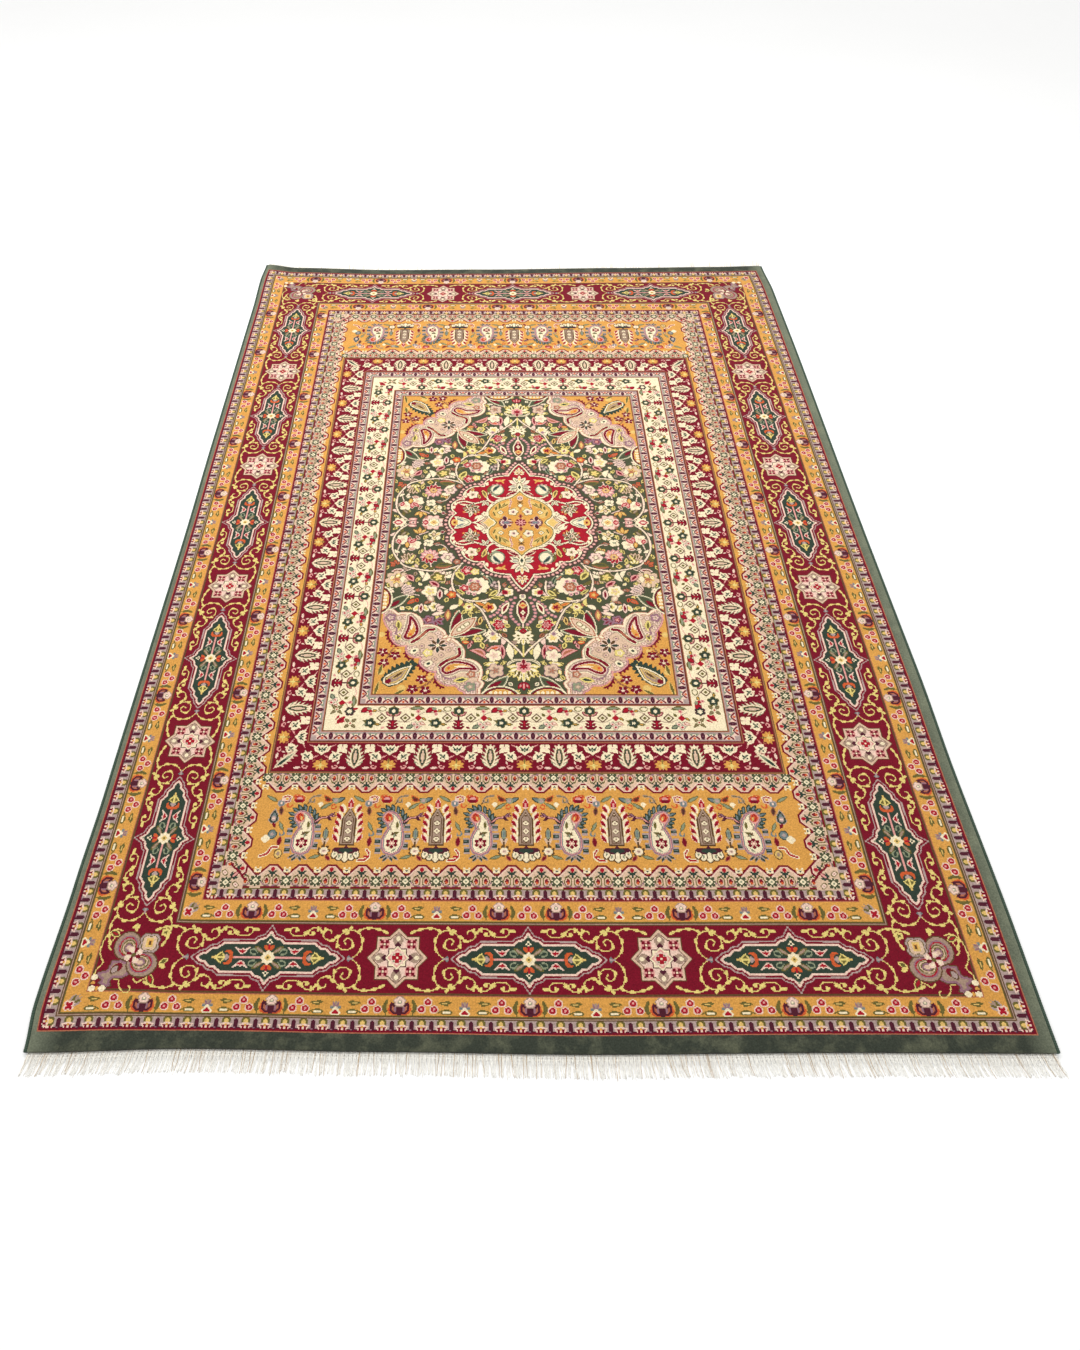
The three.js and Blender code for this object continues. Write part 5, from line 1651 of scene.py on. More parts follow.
    def axis_flowers(self, quarter: Quarter) -> None:
        """The palmettes that stand on the long axis between the medallion and the end."""
        for x, y in ((9.4, 139), (14.8, 142.4), (19.8, 146), (24, 150), (27.6, 154), (29.4, 159.4),
                     (31.6, 164.4), (35.6, 168), (40, 170.4), (11, 148), (13.4, 153.6), (14.6, 159),
                     (15.4, 164.6), (14.6, 170.2), (12.2, 175), (9.0, 179.2), (5.6, 183.4), (27.4, 168.6),
                     (22.6, 171.6)):
            quarter.dot(x, y, 2.5, MAUVE, (-0.7, PINK))
        quarter.bud((17.4, 146.6), (25.6, 167.4), 7.0, CREAM, CRIMSON, UMBER, -0.8)
        quarter.patch([(0, 141), (4.6, 146), (7.4, 154), (7.0, 165), (3.6, 175), (0, 182.5), (-3.6, 175),
                       (-7, 165), (-7.4, 154), (-4.6, 146)], (1.4, UMBER), (0.6, CREAM), (-1.1, MAROON),
                      (-1.9, CRIMSON))
        quarter.bloom((0, 152.0), 3.8, 4, STRAW, ORANGE, CREAM, TERRACOTTA)
        quarter.patch([(0, 159.6), (3.4, 164), (0, 168.4), (-3.4, 164)], CREAM, (-1.9, SAGE))
        quarter.leaf((0, 169.6), (0, 179.4), 4.2, PINK, (-1.3, TERRACOTTA))
        quarter.oval((0, 136.6), (4.4, 5.0), (0.8, UMBER), CREAM, (-2.0, LILAC))
        quarter.thread([(0, 124), (0, 133)], (1.1, PINK))
        quarter.thread([(0, 182), (0, 192)], (1.0, BLUSH))
        quarter.thread([(0, 212), (0, 234)], (1.0, YELLOW))
        quarter.rosette((0, 203), 12.8, 11, 4.4, (1.0, OLIVE), CREAM, turn=90)
        for x, y in ((8.2, 201), (7.2, 207.6), (3.6, 212)):
            quarter.leaf((x * 0.5, 203 + (y - 203) * 0.5), (x, y), 2.6, OLIVE)
        quarter.leaf((0, 205), (0, 216.6), 5.2, (0.6, OLIVE), CREAM, (-1.5, YELLOW))
        quarter.bloom((0, 194.4), 3.4, 4, RED, CRIMSON, TERRACOTTA)
        quarter.curl([(0, 239.4), (8.6, 239.6), (15.6, 242.6), (18.4, 247)], (2.4, UMBER), (1.6, CREAM),
                     (0.5, OLIVE))
        for root, tip, width in (((4, 250), (19.6, 249.6), 7.0), ((4, 252), (18.2, 257.8), 7.0),
                                 ((4, 254), (12.8, 266.0), 6.6), ((2, 256), (6.4, 271.2), 6.0)):
            quarter.leaf(root, tip, width, (0.8, UMBER), YELLOW, (-1.6, CREAM))
        for x, low, high in ((5.4, 254.6, 266.4), (9.6, 255.0, 262.4)):
            quarter.leaf((x, low), (x + 0.6, high), 2.8, OLIVE, (-0.9, BROWN))
        quarter.leaf((0, 256), (0, 273), 5.0, (0.6, OLIVE), CREAM, (-1.4, YELLOW))
        quarter.bloom((0, 249.4), 7.4, 6, PINK, CRIMSON, RED, BLUSH, 30)
        quarter.leaf((0, 246), (0, 238.4), 4.2, (0.6, PINK), CRIMSON)
        quarter.fan((0, 272.6), (0, 284.4), 4.4, RED, PINK, MAROON, 3, 70)

    def corner(self, quarter: Quarter) -> None:
        """The gold corner with its serrated leaf and trios of five-petalled flowers."""
        edge = joined(CLOUD_CORNER_EDGE)
        quarter.patch([*edge, (210, 320), (210, 150)], GOLD)
        for x, y, radius in ((172, 200, 4), (150, 226, 4), (134, 244, 5), (168, 258, 4), (142, 282, 5),
                             (110, 264, 4)):
            quarter.dot(x, y, radius, STRAW)
        for line in ([(164.4, 194), (163.6, 204.6), (158.4, 212.8), (151, 218)],
                     [(141.4, 227), (138, 236), (131.6, 238.6)], [(124, 245.6), (120.4, 253), (112, 257.8)],
                     [(104.8, 265.4), (101, 275.4), (93.6, 280.8)]):
            quarter.curl(line, (1.4, BURGUNDY))
            quarter.beads(smooth_line(line), 5.0, 2.2, 1.4, BURGUNDY)
        for step in range(8):
            along = step / 7
            middle = (162.0 - 30.0 * along, 274.6 - 28.4 * along)
            reach = 10.6 * math.sin(math.pi * (0.2 + 0.74 * along)) + 3.4
            for out in (-1, 1):
                tip = (middle[0] - out * 0.69 * reach - 3.4, middle[1] + out * 0.72 * reach - 3.2)
                quarter.leaf(middle, tip, 6.0, (0.2, BOTTLE))
        quarter.patch([(131.6, 247.6), (143.6, 251.4), (154, 257.6), (163.4, 265.4), (164.2, 273.6),
                       (157.6, 278.2), (148, 275.8), (139.4, 268.4), (135.6, 259)], (1.3, BOTTLE), CREAM,
                      (-1.8, BROWN), (-2.7, STRAW), (-4.2, TAUPE))
        quarter.oval((158.4, 271.8), (4.0, 3.2), CRIMSON, turn=40)
        quarter.leaf((154, 268), (141, 256.6), 3.2, (0.6, STRAW), BROWN)
        for line in ([(168, 243), (161.6, 235.4), (158.6, 226), (155.4, 221.6)],
                     [(161.6, 235.4), (153, 232.6)], [(160.4, 231), (168.4, 227.4)],
                     [(117.6, 269), (110.4, 272.6), (104.4, 266)], [(129.4, 283), (118, 279), (108.6, 272.8)],
                     [(118, 279), (114, 285)]):
            quarter.curl(line, (1.0, BROWN), (0.5, TERRACOTTA))
        for x, y in ((168.2, 227.6), (153.2, 232.8), (165.6, 244.0), (119.4, 268.6), (129.4, 283.0),
                     (114.2, 285.2)):
            quarter.dot(x, y, 5.2, BLUSH)
            for turn in range(5):
                angle = math.radians(72 * turn + 18)
                quarter.leaf((x + 1.2 * math.cos(angle), y + 1.2 * math.sin(angle)),
                             (x + 7.4 * math.cos(angle), y + 7.4 * math.sin(angle)), 4.2, (0.2, BURGUNDY))
            quarter.dot(x, y, 1.3, CREAM)
        for root, tip in (((170.4, 262), (167.4, 246.4)), ((172.6, 292), (168.8, 272)),
                          ((150, 291), (138, 284))):
            quarter.leaf(root, tip, 3.4, (0.6, STRAW), OLIVE)
        for x, y in ((158.6, 218.6), (150.4, 222.0), (153.6, 226.0), (113.6, 262.2), (108.4, 262.0)):
            quarter.dot(x, y, 1.5, ORANGE, (-0.8, BROWN))

    def cloud_band(self, quarter: Quarter) -> None:
        """The pale cloud band between the field and the corner, with its drops, star and eyes."""
        inner, outer = joined(CLOUD_FIELD_EDGE), joined(CLOUD_CORNER_EDGE)
        quarter.patch([*inner, *outer[::-1]], BEIGE)
        for line, push in ((outer, -4.6), (outer, -10.4), (inner, 7.0)):
            quarter.beads(line, 8.8, push, 3.9, TAUPE, (-1.0, BLUSH), (-2.8, TAUPE))
        for x, y in ((144, 196), (147, 190), (112, 206), (93, 214), (90, 224), (98, 232), (122, 218),
                     (126, 232), (106, 238), (84, 262), (72, 274), (92, 268), (156, 180), (150, 210)):
            quarter.dot(x, y, 3.9, TAUPE, (-1.0, BEIGE), (-2.6, MAUVE))
        quarter.thread(outer, (1.3, MAUVE), (0.8, PINK))
        quarter.thread(inner, (2.2, TERRACOTTA), (1.6, BLUSH), (0.9, CREAM))
        drops = ([(138.7, 170.8), (133.2, 178), (129.2, 189), (130, 199.6), (137.4, 206.4), (143.8, 204),
                  (141.4, 194), (139.4, 183)],
                 [(56.2, 254.2), (60.6, 248), (70.9, 243.4), (83.3, 242.4), (92, 246.4), (96, 254.4),
                  (91.6, 259.6), (83.4, 257.4), (76, 253.2), (66, 253)])
        for drop in drops:
            quarter.patch(smooth_line([*drop, drop[0]], 3), (5.6, CREAM), (4.4, TAUPE),
                          (2.4, BLUSH), (1.2, CRIMSON), (-2.0, BLUSH), (-2.8, GOLD))
        quarter.dot(137.2, 199.6, 3.4, GOLD, (-1.6, ORANGE))
        quarter.dot(88.6, 251.8, 3.4, GOLD, (-1.6, ORANGE))
        quarter.leaf((136.6, 193), (135, 180), 2.6, CREAM)
        quarter.leaf((82, 249.6), (66, 249.4), 2.8, CREAM)
        for line in ([(108.4, 191.4), (116.4, 193.2), (122.4, 200.6), (128.6, 207.4), (134.4, 212)],
                     [(77, 222.4), (76.4, 231), (81.8, 236), (91.2, 240.6), (98.6, 247.6)]):
            quarter.curl(line, (4.0, SAGE), (3.1, CREAM), (2.0, CRIMSON))
            quarter.leaf(line[1], line[3], 2.6, TERRACOTTA)
        for turn in range(8):
            angle = math.radians(45 * turn)
            wool = BROWN if turn % 2 else BOTTLE
            quarter.leaf((103 + 1.6 * math.cos(angle), 217 + 1.6 * math.sin(angle)),
                         (103 + 12 * math.cos(angle), 217 + 12 * math.sin(angle)), 4.0, (0.8, BLUSH),
                         (0, wool))
        quarter.dot(103, 217, 2.2, CREAM, (-1.4, YELLOW))
        for x, y in ((130.6, 225.4), (113.0, 245.0)):
            quarter.oval((x, y), (5.6, 4.0), (0.8, TAUPE), CREAM, (-2.2, BOTTLE), turn=40)
        quarter.bloom((114.4, 228.6), 5.4, 5, YELLOW, CREAM, BEIGE, TAUPE)
        for root, tip, core in (((153.6, 176.6), (151.6, 193.6), OLIVE),
                                ((82.4, 271.4), (64.6, 267.4), BOTTLE), ((150.8, 199), (152.6, 209), OLIVE)):
            quarter.bud(root, tip, 6.6, YELLOW, core, TAUPE)
        quarter.bloom((62.4, 279.6), 6.0, 5, SAGE, TAUPE, BEIGE, MAUVE)
        quarter.bloom((163.0, 172.4), 5.8, 5, MAUVE, BLUSH, TAUPE, TAUPE)
        quarter.bloom((61.6, 261.0), 4.4, 5, TERRACOTTA, BEIGE, TAUPE, TAUPE)
        quarter.curl([(158, 186), (154, 190), (155, 198), (150, 203)], (0.8, MAUVE))
        quarter.curl([(100, 250), (96, 262), (88, 268), (80, 266)], (0.8, MAUVE))

    def leaf_trio(self, quarter: Quarter) -> None:
        """Three pointed leaves that spring from the cloud band's middle into the field."""
        for root, tip, bend in (((88.0, 199.0), (79.4, 161.4), -2.2), ((88.0, 203.4), (46.4, 193.6), 2.8)):
            quarter.leaf(root, tip, 11.6, (1.3, CREAM), (0.2, SAGE), (-0.6, MOSS), bend=bend)
        quarter.leaf((87.6, 192.6), (77.0, 163.6), 8.0, CRIMSON, bend=-0.6)
        quarter.leaf((77.6, 202.0), (49.0, 192.0), 7.4, CRIMSON, bend=0.6)
        quarter.leaf((88.4, 202.0), (58.2, 172.6), 15.0, (1.6, CREAM), (0.1, TERRACOTTA), (-1.4, BEIGE))
        for along in (0.36, 0.5, 0.64):
            x, y = 88.4 - 30.2 * along, 202 - 29.4 * along
            quarter.oval((x, y), (2.4, 3.4), (0.8, OLIVE), CREAM, turn=-45)
        for x, y in ((90.4, 207.4), (94.6, 203.4)):
            quarter.oval((x, y), (3.4, 1.8), (0.7, TERRACOTTA), CREAM, turn=40)

    def half_lenses(self, quarter: Quarter) -> None:
        """The lenses cut by the field's edge, and the crimson-hearted leaves beside them."""
        for root, tip, bend in (((167.6, 158.6), (144.4, 135.4), 1.4), ((45.4, 287.4), (19.0, 264.4), -1.6)):
            quarter.leaf(root, tip, 11.4, (1.5, CREAM), (0.4, SAGE), (-0.8, MOSS), bend=bend)
        quarter.leaf((164.6, 154.6), (154.0, 143.4), 5.4, CRIMSON)
        quarter.leaf((42.0, 281.6), (25.4, 271.0), 5.6, CRIMSON)
        layers = ((1.6, CREAM), MOSS, (-0.9, CRIMSON), (-2.9, STRAW), (-3.9, GOLD))
        quarter.oval((181, 143), (16.4, 23.0), *layers)
        quarter.oval((27.4, 297), (22.0, 17.0), *layers)
        for y in (131.5, 137.6, 143.4, 149.2, 155.2):
            quarter.oval((172.4, y), (2.6, 2.2), CREAM, (-1.4, STRAW))
        for x in (16.4, 21.6, 27.2, 32.8, 38.2):
            quarter.oval((x, 288.4), (2.0, 2.4), CREAM, (-1.4, STRAW))


MM = 0.001

# The rug's own sizes, in millimetres, as its maker would give them.
HALF_WIDTH = 915.0
HALF_BODY = 907.7
HALF_LENGTH = 1362.5
FADE_POWER = 6
SIDE_STEPS = 52
END_STEPS = 44
GAP = 0.3
CORD_WIDTH = 7.0
CORD_HEIGHT = 8.0
END_WEAVE_WIDTH = 6.0
END_WEAVE_THICKNESS = 3.0
FRINGE_HEM = 5.0
FRINGE_THICKNESS = 2.4

# How far each edge shifts outwards from a straight line, at places along it.
LEFT_EDGE = ((-1362, 2), (-1280, 9), (-1050, 3), (-850, -1), (-60, -4), (350, -1), (1080, 1), (1270, 5),
             (1362, 0))
RIGHT_EDGE = ((-1362, 0), (-1050, 4), (-800, 3), (-520, 8), (-60, 7), (880, 12), (1200, 11), (1362, 2))
NEAR_EDGE = ((-908, 0), (-630, -7), (-270, -2), (70, 2), (560, -2), (908, -1))
FAR_EDGE = ((-908, 30), (-790, 6), (-460, -9), (-100, -5), (400, 7), (740, 15), (908, 23))

# How far the fringe's tips lean to the right, at places along each end.
NEAR_LEAN = ((-908, -9), (-500, -3), (0, 1), (450, 9), (908, 10))
FAR_LEAN = ((-908, -3), (0, 2), (908, 7))

# How far the design itself is pulled to the left, at places along the rug.
DESIGN_PULL = ((-1362, -13), (-1200, -13), (0, 0), (1362, 0))

# How far it sags towards the near end, at places along the rug, and its share across it.
DESIGN_SAG = ((-1362, 0), (-1325, -5), (-1255, -8), (-1000, -6), (-650, -5), (0, 0), (1362, 0))
SAG_SHARE = ((-908, 0), (-820, 0), (-620, 0.9), (-300, 1), (908, 1))

Table = tuple[tuple[float, float], ...]


def table_at(rows: Table, along: np.ndarray) -> np.ndarray:
    """Read a table at places, with an even curve, 3tt - 2ttt, between its rows.

    Args:
        rows: Places and their values.
        along: The places that are wanted.

    Returns:
        The values there, held at the first and last row beyond them.
    """
    places, values = np.array(rows, dtype=float).T
    held = np.clip(along, places[0], places[-1])
    high = np.clip(np.searchsorted(places, held), 1, len(places) - 1)
    low = high - 1
    t = (held - places[low]) / (places[high] - places[low])
    return values[low] + (values[high] - values[low]) * t * t * (3 - 2 * t)


class Lay:
    """How the straight rug lies on the floor, as uneven as handwork is."""

    def __init__(self) -> None:
        """Find the part frame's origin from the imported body's box."""
        sides = np.linspace(-HALF_LENGTH, HALF_LENGTH, SIDE_STEPS + 1)
        ends = np.linspace(-HALF_BODY, HALF_BODY, END_STEPS + 1)
        left, _ = self.spread(np.full(sides.shape, -HALF_BODY), sides)
        _, near = self.spread(ends, np.full(ends.shape, -HALF_LENGTH))
        low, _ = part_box("rug_body")
        self.origin = np.array([low.x - left.min() * MM, low.y - near.min() * MM])

    def spread(self, across: np.ndarray, along: np.ndarray) -> tuple[np.ndarray, np.ndarray]:
        """Shift places of the straight rug by its edges' tables.

        Each edge's shift fades towards the rug's middle with the sixth power of the
        distance from there, as a share of the half size.

        Args:
            across: Places across the rug, in millimetres from its middle.
            along: Places along it.

        Returns:
            The shifted places, across and along, in millimetres.
        """
        side_share = np.minimum(np.abs(across) / HALF_WIDTH, 1) ** FADE_POWER
        end_share = np.minimum(np.abs(along) / HALF_LENGTH, 1) ** FADE_POWER
        side_shift = np.where(across > 0, table_at(RIGHT_EDGE, along), -table_at(LEFT_EDGE, along))
        end_shift = np.where(along > 0, table_at(FAR_EDGE, across), -table_at(NEAR_EDGE, across))
        return across + side_share * side_shift, along + end_share * end_shift

    def place(self, across: np.ndarray, along: np.ndarray, height: np.ndarray) -> np.ndarray:
        """Turn places of the straight rug, in millimetres, into points of the row frame.

        Args:
            across: Places across the rug.
            along: Places along it.
            height: Heights above the floor.

        Returns:
            One point for each place, in metres.
        """
        x, y = self.spread(across, along)
        points = np.stack([x * MM + self.origin[0], y * MM + self.origin[1], height * MM], axis=-1)
        return points.reshape(-1, 3)


def pulled(across: np.ndarray, along: np.ndarray) -> tuple[np.ndarray, np.ndarray]:
    """Shift places of the design by its pull, which is nothing at the two sides, and its sag."""
    share = 1 - np.minimum(np.abs(across) / HALF_BODY, 1) ** 2
    return (across + share * table_at(DESIGN_PULL, along),
            along + table_at(SAG_SHARE, across) * table_at(DESIGN_SAG, along))


def new_piece(name: str, points: np.ndarray, faces: list[list[int]], smooth: bool = True) -> bpy.types.Object:
    """Make a mesh object at the origin, with its place in its mesh.

    Args:
        name: The piece's name.
        points: Its vertices, in metres.
        faces: Its faces, as vertex numbers.
        smooth: Whether its faces are shaded smooth.

    Returns:
        The object, linked into the scene.
    """
    mesh = bpy.data.meshes.new(name)
    mesh.from_pydata(points.tolist(), [], faces)
    mesh.polygons.foreach_set("use_smooth", np.full(len(mesh.polygons), smooth))
    mesh.update()
    piece = bpy.data.objects.new(name, mesh)
    bpy.context.scene.collection.objects.link(piece)
    return piece


def tube_faces(rings: int, sides: int, first: int = 0) -> np.ndarray:
    """Quads between rings of vertices that follow one another, wound to face outwards.

    Args:
        rings: How many rings there are.
        sides: How many vertices each ring has.
        first: The first ring's first vertex.

    Returns:
        The quads, as rows of four vertex numbers.
    """
    ring = np.arange(rings - 1)[:, None] * sides
    side = np.arange(sides)[None, :]
    after = (side + 1) % sides
    quads = np.stack([ring + side, ring + after, ring + sides + after, ring + sides + side], axis=-1)
    return first + quads.reshape(-1, 4)


class Facing(Enum):
    """Which way a knotted slab shows its knots."""

    UP = "up"
    DOWN = "down"


@dataclass
class KnottedSlab:
    """A closed slab with a grid of faces on its shown side, each face holding a block of knots.

    Attributes:
        name: The piece's name.
        facing: Which side is the grid.
        rim: Insets from the body's edge and heights, from the grid down the side, in
            millimetres.
        swell: How far the grid rises and falls.
    """

    name: str
    facing: Facing
    rim: tuple[tuple[float, float], ...]
    swell: float = 0.0

    def swelling(self, across: np.ndarray, along: np.ndarray) -> np.ndarray:
        """Slow rises and falls: two waves multiplied, and a finer one, faded out at the edges."""
        from_side, from_end = HALF_BODY - np.abs(across), HALF_LENGTH - np.abs(along)
        fade = np.clip(from_side / 120, 0, 1) * np.clip(from_end / 120, 0, 1)
        waves = np.sin(across / 171 + 1.3) * np.sin(along / 203 - 0.4)
        waves = waves + 0.5 * np.sin(across / 71 + along / 93)
        return self.swell * fade * waves

    def build(self, lay: Lay, knots: np.ndarray) -> bpy.types.Object:
        """Build the slab and write the knots onto its faces.

        The grid's rows run along the rug. Rings of vertices around it follow the rim, and
        a fan closes the hidden side.

        Args:
            lay: How the rug lies.
            knots: The chart's wool numbers, rows along the rug by columns across it.

        Returns:
            The piece.
        """
        inset, top = self.rim[0]
        across, along = np.meshgrid(np.linspace(-1, 1, FACES_ACROSS + 1), np.linspace(-1, 1, FACES_ALONG + 1))
        u, v = across * (HALF_BODY - inset), along * (HALF_LENGTH - inset)
        points = [lay.place(*pulled(u, v), top + self.swelling(u, v))]
        index = np.arange(u.size).reshape(u.shape)
        loop = np.concatenate([index[0, :-1], index[:-1, -1], index[-1, :0:-1], index[:0:-1, 0]])
        edge_across, edge_along = across.ravel()[loop], along.ravel()[loop]
        for inset, height in self.rim[1:]:
            u, v = edge_across * (HALF_BODY - inset), edge_along * (HALF_LENGTH - inset)
            points.append(lay.place(*pulled(u, v), np.full(u.shape, height)))
        bottom = self.rim[-1][1]
        points.append(lay.place(np.zeros(1), np.zeros(1), np.full(1, bottom)))
        quads = np.stack([index[:-1, :-1], index[:-1, 1:], index[1:, 1:], index[1:, :-1]],
                         axis=-1).reshape(-1, 4)
        faces = [quads]
        inner = loop
        for ring in range(len(self.rim) - 1):
            outer = index.size + ring * len(loop) + np.arange(len(loop))
            faces.append(np.stack([outer, np.roll(outer, -1), np.roll(inner, -1), inner], axis=-1))
            inner = outer
        hub = np.full(len(loop), index.size + (len(self.rim) - 1) * len(loop))
        fan = np.stack([np.roll(inner, -1), inner, hub], axis=-1)
        sides = np.concatenate(faces)
        corners = np.array([(0, 0), (1, 0), (1, 1), (0, 1)], dtype=float)
        if self.facing is Facing.DOWN:
            sides, fan, corners = sides[:, ::-1], fan[:, ::-1], corners[::-1]
        piece = new_piece(self.name, np.concatenate(points), [*sides.tolist(), *fan.tolist()])
        self.write_knots(piece, knots, len(quads), corners)
        return piece

    def write_knots(self, piece: bpy.types.Object, knots: np.ndarray, shown: int,
                    corners: np.ndarray) -> None:
        """Write the chart onto the grid's faces.

        Each row of four knots becomes one number, the sum of wool number times the
        wool count to the power of the knot's place, plus a half. A face holds six such
        rows in two attributes of three. The faces off the grid hold plain green.

        Args:
            piece: The slab.
            knots: The chart.
            shown: How many of its faces, the first ones, are the grid.
            corners: A face's own corners, in the order of its vertices.
        """
        blocks = knots.reshape(FACES_ALONG, KNOTS_ALONG_FACE, FACES_ACROSS, KNOTS_ACROSS_FACE)
        powers = float(len(Wool)) ** np.arange(KNOTS_ACROSS_FACE)
        rows = (blocks * powers).sum(axis=3).transpose(0, 2, 1).reshape(-1, KNOTS_ALONG_FACE)
        mesh = piece.data
        codes = np.zeros((len(mesh.polygons), KNOTS_ALONG_FACE))
        codes[:shown] = rows
        for name, part in (("lower_knots", codes[:, :3]), ("upper_knots", codes[:, 3:])):
            attribute = mesh.attributes.new(name, "FLOAT_VECTOR", "FACE")
            attribute.data.foreach_set("vector", (part + 0.5).astype(np.float32).ravel())
        places = np.zeros((len(mesh.loops), 2))
        places[:shown * 4] = np.tile(corners, (shown, 1))
        mesh.uv_layers.new(name="knot_block").data.foreach_set("uv", places.astype(np.float32).ravel())
        self.write_bake_map(mesh, shown)

    def write_bake_map(self, mesh: bpy.types.Mesh, shown: int) -> None:
        """Add the flat map named OFBake: the grid as the rug lies, and
        the other faces shrunk into a strip below it."""
        points = np.empty(len(mesh.vertices) * 3)
        mesh.vertices.foreach_get("co", points)
        corner = np.empty(len(mesh.loops), dtype=np.int64)
        mesh.loops.foreach_get("vertex_index", corner)
        plan = points.reshape(-1, 3)[corner, :2]
        low, high = plan.min(axis=0), plan.max(axis=0)
        flat = (plan - low) / (high - low)
        if self.facing is Facing.DOWN:
            flat[:, 0] = 1 - flat[:, 0]
        flat[:shown * 4] = flat[:shown * 4] * (0.98, 0.93) + (0.01, 0.06)
        flat[shown * 4:] = flat[shown * 4:] * (0.98, 0.03) + (0.01, 0.01)
        mesh.uv_layers.new(name="OFBake").data.foreach_set("uv", flat.astype(np.float32).ravel())


@dataclass
class RibbedStrip:
    """A cord or narrow weave that runs along one edge of the rug, ribbed by its wraps.

    Attributes:
        middle: Its middle line's place in the other direction, in millimetres.
        half_run: Half of its length.
        half_width: Half of its width.
        half_height: Half of its height, which is also its middle's height.
        wrap: The length of one wrap.
        rings_per_wrap: How many rings of vertices each wrap has.
        depth: How far the grooves go in, as a share of the section.
        slant: How many wraps the groove moves on while it goes round.
        along_rug: Whether it runs along the rug, and not across it.
        sides: How many vertices each ring has.
    """

    middle: float
    half_run: float
    half_width: float
    half_height: float
    wrap: float
    rings_per_wrap: int = 3
    depth: float = 0.1
    slant: float = 0.5
    along_rug: bool = True
    sides: int = 10

    def points(self, lay: Lay) -> np.ndarray:
        """The vertices, ring by ring.

        The section is a rounded oblong, cosine and sine to the power 0.6 times the half
        sizes. It is drawn in by a cosine of the place along plus the slant.
        """
        rings = self.rings()
        run, turn = np.meshgrid(np.linspace(-self.half_run, self.half_run, rings),
                                np.arange(self.sides) * math.tau / self.sides, indexing="ij")
        draw = 1 - self.depth * (0.5 + 0.5 * np.cos(math.tau * run / self.wrap + self.slant * turn))
        wide = self.half_width * draw * np.sign(np.cos(turn)) * np.abs(np.cos(turn)) ** 0.6
        high = self.half_height * draw * np.sign(np.sin(turn)) * np.abs(np.sin(turn)) ** 0.6
        if self.along_rug:
            return lay.place(self.middle - wide, run, self.half_height + high)
        return lay.place(run, self.middle + wide, self.half_height + high)

    def rings(self) -> int:
        """How many rings of vertices there are."""
        return int(2 * self.half_run / self.wrap * self.rings_per_wrap) + 1

    def faces(self, first: int = 0) -> list[list[int]]:
        """The quads round it and a face at each end, from a first vertex number on."""
        rings = self.rings()
        start = first + np.arange(self.sides)
        end = start + (rings - 1) * self.sides
        return [*tube_faces(rings, self.sides, first).tolist(), start[::-1].tolist(), end.tolist()]


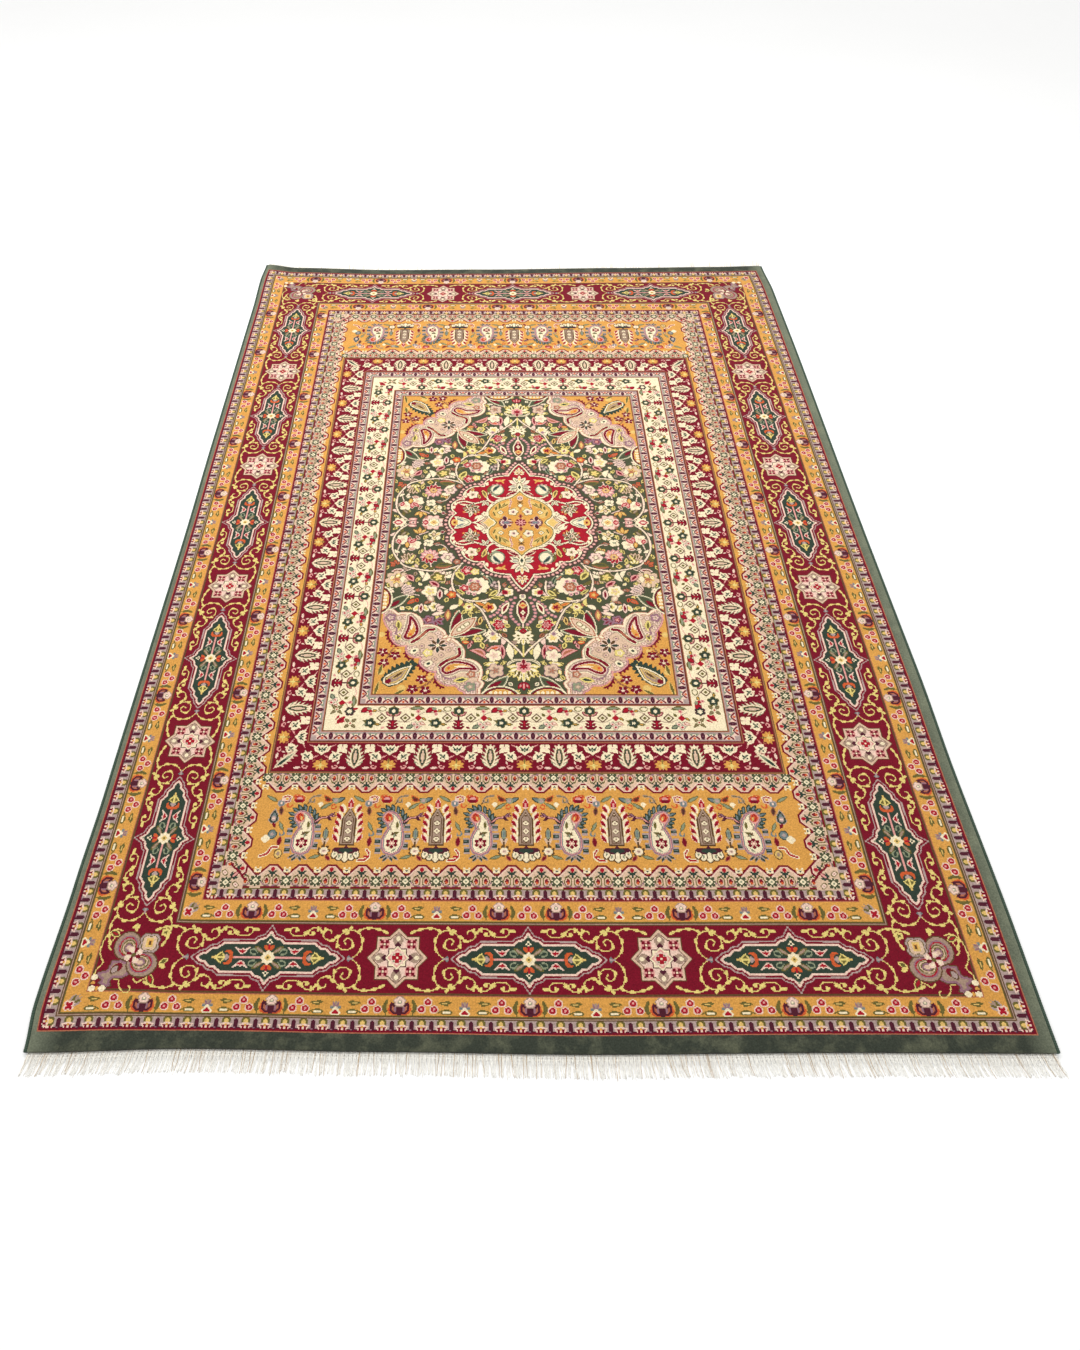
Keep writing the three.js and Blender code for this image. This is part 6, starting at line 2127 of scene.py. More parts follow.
@dataclass
class Fringe:
    """The warp ends at one end of the rug: a twisted hem and the loose strands past it.

    Attributes:
        name: The piece's name.
        end: -1 at the near end and 1 at the far one.
        length: How far the strands reach past the hem, in millimetres.
        lean: The table of how far their tips lean.
        bundles: How many bundles the strands fall into.
        strands: How many strands each bundle has.
        steps: How many stretches a strand has.
        thick: Half of a strand's width, in millimetres.
        flatness: Its height as a share of its width.
        seed: The start of its random numbers.
    """

    name: str
    end: int
    length: float
    lean: Table
    seed: int
    bundles: int = 250
    strands: int = 5
    steps: int = 8
    thick: float = 0.62
    flatness: float = 0.24

    def hem(self) -> RibbedStrip:
        """The twisted hem that holds the strands."""
        middle = HALF_LENGTH + END_WEAVE_WIDTH + 2 * GAP + FRINGE_HEM / 2
        return RibbedStrip(self.end * middle, HALF_BODY, FRINGE_HEM / 2, FRINGE_THICKNESS / 2, wrap=5.2,
                           depth=0.22, slant=2.0, along_rug=False, sides=8)

    def strand_points(self, lay: Lay) -> np.ndarray:
        """The strands' vertices: four round each step of a bent middle line.

        A strand starts at the pile's edge at its own place in its bundle, leans by the
        table, its bundle's and its own chance, and waves by a sine that grows towards its
        tip. It crosses the flat weave and the hem, comes down to the floor past them, and
        humps over its neighbours by chance.
        """
        rng = np.random.default_rng(self.seed)
        count = self.bundles * self.strands
        pitch = 2 * HALF_BODY / self.bundles
        bundle, member = np.divmod(np.arange(count), self.strands)
        share = (member + 0.5) / self.strands - 0.5
        middle = -HALF_BODY + pitch * (bundle + 0.5)
        root = middle + share * pitch * 0.84
        bundle_lean = rng.normal(0, 1.5, self.bundles)[bundle]
        lean = table_at(self.lean, middle) + bundle_lean + rng.normal(0, 0.9, count)
        spread = share * pitch * rng.uniform(-0.35, 0.1, self.bundles)[bundle]
        long = self.length * (1 + rng.normal(0, 0.035, self.bundles)[bundle] + rng.normal(0, 0.05, count))
        wave = rng.normal(0, 0.6, count)
        phase = rng.uniform(0, math.tau, count)
        turns = rng.uniform(0.6, 1.6, count)
        hump, layer = rng.uniform(0, 0.3, count), rng.uniform(0.0, 0.18, count)
        t = np.linspace(0, 1, self.steps + 1)[None, :]
        across = (root[:, None] + (lean + spread)[:, None] * t ** 1.2
                  + (wave[:, None] * t) * np.sin(math.tau * turns[:, None] * t + phase[:, None]))
        across = np.clip(across, -HALF_BODY - 10, HALF_BODY + 10)
        start = HALF_LENGTH + GAP + self.thick
        bound = END_WEAVE_WIDTH + GAP + FRINGE_HEM - self.thick
        reach = bound + long[:, None]
        along = start + reach * t
        radius = self.thick * (1 - 0.35 * t ** 3) * np.ones((count, 1))
        past = np.clip((reach * t - bound) / 9.0, 0, 1)
        over = (END_WEAVE_THICKNESS + 0.2) * (1 - past * past * (3 - 2 * past))
        height = radius + layer[:, None] + over + hump[:, None] * np.sin(math.pi * t) * 0.6
        turn = (np.arange(4) * math.tau / 4)[None, None, :] + (t * 5.0)[:, :, None] + phase[:, None, None]
        ring_across = across[:, :, None] + radius[:, :, None] * np.cos(turn)
        ring_height = height[:, :, None] + self.flatness * radius[:, :, None] * np.sin(turn)
        ring_height = np.maximum(ring_height, 0.02)
        ring_along = np.broadcast_to(self.end * along[:, :, None], ring_across.shape)
        return lay.place(ring_across, ring_along, ring_height)

    def build(self, lay: Lay) -> bpy.types.Object:
        """Build the hem and the strands as one piece, each strand a closed tube.

        Args:
            lay: How the rug lies.

        Returns:
            The piece, with each vertex's tone in the attribute "strand_tone".
        """
        hem = self.hem()
        hem_points, points = hem.points(lay), self.strand_points(lay)
        count, per_strand = self.bundles * self.strands, (self.steps + 1) * 4
        tube = tube_faces(self.steps + 1, 4)
        caps = np.array([[3, 2, 1, 0], [per_strand - 4, per_strand - 3, per_strand - 2, per_strand - 1]])
        one = np.concatenate([tube, caps])
        if self.end > 0:
            one = one[:, ::-1]
        faces = (one[None] + (len(hem_points) + np.arange(count) * per_strand)[:, None, None]).reshape(-1, 4)
        piece = new_piece(self.name, np.concatenate([hem_points, points]), [*hem.faces(), *faces.tolist()])
        rng = np.random.default_rng(self.seed + 1)
        strand_tones = np.repeat(rng.uniform(0, 1, count), per_strand)
        tone = np.concatenate([np.full(len(hem_points), 0.5), strand_tones])
        attribute = piece.data.attributes.new("strand_tone", "FLOAT", "POINT")
        attribute.data.foreach_set("value", tone.astype(np.float32))
        return piece


Colour = tuple[float, float, float]
Value = bpy.types.NodeSocket | float | int | tuple


def linear(shade: Colour) -> tuple[float, float, float, float]:
    """A screen colour, from 0 to 255, as the light values that the shader takes."""
    share = [part / 255 for part in shade]
    return (*[part / 12.92 if part <= 0.04045 else ((part + 0.055) / 1.055) ** 2.4 for part in share], 1.0)


class Board:
    """A node tree as it is put together: it adds nodes and joins their sockets."""

    def __init__(self, tree: bpy.types.NodeTree) -> None:
        """Start on an empty tree."""
        self.tree = tree
        tree.nodes.clear()

    def add(self, kind: str, inputs: dict[int | str, Value] | None = None,
            **settings: object) -> bpy.types.Node:
        """Add a node.

        Args:
            kind: The node's type, without its leading ShaderNode.
            inputs: Its sockets by name or number, each with a number or another socket.
            settings: Its own properties.

        Returns:
            The node.
        """
        node = self.tree.nodes.new("ShaderNode" + kind)
        for name, setting in settings.items():
            setattr(node, name, setting)
        for name, value in (inputs or {}).items():
            if isinstance(value, bpy.types.NodeSocket):
                self.tree.links.new(value, node.inputs[name])
            else:
                node.inputs[name].default_value = value
        return node

    def math(self, operation: str, *values: Value, clamp: bool = False) -> bpy.types.NodeSocket:
        """Work out one number from others."""
        node = self.add("Math", dict(enumerate(values)), operation=operation, use_clamp=clamp)
        return node.outputs[0]

    def mix(self, share: Value, first: Value, second: Value, blend: str = "MIX") -> bpy.types.NodeSocket:
        """Mix two colours by a share."""
        node = self.add("Mix", {0: share, 6: first, 7: second}, data_type="RGBA", blend_type=blend)
        return node.outputs[2]

    def noise(self, place: Value, scale: float, detail: float = 2.0,
              roughness: float = 0.5) -> bpy.types.Node:
        """A soft noise with this many swells to a metre."""
        return self.add("TexNoise", {"Vector": place, "Scale": scale, "Detail": detail,
                                     "Roughness": roughness})

    def stretched(self, place: Value, scale: tuple[float, float, float]) -> bpy.types.NodeSocket:
        """A place with each of its axes scaled."""
        return self.add("VectorMath", {0: place, 1: scale}, operation="MULTIPLY").outputs[0]


def new_group(name: str, inputs: dict[str, tuple[str, float]], outputs: dict[str, str]) -> tuple[
        bpy.types.NodeTree, Board, bpy.types.Node, bpy.types.Node]:
    """Make an empty shader node group.

    Args:
        name: Its name.
        inputs: Input names, each with its socket kind and its usual value.
        outputs: Output names, each with its socket kind.

    Returns:
        The group, a board on it, and its input and output nodes.
    """
    group = bpy.data.node_groups.new(name, "ShaderNodeTree")
    for label, (kind, usual) in inputs.items():
        socket = group.interface.new_socket(label, in_out="INPUT", socket_type=kind)
        if kind == "NodeSocketFloat":
            socket.default_value = usual
    for label, kind in outputs.items():
        group.interface.new_socket(label, in_out="OUTPUT", socket_type=kind)
    board = Board(group)
    return group, board, group.nodes.new("NodeGroupInput"), group.nodes.new("NodeGroupOutput")


def knot_reader_group() -> bpy.types.NodeTree:
    """The group that reads which wool a knot has from the face's packed numbers.

    The place in the face's block, nudged a little so that no knot is a perfect square,
    gives a row and a column. The row picks one packed number, and the column divides it
    by the wool count to the column's power. The remainder is the wool's number.
    """
    group, board, given, made = new_group(
        "Knot reader", {"Wander": ("NodeSocketFloat", 0.3)},
        {"Wool number": "NodeSocketFloat", "Across knot": "NodeSocketFloat", "Along knot": "NodeSocketFloat"})
    link = group.links.new
    spot = board.add("TexCoord").outputs["Object"]
    nudge = board.noise(spot, 170.0, 1.0).outputs["Color"]
    nudge = board.add("VectorMath", {0: nudge, 1: (0.5, 0.5, 0.5)}, operation="SUBTRACT").outputs[0]
    block = board.add("UVMap", uv_map="knot_block").outputs["UV"]
    knots = board.stretched(block, (KNOTS_ACROSS_FACE, KNOTS_ALONG_FACE, 1))
    nudge = board.add("VectorMath", {0: nudge, "Scale": given.outputs["Wander"]},
                      operation="SCALE").outputs[0]
    moved = board.add("SeparateXYZ", {0: board.add("VectorMath", {0: knots, 1: nudge}).outputs[0]})
    exact = board.add("SeparateXYZ", {0: knots})
    last_column, last_row = KNOTS_ACROSS_FACE - 1, KNOTS_ALONG_FACE - 1
    column = board.math("MINIMUM", board.math("MAXIMUM", board.math("FLOOR", moved.outputs[0]), 0),
                        last_column)
    row = board.math("MINIMUM", board.math("MAXIMUM", board.math("FLOOR", moved.outputs[1]), 0), last_row)
    total: Value = 0.0
    for half, name in enumerate(("lower_knots", "upper_knots")):
        packed = board.add("Attribute", attribute_name=name, attribute_type="GEOMETRY")
        parts = board.add("SeparateXYZ", {0: packed.outputs["Vector"]})
        for place in range(3):
            chosen = board.math("COMPARE", row, float(3 * half + place), 0.25)
            total = board.math("MULTIPLY_ADD", chosen, parts.outputs[place], total)
    wools = float(len(Wool))
    shifted = board.math("FLOOR", board.math("DIVIDE", total, board.math("POWER", wools, column)))
    link(board.math("MODULO", shifted, wools), made.inputs["Wool number"])
    link(board.math("FRACT", exact.outputs[0]), made.inputs["Across knot"])
    link(board.math("FRACT", exact.outputs[1]), made.inputs["Along knot"])
    return group


# How strong the dyes are: each colour is this share of its chart colour.
DYE_DEPTH = 0.935


def wool_shades_group() -> bpy.types.NodeTree:
    """The group that gives each wool number its dyed shade, one step of a ramp each."""
    group, board, given, made = new_group(
        "Wool shades", {"Wool number": ("NodeSocketFloat", 0.0)}, {"Shade": "NodeSocketColor"})
    wools = len(Wool)
    place = board.math("DIVIDE", board.math("ADD", given.outputs[0], 0.5), float(wools))
    ramp = board.add("ValToRGB", {0: place})
    ramp.color_ramp.interpolation = "CONSTANT"
    stops = ramp.color_ramp.elements
    for wool in Wool:
        if wool >= 1:
            stop = stops.new(wool / wools) if wool < wools - 1 else stops[-1]
            stop.position = wool / wools
        else:
            stop = stops[0]
        stop.color = linear(tuple(DYE_DEPTH * part for part in WOOL_COLOURS[wool]))
    group.links.new(ramp.outputs[0], made.inputs[0])
    return group


def yarn_tone_group() -> bpy.types.NodeTree:
    """The group that varies a dyed colour as handspun yarn does.

    It lightens and darkens the colour by streaks that run across the rug, where one dye
    lot ends and another starts, by a blotch for each tuft and by fine fibres. Its height
    is the fibres and tufts together.
    """
    group, board, given, made = new_group(
        "Yarn tone",
        {"Colour": ("NodeSocketColor", 0.0), "Streaks": ("NodeSocketFloat", 0.1),
         "Tufts": ("NodeSocketFloat", 0.2), "Fibres": ("NodeSocketFloat", 0.2)},
        {"Colour": "NodeSocketColor", "Height": "NodeSocketFloat"})
    spot = board.add("TexCoord").outputs["Object"]
    streak = board.noise(board.stretched(spot, (0.7, 16.0, 1.0)), 1.6, 3.0, 0.6).outputs[0]
    tuft = board.noise(spot, 330.0, 1.0, 0.6).outputs[0]
    fibre = board.noise(spot, 1500.0, 2.0, 0.7).outputs[0]
    total: Value = 1.0
    for noise, amount in ((streak, "Streaks"), (tuft, "Tufts"), (fibre, "Fibres")):
        total = board.math("MULTIPLY_ADD", board.math("SUBTRACT", noise, 0.5), given.outputs[amount], total)
    toned = board.add("VectorMath", {0: given.outputs["Colour"], "Scale": total},
                      operation="SCALE").outputs[0]
    group.links.new(toned, made.inputs["Colour"])
    height = board.math("ADD", board.math("MULTIPLY", fibre, 0.4), board.math("MULTIPLY", tuft, 0.6))
    group.links.new(height, made.inputs["Height"])
    return group


@dataclass(frozen=True)
class Effects:
    """The node groups that several finishes share."""

    knot_reader: bpy.types.NodeTree
    wool_shades: bpy.types.NodeTree
    yarn_tone: bpy.types.NodeTree


@dataclass(frozen=True)
class Sheen:
    """How a finish takes the light, as constants on its shader."""

    roughness: float = 0.92
    sheen: float = 0.05
    sheen_roughness: float = 0.5
    gloss: float = 0.08


def cloth_shader(board: Board, sheen: Sheen, colour: Value, normal: Value) -> None:
    """Finish a material with its shader and output.

    Args:
        board: The material's board.
        sheen: Its constants.
        colour: The socket of its colour.
        normal: The socket of its normal.
    """
    shader = board.add("BsdfPrincipled", {
        "Base Color": colour, "Roughness": sheen.roughness, "Sheen Weight": sheen.sheen,
        "Sheen Roughness": sheen.sheen_roughness, "Specular IOR Level": sheen.gloss, "Normal": normal})
    board.add("OutputMaterial", {0: shader.outputs[0]})


def new_material(name: str) -> tuple[bpy.types.Material, Board]:
    """Make an empty node material and a board on it."""
    material = bpy.data.materials.new(name)
    material.use_nodes = True
    return material, Board(material.node_tree)


@dataclass(frozen=True)
class KnottedWool:
    """The finish of the knots: the dyed pile, or their paler ridged backs.

    Attributes:
        name: The material's name.
        fade: How far the colours pale towards the undyed wool.
        wander: How far knots stray from their squares, in knots.
        ridge: How deep the furrows between rows of knots look, in metres.
        painted_sheen: What the plain green pales to along the long sides, a painted sheen.
        mottle: The colour of the plain green's paler patches.
        undyed: The undyed wool's colour.
        painted_sheen_from: How far from the long axis the painted sheen starts, in metres.
        painted_sheen_at: How far from it the painted sheen is full.
    """

    name: str
    fade: float = 0.0
    wander: float = 0.55
    ridge: float = 0.0006
    painted_sheen: Colour = (140, 146, 122)
    mottle: Colour = (98, 100, 80)
    undyed: Colour = (214, 204, 186)
    painted_sheen_from: float = 0.856
    painted_sheen_at: float = 0.906
    sheen: Sheen = Sheen()

    def make(self, effects: Effects) -> bpy.types.Material:
        """Build the material.

        Args:
            effects: The shared node groups.

        Returns:
            The material.
        """
        material, board = new_material(self.name)
        reader = board.add("Group", node_tree=effects.knot_reader)
        reader.inputs["Wander"].default_value = self.wander
        shades = board.add("Group", {0: reader.outputs["Wool number"]}, node_tree=effects.wool_shades)
        spot = board.add("TexCoord").outputs["Object"]
        plain = board.math("LESS_THAN", reader.outputs["Wool number"], 0.5)
        patch = board.noise(spot, 26.0, 4.0, 0.65).outputs[0]
        patch = board.add("MapRange", {0: patch, 1: 0.46, 2: 0.68, 3: 0.0, 4: 0.75}).outputs[0]
        mottle_and_sheen = board.mix(board.math("MULTIPLY", plain, patch), shades.outputs[0], linear(self.mottle))
        # Painted sheen: near the two long sides, the plain green is mixed up to half way towards a paler
        # grey-green, by the distance from the long axis.
        side = board.math("ABSOLUTE", board.add("SeparateXYZ", {0: spot}).outputs[0])
        painted_sheen = board.add("MapRange", {0: side, 1: self.painted_sheen_from, 2: self.painted_sheen_at, 3: 0.0, 4: 0.5}).outputs[0]
        mottle_and_sheen = board.mix(board.math("MULTIPLY", plain, painted_sheen), mottle_and_sheen, linear(self.painted_sheen))
        tone = board.add("Group", {"Colour": mottle_and_sheen, "Streaks": 0.22, "Tufts": 0.95, "Fibres": 0.45},
                         node_tree=effects.yarn_tone)
        paled = board.mix(self.fade, tone.outputs["Colour"], linear(self.undyed))
        row = board.math("SINE", board.math("MULTIPLY", reader.outputs["Along knot"], math.pi))
        tuft = board.math("SINE", board.math("MULTIPLY", reader.outputs["Across knot"], math.pi))
        relief = board.math("ADD", board.math("MULTIPLY", row, tuft), tone.outputs["Height"])
        bump = board.add("Bump", {"Strength": 0.6, "Distance": self.ridge, "Height": relief})
        cloth_shader(board, self.sheen, paled, bump.outputs[0])
        return material


@dataclass(frozen=True)
class WrappedWool:
    """The finish of the side cords: green wool wound round and round."""

    name: str = "overcast_wool"
    colour: Colour = (74, 92, 78)
    sheen: Sheen = Sheen()

    def make(self, effects: Effects) -> bpy.types.Material:
        """Build the material, with fine turns of yarn across the cord, and painted shade in the grooves
        between them.
        """
        material, board = new_material(self.name)
        spot = board.add("TexCoord").outputs["Object"]
        turns = board.add("TexWave", {"Vector": spot, "Scale": 110.0, "Distortion": 1.5, "Detail": 1.0},
                          bands_direction="Y").outputs[1]
        # Painted shade: the green darkens to 0.72 of itself in the grooves between the turns, where the same
        # wave gives the bump its lows.
        dyed = board.mix(turns, linear(tuple(part * 0.72 for part in self.colour)), linear(self.colour))
        tone = board.add("Group", {"Colour": dyed, "Streaks": 0.5, "Tufts": 0.4, "Fibres": 0.3},
                         node_tree=effects.yarn_tone)
        relief = board.math("ADD", turns, tone.outputs["Height"])
        bump = board.add("Bump", {"Strength": 0.5, "Distance": 0.0005, "Height": relief})
        cloth_shader(board, self.sheen, tone.outputs["Colour"], bump.outputs[0])
        return material


@dataclass(frozen=True)
class IvoryCotton:
    """The finish of the undyed cotton: the flat weave, or the fringe's loose strands.

    Attributes:
        name: The material's name.
        colour: Its cleanest colour.
        dirt_and_shade: The colour of its smudges of dirt and of its painted shade, in the rib grooves and on
            the darker strands.
        by_strand: Whether each strand has its own tone.
        ribs: How many ribs there are to a metre across the rug.
        sheen: How it takes the light.
    """

    name: str
    colour: Colour = (255, 252, 243)
    dirt_and_shade: Colour = (200, 172, 134)
    by_strand: bool = False
    ribs: float = 160.0
    sheen: Sheen = Sheen(roughness=0.85, sheen=0.5, sheen_roughness=0.35)

    def make(self, effects: Effects) -> bpy.types.Material:
        """Build the material, with ribs or with a tone for each strand; the rib grooves and the darker
        strands hold painted shade.
        """
        material, board = new_material(self.name)
        spot = board.add("TexCoord").outputs["Object"]
        smudge = board.noise(spot, 24.0, 3.0, 0.6).outputs[0]
        smudge = board.add("MapRange", {0: smudge, 1: 0.42, 2: 0.7, 3: 0.0, 4: 0.05}).outputs[0]
        ribs = board.add("TexWave", {"Vector": spot, "Scale": self.ribs, "Distortion": 0.6, "Detail": 1.0},
                         bands_direction="X").outputs[1]
        # Painted shade: on the fringe, the strands whose tone is in the top sixth are mixed towards the
        # darker colour, in place of the shaded gaps between strands; on the flat weave, the rib grooves are
        # darkened.
        if self.by_strand:
            strand = board.add("Attribute", attribute_name="strand_tone",
                               attribute_type="GEOMETRY").outputs["Fac"]
            painted_shade = board.add("MapRange", {0: strand, 1: 0.84, 2: 1.0, 3: 0.0, 4: 1.0}).outputs[0]
        else:
            painted_shade = board.math("MULTIPLY", board.math("SUBTRACT", 1.0, ribs), 0.2)
        share = board.math("ADD", painted_shade, smudge, clamp=True)
        spun = board.mix(share, linear(self.colour), linear(self.dirt_and_shade))
        tone = board.add("Group", {"Colour": spun, "Streaks": 0.05, "Tufts": 0.12, "Fibres": 0.16},
                         node_tree=effects.yarn_tone)
        relief = board.math("ADD", ribs, tone.outputs["Height"])
        bump = board.add("Bump", {"Strength": 0.18, "Distance": 0.0003, "Height": relief})
        cloth_shader(board, self.sheen, tone.outputs["Colour"], bump.outputs[0])
        return material


@dataclass(frozen=True)
class PaleFloor:
    """The finish of the floor: smooth white paint, faintly uneven."""

    name: str = "pale_floor"
    colour: Colour = (254, 254, 253)

    def make(self) -> bpy.types.Material:
        """Build the material."""
        material, board = new_material(self.name)
        spot = board.add("TexCoord").outputs["Object"]
        cloud = board.noise(spot, 1.2, 2.0).outputs[0]
        shade = board.mix(cloud, linear(self.colour), linear(tuple(part * 0.985 for part in self.colour)))
        shader = board.add("BsdfPrincipled", {"Base Color": shade, "Roughness": 0.7,
                                              "Specular IOR Level": 0.2})
        board.add("OutputMaterial", {0: shader.outputs[0]})
        return material


# Each wool's colour, as red, green and blue from 0 to 255.
WOOL_COLOURS = {
    GREEN: (60, 65, 55),
    CRIMSON: (122, 16, 36),
    BURGUNDY: (120, 13, 34),
    GOLD: (219, 158, 76),
    CREAM: (247, 229, 190),
    LILAC: (178, 154, 146),
    BEIGE: (222, 188, 158),
    MAROON: (82, 30, 44),
    YELLOW: (230, 208, 122),
    PINK: (226, 158, 148),
    BOTTLE: (50, 64, 52),
    ORANGE: (208, 92, 48),
    RED: (170, 22, 40),
    OLIVE: (108, 98, 48),
    SAGE: (142, 148, 118),
    SLATE: (116, 128, 126),
    TAUPE: (168, 140, 120),
    BROWN: (96, 68, 40),
    TERRACOTTA: (178, 106, 78),
    MOSS: (76, 80, 56),
    MAUVE: (150, 108, 120),
    BLUSH: (240, 205, 184),
    STRAW: (228, 190, 110),
    UMBER: (78, 64, 54),
}


# How many knots the design stands off the rug's middle.
DESIGN_SHIFT = -3


def draw_chart() -> Cartoon:
    """Draw the whole knot chart, from the outer band inwards."""
    chart = Cartoon(COLUMNS / 2, ROWS / 2, GREEN)
    LilacGuard().draw(chart, "lilac_outer", "gold_outer")
    GoldGuard().draw(chart, "gold_outer", "red", (0, 119.5, 239, 358), (59, 177, 295.5, 413.5, 531.5))
    RedBorder().draw(chart)
    GoldGuard().draw(chart, "gold_inner", "lilac_inner", (28.5, 150, 272), (53, 171, 289, 407, 525))
    LilacGuard().draw(chart, "lilac_inner", "scallop")
    ScallopBand().draw(chart)
    PaisleyPanel().draw(chart)
    ScallopBand().draw_inner_rows(chart)
    BurgundyBand().draw(chart)
    BudGuard().draw(chart, "lilac_third", "cream")
    CreamBand().draw(chart)
    BudGuard().draw(chart, "lilac_fourth", "field")
    Field().draw(chart)
    chart.knots = np.roll(chart.knots, DESIGN_SHIFT, axis=1)
    return chart


@dataclass
class Rug:
    """The whole rug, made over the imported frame.

    Attributes:
        pile_rim: Insets and heights down the pile's edge, in millimetres.
        back_rim: The same for the foundation, from its underside up.
        swell: How far the pile's surface rises and falls.
    """

    pile_rim: tuple[tuple[float, float], ...] = ((2.0, 9.8), (0.7, 9.3), (0.0, 7.8), (0.0, 3.2))
    back_rim: tuple[tuple[float, float], ...] = ((0.6, 0.0), (0.0, 0.6), (0.0, 3.0))
    swell: float = 0.25

    def dress(self, piece: bpy.types.Object, material: bpy.types.Material, slot: str, *nodes: str) -> None:
        """Give a piece its finish and its place on the frame.

        Args:
            piece: The piece.
            material: Its finish.
            slot: The record's slot for its finish; not used.
            nodes: The CAD nodes that it stands for.
        """
        piece.data.materials.append(material)
        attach(piece, "root")
        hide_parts(*nodes)
        logging.info("%s: %d faces", piece.name, len(piece.data.polygons))

    def strip(self, name: str, shape: RibbedStrip, lay: Lay) -> bpy.types.Object:
        """Build a ribbed strip as a piece of its own."""
        return new_piece(name, shape.points(lay), shape.faces())

    def build(self, knots: np.ndarray) -> None:
        """Build every piece of the rug.

        Args:
            knots: The chart's wool numbers.
        """
        lay = Lay()
        effects = Effects(knot_reader_group(), wool_shades_group(), yarn_tone_group())
        pile = KnottedSlab("knotted_pile", Facing.UP, self.pile_rim, self.swell).build(lay, knots)
        self.dress(pile, KnottedWool("dyed_pile_wool").make(effects), "wool_pile", "rug_body")
        back = KnottedSlab("woven_back", Facing.DOWN, self.back_rim).build(lay, knots)
        back_wool = KnottedWool("knot_backs", fade=0.25, wander=0.3, ridge=0.0009)
        self.dress(back, back_wool.make(effects), "wool_pile", "rug_body")
        trims = [*self.build_cords(lay, effects), *self.build_weaves(lay, effects),
                 *self.build_fringes(lay, effects)]

    def build_cords(self, lay: Lay, effects: Effects) -> list[bpy.types.Object]:
        """Build the overcast cords of the two long sides."""
        material = WrappedWool().make(effects)
        middle = HALF_WIDTH - CORD_WIDTH / 2
        cords = []
        for name, side in (("left", -1), ("right", 1)):
            shape = RibbedStrip(side * middle, HALF_LENGTH, CORD_WIDTH / 2, CORD_HEIGHT / 2, wrap=4.2)
            cord = self.strip(f"overcast_cord_{name}", shape, lay)
            self.dress(cord, material, "side_binding", f"selvedge_{name}")
            cords.append(cord)
        return cords

    def build_weaves(self, lay: Lay, effects: Effects) -> list[bpy.types.Object]:
        """Build the flat-woven strips of the two ends."""
        material = IvoryCotton("flat_weave_cotton").make(effects)
        middle = HALF_LENGTH + GAP + END_WEAVE_WIDTH / 2
        weaves = []
        for name, end in (("near", -1), ("far", 1)):
            shape = RibbedStrip(end * middle, HALF_BODY, END_WEAVE_WIDTH / 2, END_WEAVE_THICKNESS / 2,
                                wrap=3.2, depth=0.08, slant=0.0, along_rug=False, sides=8)
            weave = self.strip(f"flat_weave_{name}", shape, lay)
            self.dress(weave, material, "ivory_cotton", f"end_weave_{name}")
            weaves.append(weave)
        return weaves

    def build_fringes(self, lay: Lay, effects: Effects) -> list[bpy.types.Object]:
        """Build the fringes of the two ends."""
        material = IvoryCotton("fringe_cotton", by_strand=True).make(effects)
        fringes = []
        for shape, node in ((Fringe("loose_fringe_near", -1, 27.0, NEAR_LEAN, seed=11), "fringe_near"),
                            (Fringe("loose_fringe_far", 1, 44.0, FAR_LEAN, seed=23), "fringe_far")):
            fringe = shape.build(lay)
            self.dress(fringe, material, "ivory_cotton", node)
            fringes.append(fringe)
        return fringes


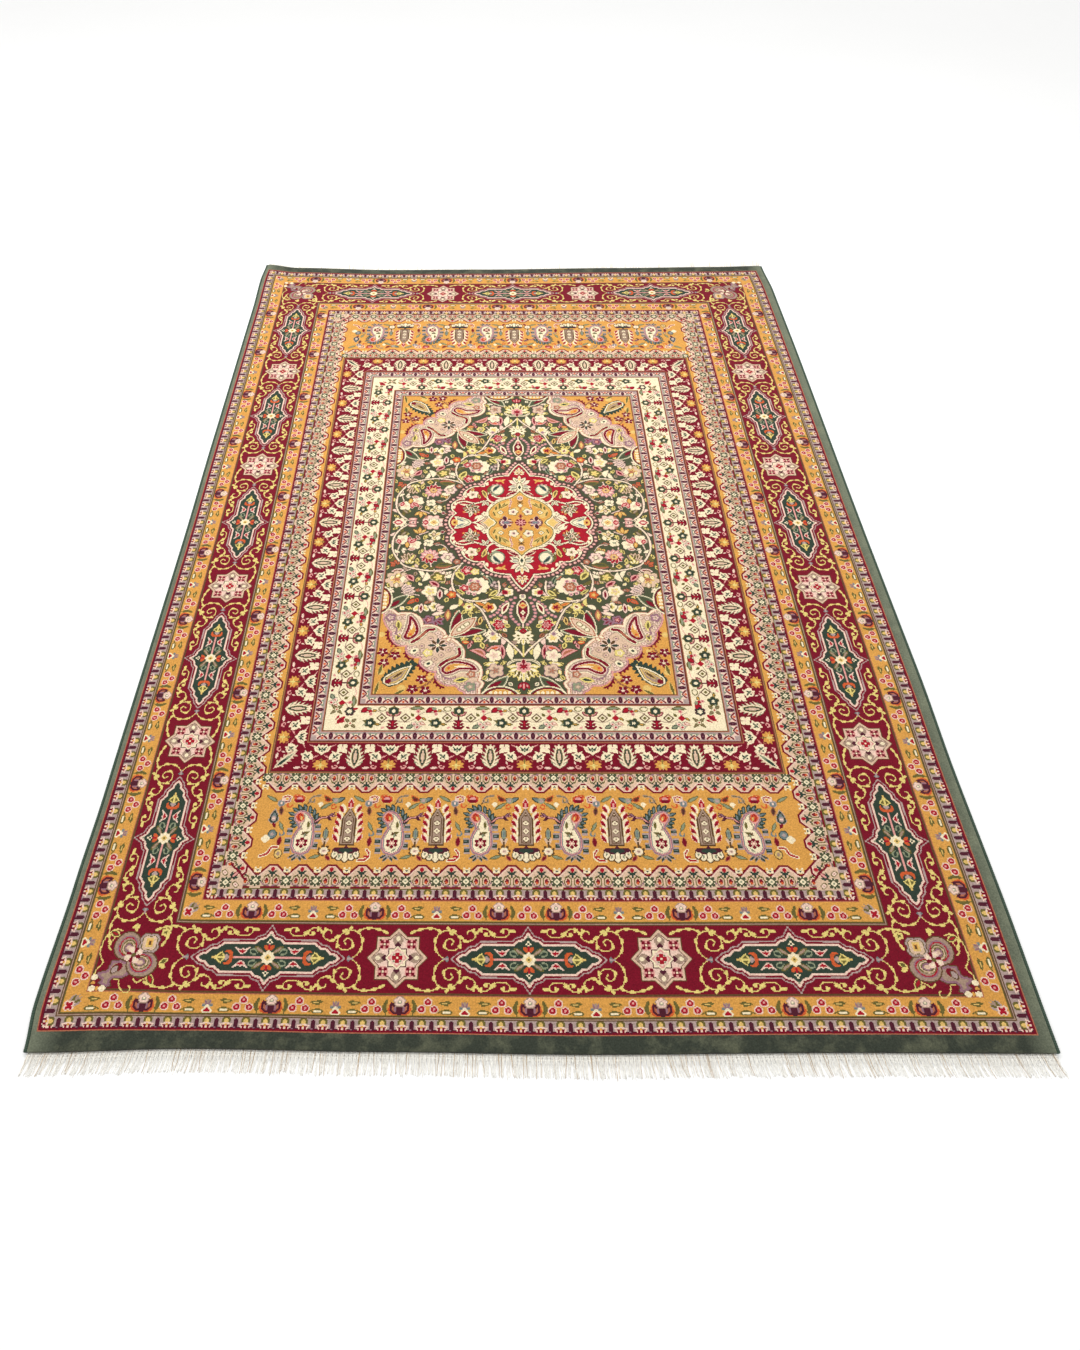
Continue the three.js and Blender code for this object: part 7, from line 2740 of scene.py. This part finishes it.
@dataclass
class Studio:
    """The floor, the light and the camera, placed as the photo was taken.

    Attributes:
        eye: The camera's place, over the middle of the straight rug, in metres.
        forward: The way that it looks.
        focal_px: Its focal length, in pixels of the photo.
        axis_px: Where its middle line meets the photo, from the photo's left.
        photo_px: The photo's width and height.
        film: The sensor's width, in millimetres.
        floor_half: Half of the floor's width.
        floor_lines: How many lines of vertices the floor has each way.
        surround: The strength of the even light from all round.
        lamp_place: Where the soft lamp hangs, facing down, in metres.
        lamp_size: Its width and depth.
        lamp_watts: Its power.
    """

    eye: tuple[float, float, float] = (-0.100, -1.771, 1.628)
    forward: tuple[float, float, float] = (-0.0009, 0.6105, -0.792)
    focal_px: float = 869.2
    axis_px: float = 485.2
    photo_px: tuple[int, int] = (1080, 1350)
    film: float = 36.0
    floor_half: float = 12.0
    floor_lines: int = 25
    surround: float = 0.94
    lamp_place: tuple[float, float, float] = (-0.75, 0.85, 2.2)
    lamp_size: tuple[float, float] = (4.6, 1.0)
    lamp_watts: float = 54.0

    def build_floor(self) -> None:
        """Lay the floor, a grid that dips with the square of the way past its middle part."""
        lines = self.floor_lines
        across, along = np.meshgrid(np.linspace(-1, 1, lines), np.linspace(-1, 1, lines))
        dip = -0.4 * np.maximum(np.hypot(across, along) - 0.8, 0) ** 2
        points = np.stack([across * self.floor_half, along * self.floor_half, dip], axis=-1).reshape(-1, 3)
        index = np.arange(lines * lines).reshape(lines, lines)
        quads = np.stack([index[:-1, :-1], index[:-1, 1:], index[1:, 1:], index[1:, :-1]],
                         axis=-1).reshape(-1, 4)
        floor = new_piece("floor", points, quads.tolist())
        floor.data.materials.append(PaleFloor().make())

    def build_lights(self) -> None:
        """Set an even white surround and one wide soft lamp above the far end."""
        world = bpy.data.worlds.new("studio")
        world.use_nodes = True
        board = Board(world.node_tree)
        light = board.add("Background", {0: (1.0, 1.0, 1.0, 1.0), 1: self.surround})
        board.add("OutputWorld", {0: light.outputs[0]})
        bpy.context.scene.world = world
        lamp = bpy.data.lights.new("soft_lamp", "AREA")
        lamp.shape = "RECTANGLE"
        lamp.size, lamp.size_y = self.lamp_size
        lamp.energy = self.lamp_watts
        holder = bpy.data.objects.new("soft_lamp", lamp)
        holder.location = self.lamp_place
        holder.visible_camera = False
        bpy.context.scene.collection.objects.link(holder)
        bpy.context.scene.view_settings.view_transform = "Standard"

    def build_camera(self, lay: Lay) -> None:
        """Set the camera where the photo's was."""
        film = bpy.data.cameras.new("camera")
        film.sensor_width = self.film
        longest = max(self.photo_px)
        film.lens = self.film * self.focal_px / longest
        film.shift_x = (self.photo_px[0] / 2 - self.axis_px) / longest
        camera = bpy.data.objects.new("camera", film)
        x, y, z = self.eye
        camera.location = (x + lay.origin[0], y + lay.origin[1], z)
        camera.rotation_mode = "QUATERNION"
        camera.rotation_quaternion = Vector(self.forward).to_track_quat("-Z", "Y")
        bpy.context.scene.collection.objects.link(camera)
        bpy.context.scene.camera = camera


def main() -> None:
    """Draw the chart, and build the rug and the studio."""
    logging.basicConfig(level=logging.INFO, format="%(message)s")
    chart = draw_chart()
    logging.info("knot chart: %d knots by %d", *chart.knots.shape)
    studio = Studio()
    studio.build_floor()
    studio.build_lights()
    studio.build_camera(Lay())
    Rug().build(chart.knots)


if __name__ == "__main__":
    main()
